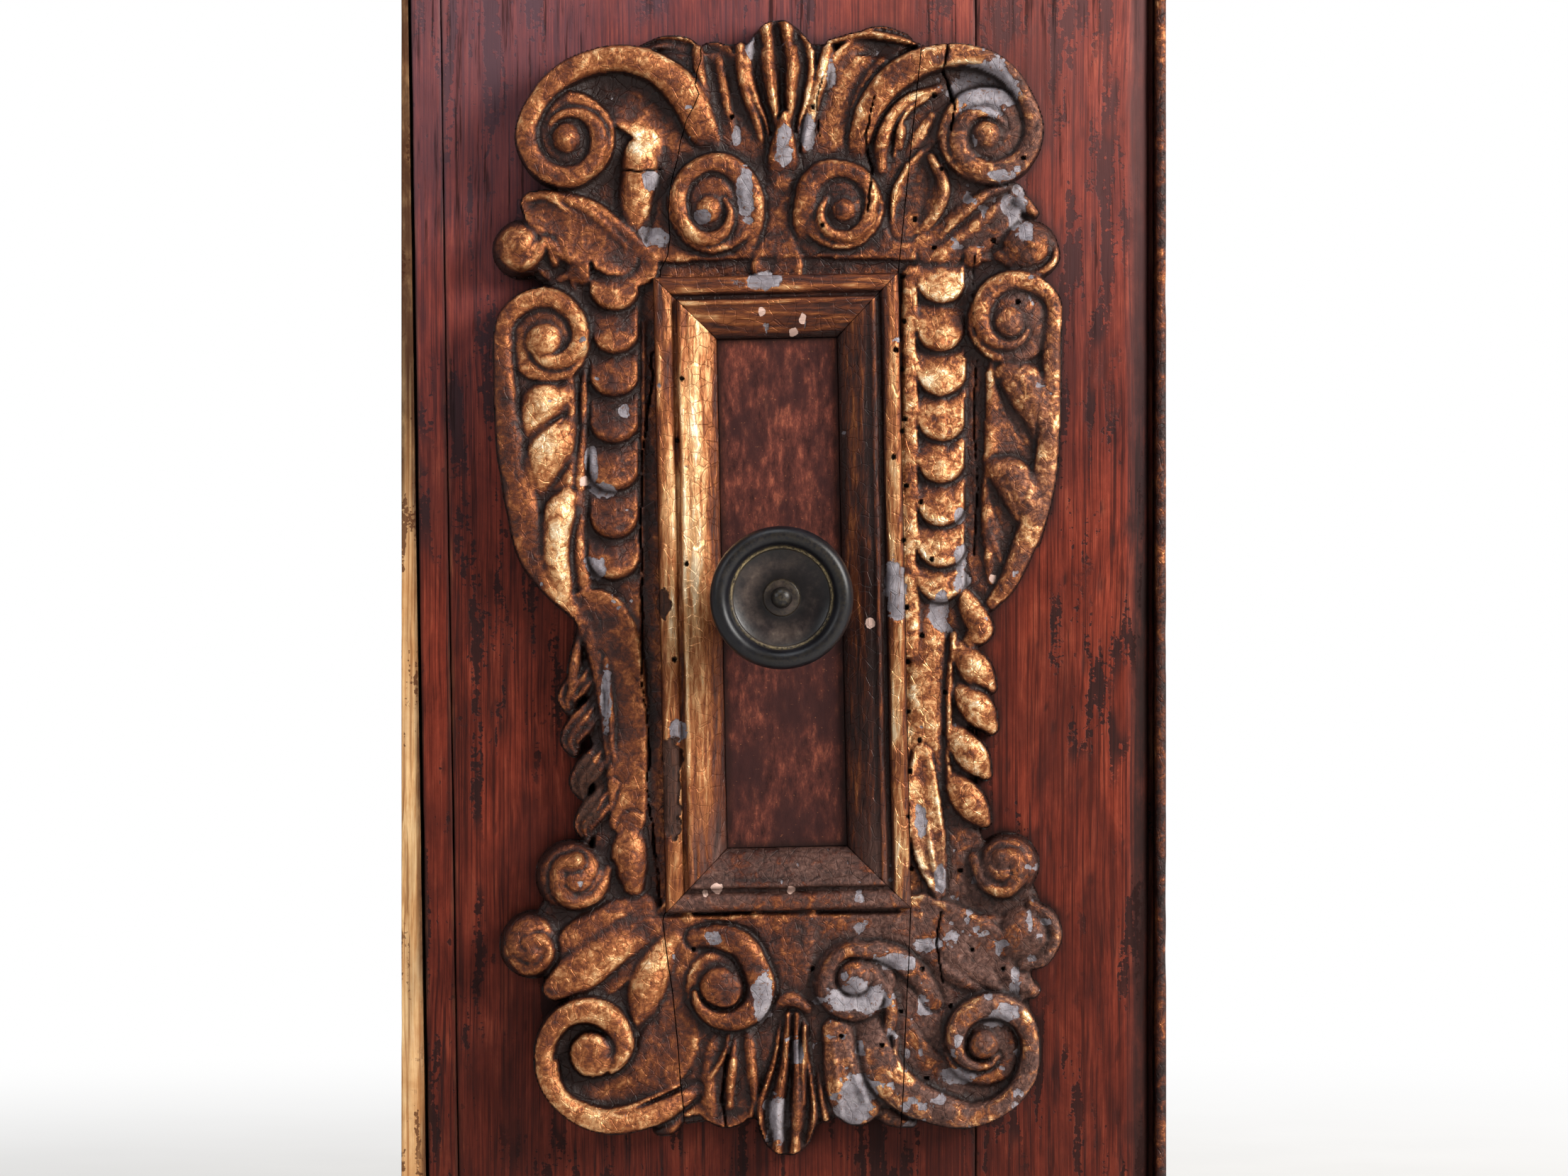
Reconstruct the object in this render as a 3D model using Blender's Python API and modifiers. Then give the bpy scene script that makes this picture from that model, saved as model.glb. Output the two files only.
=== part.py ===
"""A narrow one-door credenza: plank carcass, pivoting door, carved and gilded cartouche, latch knob."""
import math

import bmesh
import bpy
import numpy as np
from mathutils import Vector

# Carcass, metres
WIDTH = 0.324
DEPTH = 0.320
SIDE_THICKNESS = 0.020
BOARD_THICKNESS = 0.018
BACK_THICKNESS = 0.012
FOOT_HEIGHT = 0.050
FOOT_RADIUS = 0.024
SILL_HEIGHT = 0.080
HEAD_HEIGHT = 0.040
SLAB_THICKNESS = 0.024
SLAB_OVERHANG = 0.022
PLINTH_HEIGHT = 0.060
PLINTH_THICKNESS = 0.012
CORNICE_HEIGHT = 0.030
CORNICE_REACH = 0.016
SHELF_THICKNESS = 0.016
SHELF_SETBACK = 0.050
CLEAT_SIZE = 0.016

# Door, metres
DOOR_HEIGHT = 0.620
DOOR_THICKNESS = 0.020
DOOR_GAP = 0.0025
DOOR_BACK_GAP = 0.001
SLIP_TOP = 0.0018
SLIP_BOTTOM = 0.0113
EDGE_STRIP_WIDTH = 0.0125
PLANK_JOINT = 0.081
HINGE_GAP = 0.0024
BEAD_WIDTH = 0.0046
SLIP_GAP = 0.0012
BATTEN_WIDTH = 0.045
BATTEN_THICKNESS = 0.016
BATTEN_SPREAD = 0.200
PIN_RADIUS = 0.0035
PIN_DEPTH = 0.030

# Cartouche, metres and degrees
FRAME_INNER_WIDTH = 0.051
FRAME_INNER_HEIGHT = 0.215
FRAME_MOULDING = 0.026
FRAME_HEIGHT = 0.017
FRAME_SHIFT = -0.0008
FRAME_DROP = -0.002
CARTOUCHE_TILT = 1.15
PANEL_THICKNESS = 0.005
CARVING_RELIEF = 0.026
CARVING_GRID = 0.0018
CARVING_DETAIL = 0.078
CREST_LEAN_LEFT = 0.022
CREST_LEAN_RIGHT = 0.018
APRON_LEAN_LEFT = 0.005
APRON_LEAN_RIGHT = -0.008

# Knob and latch, metres
KNOB_X = -0.001
KNOB_Z = -0.004
KNOB_RADIUS = 0.0297
KNOB_REACH = 0.050
SPINDLE_RADIUS = 0.005
LATCH_TIP_GAP = 0.0097
LATCH_HOLD = 0.0125
LATCH_WIDTH = 0.014
LATCH_THICKNESS = 0.004
LATCH_CLEARANCE = 0.010
LATCH_RUN = 0.0008
NUT_THICKNESS = 0.006
KEEPER_PLATE = 0.003
KEEPER_TONGUE = 0.0057
KEEPER_LENGTH = 0.030
KEEPER_WIDTH = 0.024

JOINT_GAP = 0.0003
ARRIS = 0.0012

# The ornament is drawn round a frame of this size, with this relief, in units of this length
DRAWN_HALF_WIDTH = 51.5
DRAWN_HALF_HEIGHT = 133.5
DRAWN_RELIEF = 26.0
DRAWN_UNIT = 0.001

# Worked out
HALF = WIDTH / 2
FRONT = (KNOB_REACH - DEPTH) / 2
BACK = FRONT + DEPTH
SHOULDER = FRONT + DOOR_THICKNESS + DOOR_BACK_GAP
REAR = BACK - BACK_THICKNESS - JOINT_GAP
SILL_TOP = FOOT_HEIGHT + SILL_HEIGHT
DOOR_BOTTOM = SILL_TOP + DOOR_GAP
DOOR_TOP = DOOR_BOTTOM + DOOR_HEIGHT
HEAD_BOTTOM = DOOR_TOP + DOOR_GAP
CARCASS_TOP = HEAD_BOTTOM + HEAD_HEIGHT
DOOR_MIDDLE = (DOOR_BOTTOM + DOOR_TOP) / 2
EDGE_RADIUS = DOOR_THICKNESS / 2
DOOR_RIGHT = HALF - BEAD_WIDTH - HINGE_GAP
PIVOT = Vector((DOOR_RIGHT - EDGE_RADIUS, FRONT + EDGE_RADIUS, DOOR_BOTTOM))
INNER_HALF = HALF - SIDE_THICKNESS - JOINT_GAP
KNOB = Vector((KNOB_X, FRONT, DOOR_MIDDLE + KNOB_Z))
LATCH_LENGTH = INNER_HALF + KNOB_X - LATCH_TIP_GAP


def clear_scene():
    for thing in list(bpy.data.objects):
        bpy.data.objects.remove(thing, do_unlink=True)


def make_collection(name):
    group = bpy.data.collections.new(name)
    bpy.context.scene.collection.children.link(group)
    return group


def make_material(name, colour, roughness, metallic=0.0):
    material = bpy.data.materials.new(name)
    material.use_nodes = True
    shader = material.node_tree.nodes["Principled BSDF"]
    shader.inputs["Base Color"].default_value = (*colour, 1.0)
    shader.inputs["Roughness"].default_value = roughness
    shader.inputs["Metallic"].default_value = metallic
    return material


def make_empty(name, at, parent=None):
    empty = bpy.data.objects.new(name, None)
    PARTS.objects.link(empty)
    empty.empty_display_size = 0.02
    empty.parent = parent
    empty.location = Vector(at) - world_place(parent)
    return empty


def world_place(thing):
    place = Vector()
    while thing:
        place += thing.location
        thing = thing.parent
    return place


def make_object(name, bm, material, parent=None, at=(0, 0, 0), group=None):
    """Turn a bmesh, drawn around the point `at`, into a named object hung on its parent."""
    bmesh.ops.recalc_face_normals(bm, faces=bm.faces)
    mesh = bpy.data.meshes.new(name)
    bm.to_mesh(mesh)
    bm.free()
    thing = bpy.data.objects.new(name, mesh)
    (group or PARTS).objects.link(thing)
    if material:
        mesh.materials.append(material)
    thing.parent = parent
    thing.location = Vector(at) - world_place(parent)
    return thing


def soften(thing, width=ARRIS, segments=1):
    bevel = thing.modifiers.new("arris", "BEVEL")
    bevel.width = width
    bevel.segments = segments
    bevel.limit_method = "ANGLE"
    return thing


def cut(thing, cutter):
    """Take a cutter out of a piece, ahead of the bevel that softens its edges."""
    cutter.display_type = "WIRE"
    cutter.hide_render = True
    boolean = thing.modifiers.new("cut", "BOOLEAN")
    boolean.operation = "DIFFERENCE"
    boolean.solver = "EXACT"
    boolean.object = cutter
    return thing


def box(name, low, high, material, parent=None, arris=ARRIS):
    low, high = Vector(low), Vector(high)
    bm = bmesh.new()
    bmesh.ops.create_cube(bm, size=1.0)
    bmesh.ops.scale(bm, vec=high - low, verts=bm.verts)
    thing = make_object(name, bm, material, parent, (low + high) / 2)
    return soften(thing, arris) if arris else thing


def prism(name, outline, sweep, material, parent=None, at=(0, 0, 0), group=None):
    """Sweep a closed outline of 3-D points along a vector."""
    bm = bmesh.new()
    face = bm.faces.new([bm.verts.new(Vector(p)) for p in outline])
    grown = bmesh.ops.extrude_face_region(bm, geom=[face])
    moved = [e for e in grown["geom"] if isinstance(e, bmesh.types.BMVert)]
    bmesh.ops.translate(bm, vec=Vector(sweep), verts=moved)
    return make_object(name, bm, material, parent, at, group)


def rod(name, radius, length, axis, at, material, parent=None, group=None, sides=20):
    """A round bar from `at` along an axis."""
    ring = []
    side = Vector(axis).orthogonal().normalized()
    other = Vector(axis).cross(side)
    for k in range(sides):
        angle = math.tau * k / sides
        ring.append(side * radius * math.cos(angle) + other * radius * math.sin(angle))
    return prism(name, ring, Vector(axis) * length, material, parent, at, group)


def lathe(name, profile, material, parent, at, axis="Z", steps=28):
    """Turn a profile of (radius, height) points; a profile off the axis closes on itself."""
    bm = bmesh.new()
    rows = [bm.verts.new((r, 0, h)) for r, h in profile]
    edges = [bm.edges.new(pair) for pair in zip(rows, rows[1:])]
    if profile[0][0] > 0 and profile[-1][0] > 0:
        edges.append(bm.edges.new((rows[-1], rows[0])))
    bmesh.ops.spin(bm, geom=rows + edges, cent=(0, 0, 0), axis=(0, 0, 1), angle=math.tau, steps=steps)
    bmesh.ops.remove_doubles(bm, verts=bm.verts, dist=0.00002)
    if axis == "-Y":
        for v in bm.verts:
            v.co = Vector((v.co.x, -v.co.z, v.co.y))
    return make_object(name, bm, material, parent, at)


def moulding(name, profile, start, along, out, up, length, ends, material, parent=None):
    """Sweep a profile of (out, up) points along a straight line; each end is mitred (1) or square (0)."""
    along, out, up = Vector(along), Vector(out), Vector(up)
    bm = bmesh.new()
    rings = []
    for reach, mitre, sense in ((0.0, ends[0], -1), (length, ends[1], 1)):
        trim = sense * (mitre > 0) * -0.75 * JOINT_GAP
        rings.append([
            bm.verts.new(along * (reach + sense * mitre * o + trim) + out * o + up * u) for o, u in profile
        ])
    bm.faces.new(rings[0])
    bm.faces.new(rings[1])
    for k in range(len(profile)):
        j = (k + 1) % len(profile)
        bm.faces.new((rings[0][k], rings[0][j], rings[1][j], rings[1][k]))
    return make_object(name, bm, material, parent, start)


def build_carcass():
    """Sides, boards and the front frame that the door stands in."""
    for name, sign in (("side_left", -1), ("side_right", 1)):
        xs = sorted((sign * HALF, sign * (HALF - SIDE_THICKNESS)))
        box(name, (xs[0], SHOULDER, FOOT_HEIGHT + JOINT_GAP), (xs[1], REAR, CARCASS_TOP), STAINED)
    for name, top in (("bottom_board", SILL_TOP), ("sub_top", CARCASS_TOP)):
        box(name, (-INNER_HALF, SHOULDER, top - BOARD_THICKNESS), (INNER_HALF, REAR, top), INNER)
    front = SHOULDER - JOINT_GAP
    low = (-HALF, FRONT, FOOT_HEIGHT + JOINT_GAP)
    sill = box("front_sill", low, (HALF, front, SILL_TOP), STAINED, arris=0)
    head = box("front_head", (-HALF, FRONT, HEAD_BOTTOM), (HALF, front, CARCASS_TOP), STAINED, arris=0)
    bore = PIN_RADIUS + JOINT_GAP
    deep = PIN_DEPTH + JOINT_GAP
    for rail, z, axis in ((sill, SILL_TOP - deep, 1), (head, HEAD_BOTTOM + deep, -1)):
        at = (PIVOT.x, PIVOT.y, z)
        cut(rail, rod(rail.name + "_bore", bore, 2 * deep, (0, 0, axis), at, None, group=CUTTERS))
        soften(rail)
    plank = (WIDTH - 2 * JOINT_GAP) / 3
    for k, name in enumerate(("back_plank_left", "back_plank_middle", "back_plank_right")):
        left = -HALF + k * (plank + JOINT_GAP)
        low = (left, BACK - BACK_THICKNESS, FOOT_HEIGHT + JOINT_GAP)
        box(name, low, (left + plank, BACK, CARCASS_TOP), INNER)


def build_front_strips():
    """The tapered slip left of the door and the thin gilded bead right of it."""
    low, high = SILL_TOP + JOINT_GAP, HEAD_BOTTOM - JOINT_GAP
    inner_low = door_left(low) - SLIP_GAP
    inner_high = door_left(high) - SLIP_GAP
    outline = [(-HALF, 0, low), (inner_low, 0, low), (inner_high, 0, high), (-HALF, 0, high)]
    deep = (0, SHOULDER - JOINT_GAP - FRONT, 0)
    prism("corner_slip_left", outline, deep, RAW, at=(0, FRONT, 0))
    radius = BEAD_WIDTH / 2
    ring = [(HALF, SHOULDER - JOINT_GAP), (HALF - BEAD_WIDTH, SHOULDER - JOINT_GAP)]
    for k in range(7):
        angle = math.pi * k / 6
        ring.append((HALF - radius - radius * math.cos(angle), FRONT + radius - radius * math.sin(angle)))
    prism("corner_bead_right", [(x, y, low) for x, y in ring], (0, 0, high - low), GILT)


def build_top():
    slab = box(
        "top_slab",
        (-HALF - SLAB_OVERHANG, FRONT - SLAB_OVERHANG, CARCASS_TOP + JOINT_GAP),
        (HALF + SLAB_OVERHANG, BACK, CARCASS_TOP + JOINT_GAP + SLAB_THICKNESS),
        STAINED,
        arris=0,
    )
    soften(slab, SLAB_THICKNESS / 6, 2)
    h, r = CORNICE_HEIGHT, CORNICE_REACH
    turn = np.linspace(0, math.pi / 2, 6)
    hollow = [(r * (0.3 + 0.6 * (1 - math.cos(a))), h * (0.2 + 0.62 * math.sin(a))) for a in turn]
    profile = [(0, 0), (0.3 * r, 0), *hollow, (r, 0.86 * h), (r, h), (0, h)]
    surround("cornice", profile, CARCASS_TOP - h)


def build_plinth():
    h, t = PLINTH_HEIGHT, PLINTH_THICKNESS
    turn = np.linspace(0, math.pi, 6)
    ogee = [(t * (0.75 + 0.25 * math.cos(a)) - 0.1 * t, h * (0.78 + 0.16 * a / math.pi)) for a in turn]
    profile = [(0, 0), (t, 0), (t, 0.74 * h), *ogee, (0.3 * t, h), (0, h)]
    surround("plinth", profile, FOOT_HEIGHT + JOINT_GAP)


def surround(name, profile, z):
    """A moulding round the front and both sides, mitred at the front corners."""
    out = HALF + JOINT_GAP
    face = FRONT - JOINT_GAP
    up = (0, 0, 1)
    moulding(name + "_front", profile, (-out, face, z), (1, 0, 0), (0, -1, 0), up, 2 * out, (1, 1), STAINED)
    for side, sign in (("_left", -1), ("_right", 1)):
        at = (sign * out, face, z)
        moulding(name + side, profile, at, (0, 1, 0), (sign, 0, 0), up, BACK - face, (1, 0), STAINED)


def build_feet():
    r, h = FOOT_RADIUS, FOOT_HEIGHT
    turn = np.linspace(0, math.pi, 8)
    bun = [(r * (0.62 + 0.38 * math.sin(a)), h * (0.36 - 0.36 * math.cos(a))) for a in turn]
    neck = [(0.5 * r, 0.76 * h), (0.5 * r, 0.82 * h), (0.85 * r, 0.86 * h), (0.85 * r, h)]
    profile = [(0, 0), *bun, *neck, (0, h)]
    x = HALF - FOOT_RADIUS
    for end, y in (("front", FRONT + FOOT_RADIUS), ("back", BACK - FOOT_RADIUS)):
        lathe(f"foot_{end}_left", profile, STAINED, None, (-x, y, 0), steps=18)
        lathe(f"foot_{end}_right", profile, STAINED, None, (x, y, 0), steps=18)


def build_shelf():
    under = (SILL_TOP + CARCASS_TOP - BOARD_THICKNESS) / 2 - SHELF_THICKNESS / 2
    start = SHOULDER + SHELF_SETBACK
    box("shelf", (-INNER_HALF, start, under), (INNER_HALF, REAR, under + SHELF_THICKNESS), INNER)
    for name, sign in (("shelf_cleat_left", -1), ("shelf_cleat_right", 1)):
        xs = sorted((sign * INNER_HALF, sign * (INNER_HALF - CLEAT_SIZE)))
        box(name, (xs[0], start, under - JOINT_GAP - CLEAT_SIZE), (xs[1], REAR, under - JOINT_GAP), INNER)


def door_left(z):
    """The door's left edge leans with the tapered slip beside it: it is further out at the top."""
    share = (z - DOOR_BOTTOM) / DOOR_HEIGHT
    return SLIP_BOTTOM + share * (SLIP_TOP - SLIP_BOTTOM) + SLIP_GAP - HALF


def build_door():
    low, high = DOOR_BOTTOM, DOOR_TOP
    deep = (0, DOOR_THICKNESS, 0)
    place = (0, FRONT, 0)

    def leaning(inset_left, inset_right):
        return [
            (door_left(low) + inset_left, 0, low), (door_left(low) + inset_right, 0, low),
            (door_left(high) + inset_right, 0, high), (door_left(high) + inset_left, 0, high),
        ]

    soften(prism("door_edge_strip", leaning(0, EDGE_STRIP_WIDTH), deep, STAINED, DOOR, place))
    left_low, left_high = (door_left(z) + EDGE_STRIP_WIDTH + JOINT_GAP for z in (low, high))
    outline = [(left_low, 0, low), (PLANK_JOINT, 0, low), (PLANK_JOINT, 0, high), (left_high, 0, high)]
    wide = prism("door_plank_wide", outline, deep, STAINED, DOOR, place)
    cut(wide, spindle_bore("plank_bore"))
    soften(wide)
    ring = [(PLANK_JOINT + JOINT_GAP, FRONT + DOOR_THICKNESS), (PLANK_JOINT + JOINT_GAP, FRONT)]
    for k in range(13):
        angle = -math.pi / 2 + math.pi * k / 12
        ring.append((PIVOT.x + EDGE_RADIUS * math.cos(angle), PIVOT.y + EDGE_RADIUS * math.sin(angle)))
    narrow = prism("door_plank_hinge", [(x, y, low) for x, y in ring], (0, 0, high - low), STAINED, DOOR)
    bore, deep_bore = PIN_RADIUS + JOINT_GAP, PIN_DEPTH + JOINT_GAP
    for end, z, axis in (("low", low + deep_bore, -1), ("high", high - deep_bore, 1)):
        at = (PIVOT.x, PIVOT.y, z)
        hole = rod("pin_bore_" + end, bore, 2 * deep_bore, (0, 0, axis), at, None, group=CUTTERS)
        cut(narrow, hole)
    back = FRONT + DOOR_THICKNESS + JOINT_GAP
    for name, sign in (("door_batten_upper", 1), ("door_batten_lower", -1)):
        z = DOOR_MIDDLE + sign * BATTEN_SPREAD
        reach = INNER_HALF - BATTEN_THICKNESS
        low = (-reach, back, z - BATTEN_WIDTH / 2)
        high = (reach, back + BATTEN_THICKNESS, z + BATTEN_WIDTH / 2)
        box(name, low, high, INNER, DOOR, arris=4 * ARRIS)


def build_pivots():
    """Iron pins, fixed in the sill and the head, that the door turns on."""
    for name, z in (("pivot_pin_lower", SILL_TOP - PIN_DEPTH), ("pivot_pin_upper", DOOR_TOP - PIN_DEPTH)):
        pin = rod(name, PIN_RADIUS, 2 * PIN_DEPTH + DOOR_GAP, (0, 0, 1), (PIVOT.x, PIVOT.y, z), IRON)
        soften(pin, PIN_RADIUS / 5)
    low, high = JOINT_GAP, DOOR_GAP - JOINT_GAP
    inner, outer = PIN_RADIUS + JOINT_GAP, EDGE_RADIUS - ARRIS
    profile = [(inner, low), (outer, low), (outer, high), (inner, high)]
    lathe("pivot_washer", profile, IRON, None, (PIVOT.x, PIVOT.y, SILL_TOP), steps=20)


def spindle_bore(name):
    radius = SPINDLE_RADIUS + JOINT_GAP
    start = KNOB + Vector((0, -0.05, 0))
    return rod(name, radius, 0.10, (0, 1, 0), start, None, group=CUTTERS)


def build_knob():
    """A turned cup with a stud in its dish, on a spindle that carries the latch bar behind the door."""
    r, reach = KNOB_RADIUS, KNOB_REACH
    base = PANEL_THICKNESS + 2 * JOINT_GAP
    bore, stud = SPINDLE_RADIUS + JOINT_GAP, 0.10 * r
    dish = reach - 0.30 * r
    turn = np.linspace(-0.5, 3.0, 9)
    rim = [(r * (0.865 + 0.135 * math.cos(a)), reach - 0.17 * r + 0.17 * r * math.sin(a)) for a in turn]
    outer = [(bore, base), (0.42 * r, base), (0.40 * r, base + 0.08 * r), (0.30 * r, base + 0.2 * r)]
    outer += [(0.28 * r, base + 0.5 * r), (0.36 * r, dish - 0.24 * r), (0.66 * r, dish - 0.14 * r)]
    socket = stud + JOINT_GAP
    inner = [(0.69 * r, dish + 0.09 * r), (0.66 * r, dish), (0.27 * r, dish - 0.06 * r)]
    inner += [(0.25 * r, dish - 0.02 * r), (socket, dish - 0.02 * r)]
    inner += [(socket, dish - 0.20 * r), (bore, dish - 0.20 * r)]
    lathe("knob_cup", outer + rim + inner, BRONZE, TURN, KNOB, "-Y", 28)
    seat = dish - 0.02 * r + JOINT_GAP
    turn = np.linspace(0, math.pi / 2, 6)
    dome = [(0.15 * r * math.cos(a), seat + 0.04 * r + 0.13 * r * math.sin(a)) for a in turn]
    dome[-1] = (0, dome[-1][1])
    foot = dish - 0.20 * r + 2 * JOINT_GAP
    neck = [(0, foot), (stud, foot), (stud, seat), (0.15 * r, seat)]
    lathe("knob_stud", neck + dome, BRONZE, TURN, KNOB, "-Y", 20)
    back = DOOR_THICKNESS + LATCH_CLEARANCE + LATCH_THICKNESS + 1.5 * NUT_THICKNESS
    tip = dish - 0.20 * r - JOINT_GAP
    at = KNOB + Vector((0, -tip, 0))
    shaft = rod("knob_spindle", SPINDLE_RADIUS, tip + back, (0, 1, 0), at, IRON, TURN)
    soften(shaft, SPINDLE_RADIUS / 6)


def build_latch():
    y = FRONT + DOOR_THICKNESS + LATCH_CLEARANCE
    half = LATCH_WIDTH / 2
    outline = []
    for centre, first in ((0.0, 0.0), (half - LATCH_LENGTH, math.pi)):
        for k in range(9):
            angle = first + math.pi * k / 8
            outline.append((half * math.cos(angle), 0, centre + half * math.sin(angle)))
    bar = prism("latch_bar", outline, (0, LATCH_THICKNESS, 0), IRON, TURN, (KNOB.x, y, KNOB.z))
    cut(bar, spindle_bore("latch_bore"))
    start = -LATCH_CLEARANCE + 2 * JOINT_GAP
    radius = SPINDLE_RADIUS + JOINT_GAP
    sleeve = [(radius, start), (1.5 * radius, start), (1.5 * radius, -JOINT_GAP), (radius, -JOINT_GAP)]
    lathe("latch_sleeve", [(a, -h) for a, h in sleeve], IRON, TURN, (KNOB.x, y, KNOB.z), "-Y", 20)
    nut = []
    for k in range(6):
        angle = math.tau * k / 6
        nut.append((1.9 * radius * math.cos(angle), 0, 1.9 * radius * math.sin(angle)))
    at = (KNOB.x, y + LATCH_THICKNESS + JOINT_GAP, KNOB.z)
    cut(prism("latch_nut", nut, (0, NUT_THICKNESS, 0), IRON, TURN, at), spindle_bore("nut_bore"))
    wall = -INNER_HALF
    tongue = wall + LATCH_TIP_GAP + LATCH_HOLD
    plate = wall + KEEPER_PLATE
    behind = y - LATCH_RUN
    front = behind - KEEPER_TONGUE
    rear = y + KEEPER_LENGTH
    corner = [(wall, front), (tongue, front), (tongue, behind)]
    corner += [(plate, behind), (plate, rear), (wall, rear)]
    low = KNOB.z - KEEPER_WIDTH / 2
    prism("latch_keeper", [(a, b, low) for a, b in corner], (0, 0, KEEPER_WIDTH), IRON)


def tilted(u, v):
    """A point of the frame, drawn upright round the cartouche's centre, where it stands on the door."""
    a = math.radians(CARTOUCHE_TILT)
    across, along = u * math.cos(a) - v * math.sin(a), u * math.sin(a) + v * math.cos(a)
    return Vector((FRAME_SHIFT + across, FRAME_DROP + along))


def build_frame():
    """Four mitred mouldings round a painted panel."""
    w, h, m, t = FRAME_INNER_WIDTH, FRAME_INNER_HEIGHT, FRAME_MOULDING, FRAME_HEIGHT
    turn = np.linspace(0, math.pi / 2, 5)
    slope = [(m * 0.46 * (1 - math.cos(q)), t * (0.30 + 0.55 * math.sin(q))) for q in turn]
    profile = [(0, 0), *slope, (0.50 * m, 0.98 * t), (0.62 * m, 0.98 * t), (0.66 * m, 0.72 * t)]
    profile += [(0.72 * m, 0.72 * t), (0.76 * m, 0.94 * t), (0.95 * m, t), (m, 0.82 * t), (m, 0)]
    a = math.radians(CARTOUCHE_TILT)
    right = Vector((math.cos(a), 0, math.sin(a)))
    up = Vector((-math.sin(a), 0, math.cos(a)))
    out = Vector((0, -1, 0))
    y = FRONT - JOINT_GAP
    corners = [tilted(su * w / 2, sv * h / 2) for su, sv in ((-1, 1), (1, 1), (1, -1), (-1, -1))]
    runs = (
        ("frame_top", 0, right, up, w),
        ("frame_right", 1, -up, right, h),
        ("frame_bottom", 2, -right, -up, w),
        ("frame_left", 3, up, -right, h),
    )
    for name, k, along, outward, length in runs:
        at = (corners[k].x, y, DOOR_MIDDLE + corners[k].y)
        moulding(name, profile, at, along, outward, out, length, (1, 1), GILT, DOOR)
    inset = JOINT_GAP
    ends = ((-1, -1), (1, -1), (1, 1), (-1, 1))
    field = [tilted(su * (w / 2 - inset), sv * (h / 2 - inset)) for su, sv in ends]
    outline = [(p.x, 0, p.y) for p in field]
    deep = (0, -PANEL_THICKNESS, 0)
    panel = prism("painted_panel", outline, deep, PAINT, DOOR, (0, y, DOOR_MIDDLE))
    cut(panel, spindle_bore("panel_bore"))


def smooth_path(rows, per_span=6):
    """Rows along a smooth curve through the given rows."""
    p = np.asarray(rows, float)
    p = np.vstack([2 * p[0] - p[1], p, 2 * p[-1] - p[-2]])
    t = np.linspace(0, 1, per_span, endpoint=False)[:, None]
    spans = [
        0.5 * (2 * b + (c - a) * t + (2 * a - 5 * b + 4 * c - d) * t**2 + (3 * b - a - 3 * c + d) * t**3)
        for a, b, c, d in zip(p, p[1:], p[2:], p[3:])
    ]
    return np.vstack([*spans, p[-2:-1]])


def scroll(lead, eye, radius, turn, width, height):
    """Rows of a scroll: lead-in rows, then a spiral of `turn` degrees that closes on an eye."""
    last = np.array(lead[-1], float)
    arm = last[:2] - eye
    start = math.atan2(arm[1], arm[0])
    steps = max(4, round(abs(turn) / 30))
    rows = [tuple(p) for p in lead]
    for k in range(1, steps + 1):
        f = k / steps
        r = np.hypot(*arm) * (1 - f) + radius * f
        a = start + math.radians(turn) * f
        place = (eye[0] + r * math.cos(a), eye[1] + r * math.sin(a))
        rows.append((*place, last[2] + (width - last[2]) * f, last[3] + (height - last[3]) * f))
    return rows


def roll(s):
    """A rounded back."""
    return 0.42 + 0.58 * np.sqrt(np.clip(1 - s**2, 0, 1))


def rim(s):
    """A ribbon whose left edge, seen along it, is a rounded rim above a hollow slope."""
    e = (s - 0.25) / 0.75
    outer = 0.45 + 0.55 * np.sqrt(np.clip(1 - np.clip(e, 0, 1) ** 2, 0, 1))
    inner = 1 - 0.38 * np.clip(-e / 1.67, 0, 1) ** 1.5
    return np.where(e > 0, outer, inner)


def rim_right(s):
    return rim(-s)


def cove(s):
    """A hollow between raised edges."""
    return 0.60 + 0.40 * s**2 - 0.45 * np.clip((np.abs(s) - 0.86) / 0.14, 0, 1) ** 2


def blade(s):
    """A leaf, hollowed each side of its rib."""
    edge = 0.40 * np.clip((np.abs(s) - 0.7) / 0.3, 0, 1) ** 2
    return 0.84 + 0.16 * np.exp(-((s / 0.2) ** 2)) + 0.12 * (s**2 - 0.5) - edge


def flutes(s):
    """Three flutes side by side."""
    edge = 0.40 * np.clip((np.abs(s) - 0.8) / 0.2, 0, 1) ** 2
    return 0.84 + 0.14 * np.cos(3 * math.pi * (s + 1)) - edge


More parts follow.
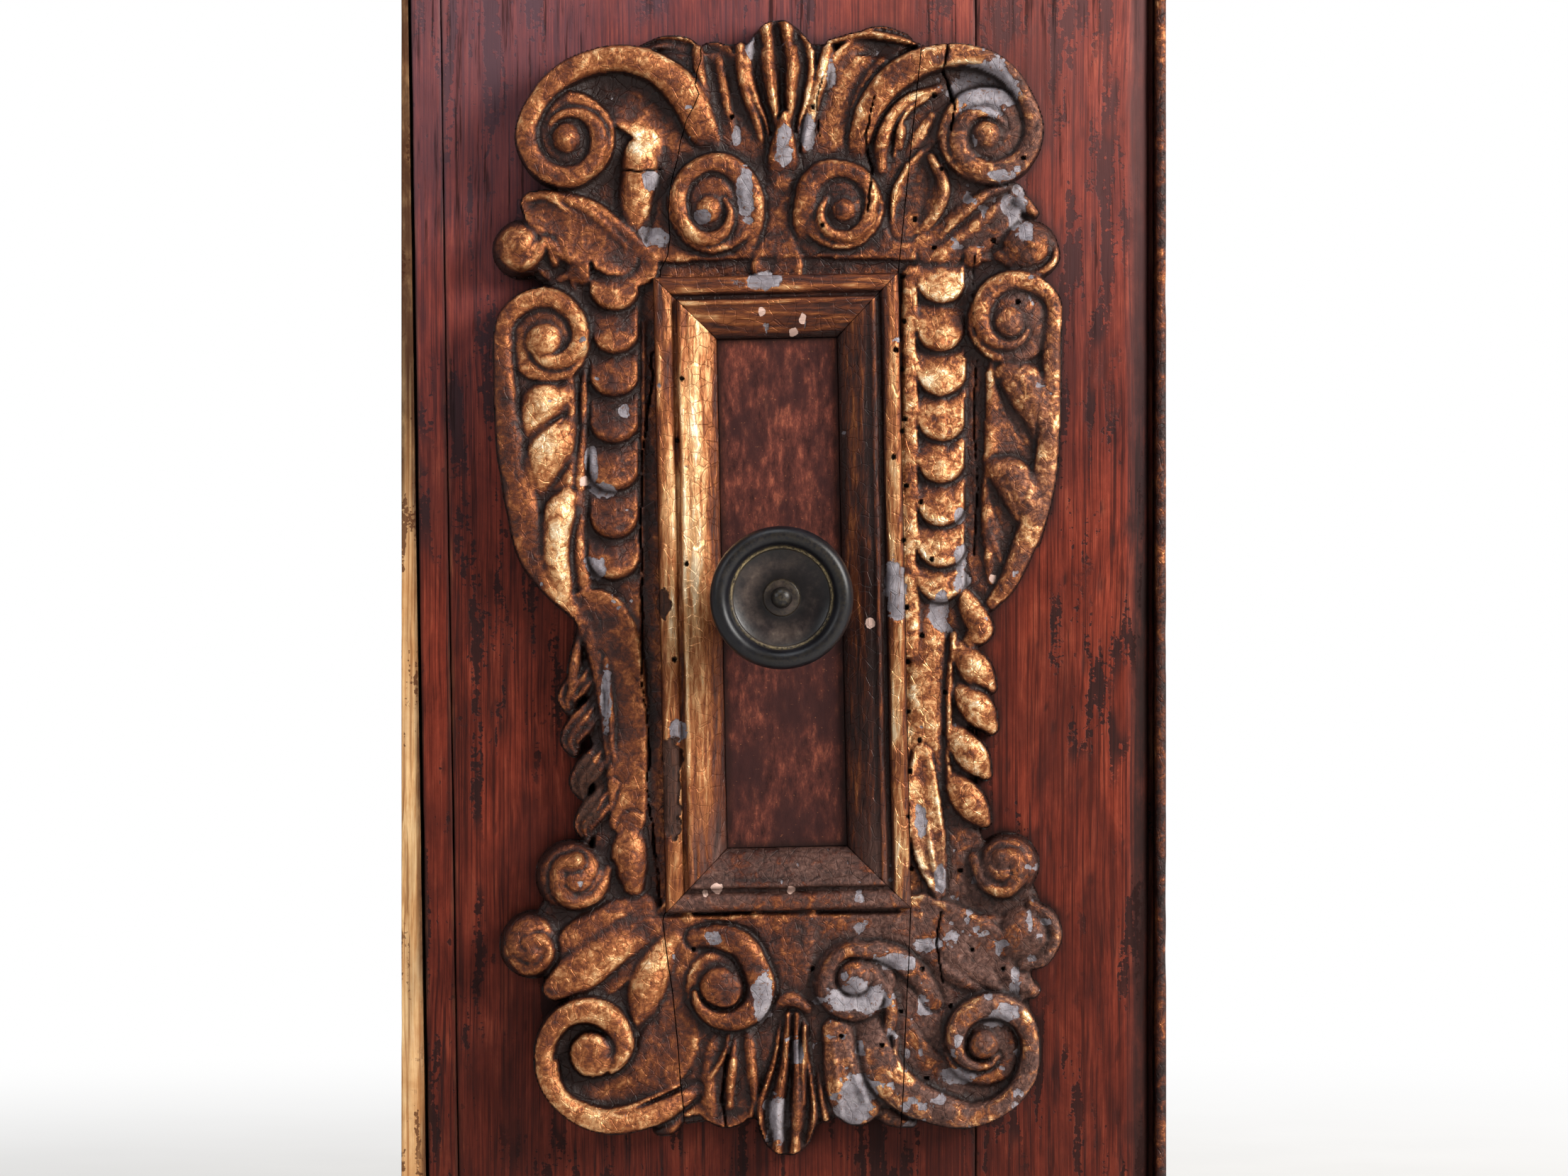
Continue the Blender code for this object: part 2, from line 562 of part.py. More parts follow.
class Relief:
    """A height field that forms are carved on, in drawn units."""

    def __init__(self, low, high, step):
        self.u = np.arange(low[0], high[0] + step / 2, step)
        self.v = np.arange(low[1], high[1] + step / 2, step)
        self.h = np.zeros((len(self.v), len(self.u)))

    def window(self, low, high):
        i0, i1 = np.searchsorted(self.u, (low[0], high[0]))
        j0, j1 = np.searchsorted(self.v, (low[1], high[1]))
        pick = slice(j0, j1), slice(i0, i1)
        vv, uu = np.meshgrid(self.v[pick[0]], self.u[pick[1]], indexing="ij")
        return pick, uu, vv

    def join(self, pick, top, inside, fillet):
        """Raise a new form out of what is there, with a small fillet between them."""
        old = self.h[pick]
        mix = np.clip(0.5 + 0.5 * (top - old) / fillet, 0, 1)
        joined = old + (top - old) * mix + 0.5 * fillet * mix * (1 - mix)
        self.h[pick] = np.where(inside, np.where(old > 0, joined, top), old)

    def stroke(self, rows, profile=roll, fillet=1.5, cut=0.0, reach=2.0):
        """A form along a curve: each row is u, v, half width, height. Its outline can be cut in."""
        path = smooth_path(rows)
        margin = path[:, 2].max() + reach + 1
        low, high = path[:, :2].min(axis=0) - margin, path[:, :2].max(axis=0) + margin
        pick, uu, vv = self.window(low, high)
        near = np.full(uu.shape, 1e9)
        side, tall, half = np.zeros(uu.shape), np.zeros(uu.shape), np.ones(uu.shape)
        for a, b in zip(path, path[1:]):
            du, dv = b[:2] - a[:2]
            pu, pv = uu - a[0], vv - a[1]
            t = np.clip((pu * du + pv * dv) / max(du * du + dv * dv, 1e-9), 0, 1)
            w = np.maximum(a[2] + t * (b[2] - a[2]), 0.2)
            d = np.hypot(pu - t * du, pv - t * dv) / w
            closer = d < near
            near = np.where(closer, d, near)
            side = np.where(closer, d * np.sign(du * pv - dv * pu), side)
            tall = np.where(closer, a[3] + t * (b[3] - a[3]), tall)
            half = np.where(closer, w, half)
        if cut:
            fade = np.clip(1 - (near - 1) * half / reach, 0, 1) * (near >= 1)
            old = self.h[pick]
            self.h[pick] = np.where(old > 0, np.maximum(old - cut * fade, np.minimum(old, 6)), old)
        self.join(pick, profile(np.clip(side, -1, 1)) * tall, near <= 1, fillet)

    def dome(self, u, v, radius, tall, base):
        pick, uu, vv = self.window((u - radius, v - radius), (u + radius, v + radius))
        d = np.hypot(uu - u, vv - v) / radius
        self.join(pick, base + (tall - base) * np.sqrt(np.clip(1 - d**2, 0, 1)), d < 1, 1.0)

    def husk(self, u, v, w, pitch):
        """One overlapping scale: it rises from under the one above to a rounded lip at its foot."""
        pick, uu, vv = self.window((u - w, v - 0.5), (u + w, v + pitch + 8))
        x = (uu - u) / w
        foot = v + 0.62 * w * (1 - np.sqrt(np.clip(1 - x**2, 0, 1)))
        up = (vv - foot) / pitch
        inside = (np.abs(x) < 1) & (up > 0) & (vv < v + pitch + 7)
        lip = 1 - (1 - np.clip(up / 0.16, 0, 1)) ** 2
        top = (11 + 7.5 * np.clip(1 - up / 1.25, 0, 1) ** 0.8) * (0.55 + 0.45 * lip) - 2.2 * x**2
        old = self.h[pick]
        self.h[pick] = np.where(inside, np.where(up < 0.95, top, np.maximum(old, top)), old)

    def ground(self, rows, tall):
        """A flat board inside a closed smooth outline."""
        p = np.asarray(rows, float)
        q = smooth_path(np.vstack([p, p[:1]]))
        pick, uu, vv = self.window(q.min(axis=0), q.max(axis=0))
        inside = np.zeros(uu.shape, bool)
        for a, b in zip(q, q[1:]):
            if a[1] != b[1]:
                crosses = (a[1] > vv) != (b[1] > vv)
                inside ^= crosses & (uu < a[0] + (vv - a[1]) * (b[0] - a[0]) / (b[1] - a[1]))
        self.h[pick] = np.where(inside, np.maximum(self.h[pick], tall), self.h[pick])


def carve_ground(r):
    right = [(60, 224), (98, 212), (105, 190), (92, 176), (94, 166), (108, 140), (92, 134),
             (112, 112), (115, 70)]
    right += [(110, 40), (98, 5), (84, -20), (84, -100), (100, -118), (110, -146), (98, -166), (104, -192)]
    left = [(-60, -222), (-92, -214), (-102, -196), (-94, -172), (-112, -150), (-98, -122), (-82, -108)]
    left += [(-86, -40), (-90, -8), (-112, 30), (-118, 80), (-116, 110), (-100, 124), (-114, 146),
             (-108, 162)]
    foot = [(96, -214), (60, -220), (20, -226), (0, -234), (-20, -226)]
    head = [(-96, 172), (-108, 190), (-98, 212), (-60, 224), (-20, 228), (20, 228)]
    r.ground(right + foot + left + head, 7.5)


def carve_crest(r):
    """A plume between folded leaves, with buds beside it."""
    r.stroke([(-36, 208, 5, 11), (-44, 222, 6, 14), (-56, 228, 3, 12)])
    r.stroke([(34, 208, 6, 12), (42, 222, 8, 15), (52, 230, 5, 14), (60, 229, 3, 12)], cove)
    r.stroke([(-21, 176, 7, 14), (-26, 194, 9, 16), (-31, 212, 9, 18), (-35, 228, 6, 15)], cove)
    r.stroke([(-24, 178, 2, 14), (-29, 194, 3, 19), (-33, 212, 3.2, 20), (-37, 230, 3, 16)], roll, 2)
    r.stroke([(-14, 186, 4, 15), (-17, 204, 6, 18), (-20, 220, 6.5, 19), (-22, 232, 4, 16)], roll, 2, 1)
    r.stroke([(17, 176, 8, 14), (19, 194, 11, 17), (24, 212, 10, 18), (29, 230, 6, 15)], cove)
    r.stroke([(10, 180, 2, 15), (11, 198, 3, 19), (15, 214, 3.4, 20), (21, 230, 3, 17)], roll, 2)
    r.stroke([(26, 184, 2, 15), (29, 200, 3, 18), (32, 216, 3, 18), (33, 230, 3, 15)], roll, 2)
    r.stroke([(-1, 182, 7, 16), (-1, 200, 8, 20), (0, 220, 11.5, 22), (-1, 236, 11, 20)], flutes, 1, 1.5)
    r.stroke([(-2, 174, 7.5, 16), (-1, 184, 5.5, 19), (0, 199, 1.5, 21)], roll, 1, 1.5)
    r.stroke([(-2, 138, 6, 12), (-2, 152, 8, 14), (-2, 168, 5, 12)], cove)
    r.stroke([(-2, 140, 2, 12), (-2, 154, 3, 16), (-2, 168, 2, 14)], roll, 2)
    r.stroke([(-56, 146, 5, 12), (-58, 160, 8, 16), (-60, 175, 8.5, 19), (-60, 187, 4, 17)], roll, 1, 2)
    r.stroke([(48, 154, 5, 11), (56, 168, 10, 14), (64, 182, 5, 13)], cove, 1, 1)
    r.stroke([(50, 152, 2, 11), (61, 158, 3, 16), (67, 171, 3.4, 17), (66, 183, 2.4, 14)], roll, 2)


def carve_upper_volutes(r):
    """Two large C-scrolls with hollow backs, and two small volutes between them."""
    r.stroke([(-99, 203, 5, 12), (-84, 208, 9, 14), (-67, 206, 12, 16), (-54, 196, 12, 17),
              (-48, 182, 9, 16)], cove)
    r.stroke([(96, 204, 5, 12), (82, 209, 9, 14), (65, 206, 11, 15), (52, 196, 11, 15),
              (46, 182, 9, 15)], cove)
    r.stroke([(41, 182, 3, 15), (45, 196, 3.6, 17), (54, 207, 3.6, 17), (66, 213, 2.6, 15)], roll, 2)
    r.stroke([(50, 182, 4, 13), (56, 194, 6, 16), (62, 205, 3, 14)], roll, 2)
    lead = [(-31, 184, 5, 15), (-36, 200, 6.6, 19), (-46, 212, 6.6, 22), (-57, 219.5, 6.5, 23),
            (-70, 222, 6.2, 23)]
    lead += [(-84, 219, 5.8, 23), (-97, 211, 5.4, 22.5), (-104.6, 200, 5.4, 22.5), (-106.6, 189, 5.4, 22.5)]
    r.stroke(scroll(lead, (-90.2, 189.2), 9.0, 290, 4.6, 22), rim_right, 1, 1)
    r.dome(-90.2, 189.2, 8.4, 26, 15)
    lead = [(30, 180, 5, 14), (34, 196, 6, 18), (41.5, 208, 6, 20), (52, 217, 6, 21.5), (63, 221.5, 6, 22)]
    lead += [(76, 222.5, 5.6, 22), (89, 219, 5.2, 22), (98.6, 210.6, 5, 22), (103.4, 199, 5, 22),
             (103.6, 190, 5, 22)]
    r.stroke(scroll(lead, (86, 189.6), 8.0, -295, 4.4, 21.5), rim, 1, 1)
    r.dome(86, 189.6, 7.2, 25.5, 15)
    lead = [(-30, 135, 5, 13), (-18, 142.5, 6, 16), (-13.4, 156, 6.2, 18.5), (-17.6, 169, 5.8, 20)]
    lead += [(-29, 175.6, 5.2, 20), (-39, 171, 4.8, 20), (-42.6, 160, 4.6, 20)]
    r.stroke(scroll(lead, (-30.5, 158.5), 7.4, 255, 3.8, 20), rim_right, 1, 1)
    r.dome(-30.5, 158.2, 6.4, 23, 14)
    lead = [(23, 135, 5, 13), (12.5, 143, 6, 16), (9.6, 157, 5.6, 18.5), (14, 169, 5.2, 20)]
    lead += [(25, 173.6, 4.8, 20), (33, 169.4, 4.6, 20), (36, 159, 4.4, 20)]
    r.stroke(scroll(lead, (24.5, 158.3), 7.0, -255, 3.6, 20), rim, 1, 1)
    r.dome(24.5, 158.3, 6.0, 23, 14)


def carve_upper_flanks(r):
    """A cupped leaf and a ball scroll at each shoulder."""
    r.stroke([(-62, 140, 8, 12), (-76, 147, 13, 15), (-92, 154, 13, 16), (-105, 161, 6, 15)], cove)
    edge = [(-62, 144, 3.4, 15), (-73, 156, 4, 18), (-86, 164.5, 4, 18), (-100, 163.5, 4, 18),
            (-109, 161, 3, 15)]
    r.stroke(edge, roll, 2)
    r.dome(-110.6, 142.5, 12.6, 21, 6)
    curl = [(-119, 141, 2, 15), (-113, 136.5, 3, 19), (-106, 137, 3.4, 19), (-99, 140, 3.6, 18),
            (-91, 136, 4, 15)]
    r.stroke(curl, roll, 2, 1)
    r.dome(-109.5, 145.5, 5, 22, 16)
    r.dome(-86, 133.5, 7, 16, 7)
    r.stroke([(58, 136, 7, 12), (71, 145, 11, 15), (86, 156, 12, 17), (96, 166, 6, 15)], cove)
    r.stroke([(60, 142, 3, 14), (72, 153, 4, 17), (84, 164, 4, 17), (95, 168, 3, 15)], roll, 2)
    r.stroke([(66, 138, 4, 13), (80, 148, 4.5, 17), (92, 158, 4, 17)], roll, 2)
    r.dome(102.5, 142.8, 12.8, 21, 6)
    r.stroke([(111, 140, 2, 15), (104, 135.5, 3, 19), (97, 137, 3.4, 19), (89, 139, 4, 16)], roll, 2, 1)
    r.dome(79, 141, 6.4, 15, 7)
    r.dome(67, 140, 6, 14, 7)


def carve_flanks(r):
    """A long rim that ends in a volute on each side, with leaves rolling out of its hollow."""
    r.stroke([(-97, 18, 6, 11), (-102, 40, 10, 12), (-104, 62, 12, 13), (-104, 84, 12, 13)], cove)
    r.stroke([(94, 14, 6, 11), (100, 38, 10, 12), (102, 62, 12, 13), (102, 88, 12, 13)], cove)
    r.stroke([(-114, 58, 3, 12), (-110.5, 69, 5, 16), (-104.5, 78, 6.4, 18),
              (-95.5, 81.5, 5, 17)], roll, 1, 1.5)
    r.stroke([(-112.5, 40, 3, 12), (-108, 51, 6, 17), (-102, 61, 7, 18.5),
              (-94.5, 67, 4.4, 17)], roll, 1, 1.5)
    r.stroke([(-104, 38, 3, 12), (-99, 47, 5, 15), (-92, 51, 3.6, 14)], roll, 1, 1)
    rib = [(-92, -4, 3, 13), (-98, 8, 4.4, 17), (-100, 22, 5.4, 18.5), (-97.5, 36, 6.6, 18.5),
           (-92, 43, 4, 16)]
    r.stroke(rib, roll, 1, 1.5)
    r.stroke([(-88, 0, 3, 11), (-90, 14, 4.5, 14), (-89, 28, 5, 14)], roll, 1, 1)
    r.stroke([(112, 60, 3.4, 13), (110, 75, 6.6, 17), (104.5, 87, 7.6, 18.5),
              (96, 93, 5.4, 17)], roll, 1, 1.5)
    r.stroke([(104, 58, 3, 11), (100, 70, 5.6, 14), (95, 84, 4, 14)], cove, 1, 1)
    r.stroke([(109, 26, 3, 13), (105, 38, 6.4, 17), (98, 48, 7, 18), (90, 51, 4, 16)], roll, 1, 1.5)
    r.stroke([(97, 4, 3, 11), (95, 18, 6, 12), (92, 34, 5, 12)], cove, 1, 1)
    lead = [(-87, -10, 3, 13), (-95, -1, 3.6, 16), (-104.5, 12, 4.4, 17.5), (-111.5, 29, 4.4, 18.5),
            (-115.4, 50, 4.2, 19)]
    lead += [(-117.2, 75, 3.8, 19.5), (-116.4, 98, 4.2, 20), (-111, 113, 5, 20.5), (-98.5, 119.6, 5.2, 21)]
    r.stroke(scroll(lead, (-98.6, 104.6), 9.6, -260, 4.6, 20.5), rim, 1, 1.5)
    r.dome(-99.0, 104.4, 8.2, 24, 14)
    lead = [(86, -8, 3, 13), (94.5, 2, 3.6, 16), (102.4, 18, 4.4, 17.5), (108.6, 36, 4.4, 18.5),
            (111.6, 52, 4.2, 19)]
    lead += [(113, 76, 3.8, 19.5), (112.4, 104, 4.2, 20), (107, 121, 5, 20.5), (95, 127, 5.2, 21)]
    r.stroke(scroll(lead, (94.4, 111.6), 8.6, 270, 4.4, 20.5), rim_right, 1, 1.5)
    r.dome(94.8, 111, 7.2, 24, 14)


def carve_husks(r):
    """A string of overlapping scales down each side of the frame."""
    left = (-70, 9.6, (3, 20, 40, 60, 79.5, 97.5, 116))
    right = (66, 10, (-6, 8, 25.5, 43.5, 61, 80, 98.5, 119))
    for u, w, feet in (left, right):
        for edge, half in ((u - w - 2.2, 1.6), (u + w + 1.6, 1.2)):
            r.stroke([(edge, feet[-1] + 8, half, 13.5), (edge, feet[0] + 4, half, 13.5)], roll, 1)
        for v, above in zip(feet, feet[1:] + (feet[-1] + 18,)):
            r.husk(u, v, w, above - v)


def carve_lower_flanks(r):
    """A stem that ends in a string of buds on each side, above two balls with curls."""
    r.stroke([(-66, 0, 6, 12), (-65, -40, 6, 13), (-65, -98, 6, 12)], roll, 1)
    stem = [(-88, -6, 4, 14), (-77, -10, 10, 16), (-70, -26, 9, 16), (-73, -52, 5, 14.5), (-77, -70, 3, 12)]
    r.stroke(stem, roll, 1, 1)
    for u, v in ((-87, -41), (-85.5, -58), (-82, -76), (-80, -94)):
        r.stroke([(u + 8, v + 11, 3, 11), (u + 1, v + 2, 7, 16), (u - 4, v - 8, 4, 13)], roll, 1, 2)
    r.stroke([(-64, -99, 5, 12), (-65, -113, 8, 17), (-63.5, -125, 5, 15.5)], roll, 1, 2)
    r.stroke([(60, -6, 7, 12), (60, -40, 7, 13), (58, -76, 6, 12)], roll, 1)
    r.stroke([(71, -22, 1.8, 14), (69.5, -50, 1.8, 14), (69.5, -92, 1.8, 13)], roll, 1)
    r.stroke([(76, -2, 6, 13), (81, -12, 9, 18), (82, -23, 6, 15)], roll, 1, 1)
    for u, v in ((80.5, -31), (81, -48), (78.5, -68), (78, -88)):
        r.stroke([(u - 8, v + 10, 2.6, 12), (u - 1, v + 1.5, 7.4, 18),
                  (u + 6, v - 9, 3.6, 14)], roll, 1, 2.5)
    r.stroke([(60, -72, 2, 12), (61, -92, 8, 16), (63, -110, 7, 16), (66, -128, 2.4, 13)], blade, 1, 2)
    r.dome(-89.5, -121.5, 15.5, 21.5, 6)
    curl = [(-74, -118, 3, 14), (-79, -129, 3.4, 18), (-88, -132, 3.4, 20), (-95, -126, 3.4, 21),
            (-94, -117, 3.4, 22)]
    r.stroke([*curl, (-87, -114.5, 4, 23)], roll, 2, 1.5)
    r.dome(-106, -150.5, 14.2, 21, 6)
    curl = [(-116, -150, 2, 15), (-109, -155, 3, 19), (-101, -154, 3.4, 19.5), (-95, -148, 3.8, 18),
            (-88, -148, 4, 15)]
    r.stroke(curl, roll, 2, 1.5)
    r.dome(-104.5, -146.5, 5.4, 22.5, 16)
    r.dome(94.3, -116.5, 13.5, 21.5, 6)
    curl = [(80, -114, 3, 14), (85, -124, 3.2, 18), (93, -127, 3.2, 20), (99, -121, 3.2, 21),
            (97, -113, 3.4, 22)]
    r.stroke([*curl, (91, -113, 4, 22.5)], roll, 2, 1.5)
    r.dome(102.5, -146, 14.6, 21, 6)
    curl = [(112, -146, 2, 15), (106, -151, 3, 19), (98, -150, 3.4, 19.5), (92, -144, 3.8, 18),
            (85, -143, 4, 15)]
    r.stroke(curl, roll, 2, 1.5)
    r.dome(101.5, -142, 5.4, 22.5, 16)


def carve_apron(r):
    """Diagonal leaves at the corners and a hanging shell in the middle."""
    r.stroke([(-58, -138, 7, 12), (-70, -148, 10, 15), (-83, -160, 10, 16), (-97, -170, 5, 13)], cove)
    r.stroke([(-62, -136, 3, 13), (-76, -146, 3.6, 16), (-90, -156, 3.6, 16), (-100, -164, 3, 13)], roll, 2)
    r.stroke([(-56, -146, 3, 13), (-70, -158, 3.6, 16), (-82, -168, 4.4, 16), (-95, -173, 4, 13)], roll, 2)
    r.stroke([(-50, -147, 5, 14), (-55, -159, 8.4, 17), (-60, -171, 8, 17.5),
              (-65, -182, 3, 14)], roll, 1, 2)
    r.stroke([(60, -136, 7, 12), (72, -147, 11, 15), (84, -159, 11, 16), (98, -167, 6, 13)], cove)
    r.stroke([(66, -136, 3, 13), (80, -146, 4, 16), (94, -156, 4, 15)], roll, 2)
    r.stroke([(58, -146, 3, 13), (72, -158, 4, 16), (88, -167, 4.4, 16), (101, -168, 4, 13)], roll, 2)
    r.stroke([(52, -166, 5, 13), (58, -177, 9, 15), (62, -189, 5, 12)], cove, 1, 1)
    r.stroke([(-44, -208, 5, 12), (-48, -224, 7, 14), (-48, -230, 5, 12)], roll, 1)
    r.stroke([(-28, -186, 7, 13), (-33, -204, 10, 16), (-36, -222, 8, 14.5)], cove)
    r.stroke([(-24, -186, 2.4, 14), (-26, -204, 3.4, 18), (-26, -222, 3, 15)], roll, 2)
    r.stroke([(-34, -190, 2.4, 13), (-40, -206, 3.4, 17), (-43, -224, 3, 14)], roll, 2)
    r.stroke([(-16, -188, 4, 14), (-16, -206, 5.4, 17.5), (-15, -224, 4.4, 15)], roll, 1, 1)
    r.stroke([(34, -198, 6, 12), (36, -212, 9, 14), (38, -222, 6, 12)], cove)
    r.stroke([(20, -181, 5, 14), (22, -198, 8, 18), (25, -214, 7.6, 17), (27, -227, 4.4, 14)], roll, 1, 1.5)
    r.stroke([(9.5, -183, 2.4, 15), (9.5, -206, 3.6, 18), (11, -229, 3.6, 15)], roll, 1, 1)
    r.stroke([(-4, -184, 6, 16), (-3, -204, 7.4, 21), (-3, -222, 8.6, 20.5),
              (-1, -235, 5, 16.5)], flutes, 1, 1.5)
    r.dome(3, -175, 7, 19, 9)
    r.stroke([(4, -142, 5, 12), (4, -154, 7, 14), (3, -166, 4, 12)], cove)
    r.stroke([(4, -142, 2, 12), (4, -155, 3, 16), (3, -168, 2.4, 15)], roll, 2)


def carve_lower_volutes(r):
    """The upper scrolls turned over, each a little different."""
    r.stroke([(-95, -206, 5, 12), (-81, -213, 9, 14), (-64, -208, 11, 15), (-53, -197, 11, 15),
              (-49, -184, 8, 15)], cove)
    r.stroke([(98, -204, 5, 12), (85, -212, 9, 14), (68, -208, 10, 14), (56, -198, 10, 14),
              (50, -184, 8, 14)], cove)
    r.stroke([(39, -186, 3, 14), (45, -199, 3.6, 16.5), (57, -209.6, 3.6, 16.5),
              (70, -215, 2.6, 14)], roll, 2)
    lead = [(-36, -188, 4, 14), (-41, -203, 6, 18), (-50, -215.5, 6.6, 20.5), (-62, -222, 6.6, 21.5)]
    lead += [(-76, -223.4, 6.2, 22), (-89.6, -218, 5.8, 22.5), (-98, -207, 5.6, 22.5),
             (-99.8, -195, 5.6, 22.5)]
    r.stroke(scroll(lead, (-80.6, -196), 9.4, -300, 4.8, 22), rim, 1, 1)
    r.dome(-80.6, -196.4, 8.6, 26, 15)
    lead = [(29, -188, 4, 13), (37, -203, 5.6, 17), (49, -214, 6, 19.5), (63, -219.8, 6, 21)]
    lead += [(77, -220.8, 5.6, 22), (90.6, -216, 5.4, 22), (100, -205, 5.2, 22), (102.6, -193, 5.2, 22)]
    r.stroke(scroll(lead, (84.3, -191), 8.4, 300, 4.4, 21.5), rim_right, 1, 1)
    r.dome(84.3, -190.3, 7.4, 25.5, 15)
    lead = [(-57, -168, 4, 12), (-48, -156, 5.6, 16), (-37, -149.4, 5.8, 18), (-25, -148, 5.4, 19.5)]
    lead += [(-14, -154, 5.6, 20), (-10, -166, 5.4, 20), (-14.6, -177, 5, 20), (-25, -181, 4.6, 20)]
    r.stroke(scroll(lead, (-25.5, -167.5), 7.2, -225, 3.8, 20), rim, 1, 1)
    r.dome(-25.5, -167, 6.4, 23, 14)
    lead = [(60, -171, 4, 12), (51, -160, 5.4, 16), (41, -153.4, 5.2, 18), (29.5, -151.4, 5, 19.5)]
    lead += [(19.6, -156, 5, 20), (16.6, -166, 5, 20), (21, -175, 4.8, 20), (29, -177.4, 4.6, 20)]
    r.stroke(scroll(lead, (29, -164), 7.0, 245, 3.6, 20), rim_right, 1, 1)
    r.dome(29, -163.4, 6, 23, 14)


def fit_to_frame(u, v):
    """Move the drawn ornament so that it keeps its place round the frame as the frame is sized."""
    out = []
    halves = (FRAME_INNER_WIDTH / 2 + FRAME_MOULDING, FRAME_INNER_HEIGHT / 2 + FRAME_MOULDING)
    for place, drawn, real in zip((u, v), (DRAWN_HALF_WIDTH, DRAWN_HALF_HEIGHT), halves):
        inside = place * real / drawn
        outside = (np.abs(place) - drawn) * DRAWN_UNIT + real
        out.append(np.where(np.abs(place) < drawn, inside, np.sign(place) * outside))
    return out


def build_carving():
    """The carved ground and ornament, cut into the four boards it was glued up from."""
    r = Relief((-128, -246), (124, 250), CARVING_GRID / DRAWN_UNIT)
    carve_ground(r)
    carve_crest(r)
    carve_apron(r)
    carve_upper_flanks(r)
    carve_flanks(r)
    carve_husks(r)
    carve_lower_flanks(r)
    carve_upper_volutes(r)
    carve_lower_volutes(r)
    sheet = relief_solid(r)
    w, h, m = FRAME_INNER_WIDTH / 2, FRAME_INNER_HEIGHT / 2, FRAME_MOULDING
    tl, tr, br, bl = (tilted(su * (w + m), sv * (h + m)) for su, sv in ((-1, 1), (1, 1), (1, -1), (-1, -1)))
    g = JOINT_GAP
    far, side = DOOR_HEIGHT / 2, HALF
    top_left, top_right = (tl.x + CREST_LEAN_LEFT, far), (tr.x + CREST_LEAN_RIGHT, far)
    low_left, low_right = (bl.x + APRON_LEAN_LEFT, -far), (br.x + APRON_LEAN_RIGHT, -far)
    boards = {
        "carving_crest": [(tl.x, tl.y + g), (tr.x, tr.y + g), top_right, top_left],
        "carving_apron": [(bl.x, bl.y - g), low_left, low_right, (br.x, br.y - g)],
        "carving_left": [top_left, tl, bl, low_left, (-side, -far), (-side, far)],
        "carving_right": [top_right, (side, far), (side, -far), low_right, br, tr],
    }
    for name, outline in boards.items():
        shift = {"carving_left": -g, "carving_right": g}.get(name, 0.0)
        points = [(p[0] + shift, DOOR_THICKNESS, DOOR_MIDDLE + p[1]) for p in outline]
        through = (0, -DOOR_THICKNESS - 2 * CARVING_RELIEF, 0)
        keep = prism(name + "_region", points, through, None, at=(0, FRONT, 0), group=CUTTERS)
        keep.display_type = "WIRE"
        keep.hide_render = True
        board = bpy.data.objects.new(name, sheet.data.copy())
        PARTS.objects.link(board)
        board.data.materials.append(GILT)
        board.parent = DOOR
        board.location = Vector((0, FRONT - JOINT_GAP, DOOR_MIDDLE)) - world_place(DOOR)
        within = board.modifiers.new("board", "BOOLEAN")
        within.operation = "INTERSECT"
        within.solver = "EXACT"
        within.object = keep
    bpy.data.objects.remove(sheet, do_unlink=True)


def relief_solid(r):
    """A closed solid with a flat back from the height field, thinned where it is smooth."""
    body = r.h > 0
    outside = np.zeros_like(body)
    outside[0, :] = outside[-1, :] = outside[:, 0] = outside[:, -1] = True
    outside &= ~body
    for _ in range(sum(body.shape)):
        grown = outside.copy()
        grown[1:] |= outside[:-1]
        grown[:-1] |= outside[1:]
        grown[:, 1:] |= outside[:, :-1]
        grown[:, :-1] |= outside[:, 1:]
        grown &= ~body
        if (grown == outside).all():
            break
        outside = grown
    high = np.where(outside, 0, np.maximum(r.h, 5)) * CARVING_RELIEF / DRAWN_RELIEF
    cells = ~(outside[:-1, :-1] | outside[1:, :-1] | outside[:-1, 1:] | outside[1:, 1:])
    bm = bmesh.new()
    fu, fv = fit_to_frame(*np.meshgrid(r.u, r.v))
    corners = {}

    def corner(j, i):
        if (j, i) not in corners:
            corners[j, i] = bm.verts.new((fu[j, i], -high[j, i], fv[j, i]))
        return corners[j, i]

    for j, i in np.argwhere(cells):
        bm.faces.new((corner(j, i), corner(j, i + 1), corner(j + 1, i + 1), corner(j + 1, i)))
    keep_largest(bm)
    relax_outline(bm)
    bmesh.ops.triangulate(bm, faces=bm.faces)
    sheet = make_object("carving_sheet", bm, None)
    thin = sheet.modifiers.new("thin", "DECIMATE")
    thin.ratio = CARVING_DETAIL
    bm = bmesh.new()
    bm.from_object(sheet, bpy.context.evaluated_depsgraph_get())
    bpy.data.objects.remove(sheet, do_unlink=True)
    rim_edges = [e for e in bm.edges if len(e.link_faces) == 1]
    walls = bmesh.ops.extrude_edge_only(bm, edges=rim_edges)["geom"]
    foot = [e for e in walls if isinstance(e, bmesh.types.BMVert)]
    for v in foot:
        v.co.y = 0.0
    bmesh.ops.contextual_create(bm, geom=[e for e in bm.edges if len(e.link_faces) == 1])
    return make_object("carving_solid", bm, None)


def keep_largest(bm):
    """Drop crumbs that only touch the main board at a corner."""
    left = set(bm.faces)
    islands = []
    while left:
        stack = [left.pop()]
        island = set(stack)
        while stack:
            for edge in stack.pop().edges:
                for face in edge.link_faces:
                    if face in left:
                        left.discard(face)
                        island.add(face)
                        stack.append(face)
        islands.append(island)
    islands.sort(key=len)
    bmesh.ops.delete(bm, geom=[f for island in islands[:-1] for f in island], context="FACES")
    for v in [v for v in bm.verts if len([e for e in v.link_edges if len(e.link_faces) == 1]) > 2]:
        bmesh.utils.vert_separate(v, [e for e in v.link_edges if len(e.link_faces) == 1])


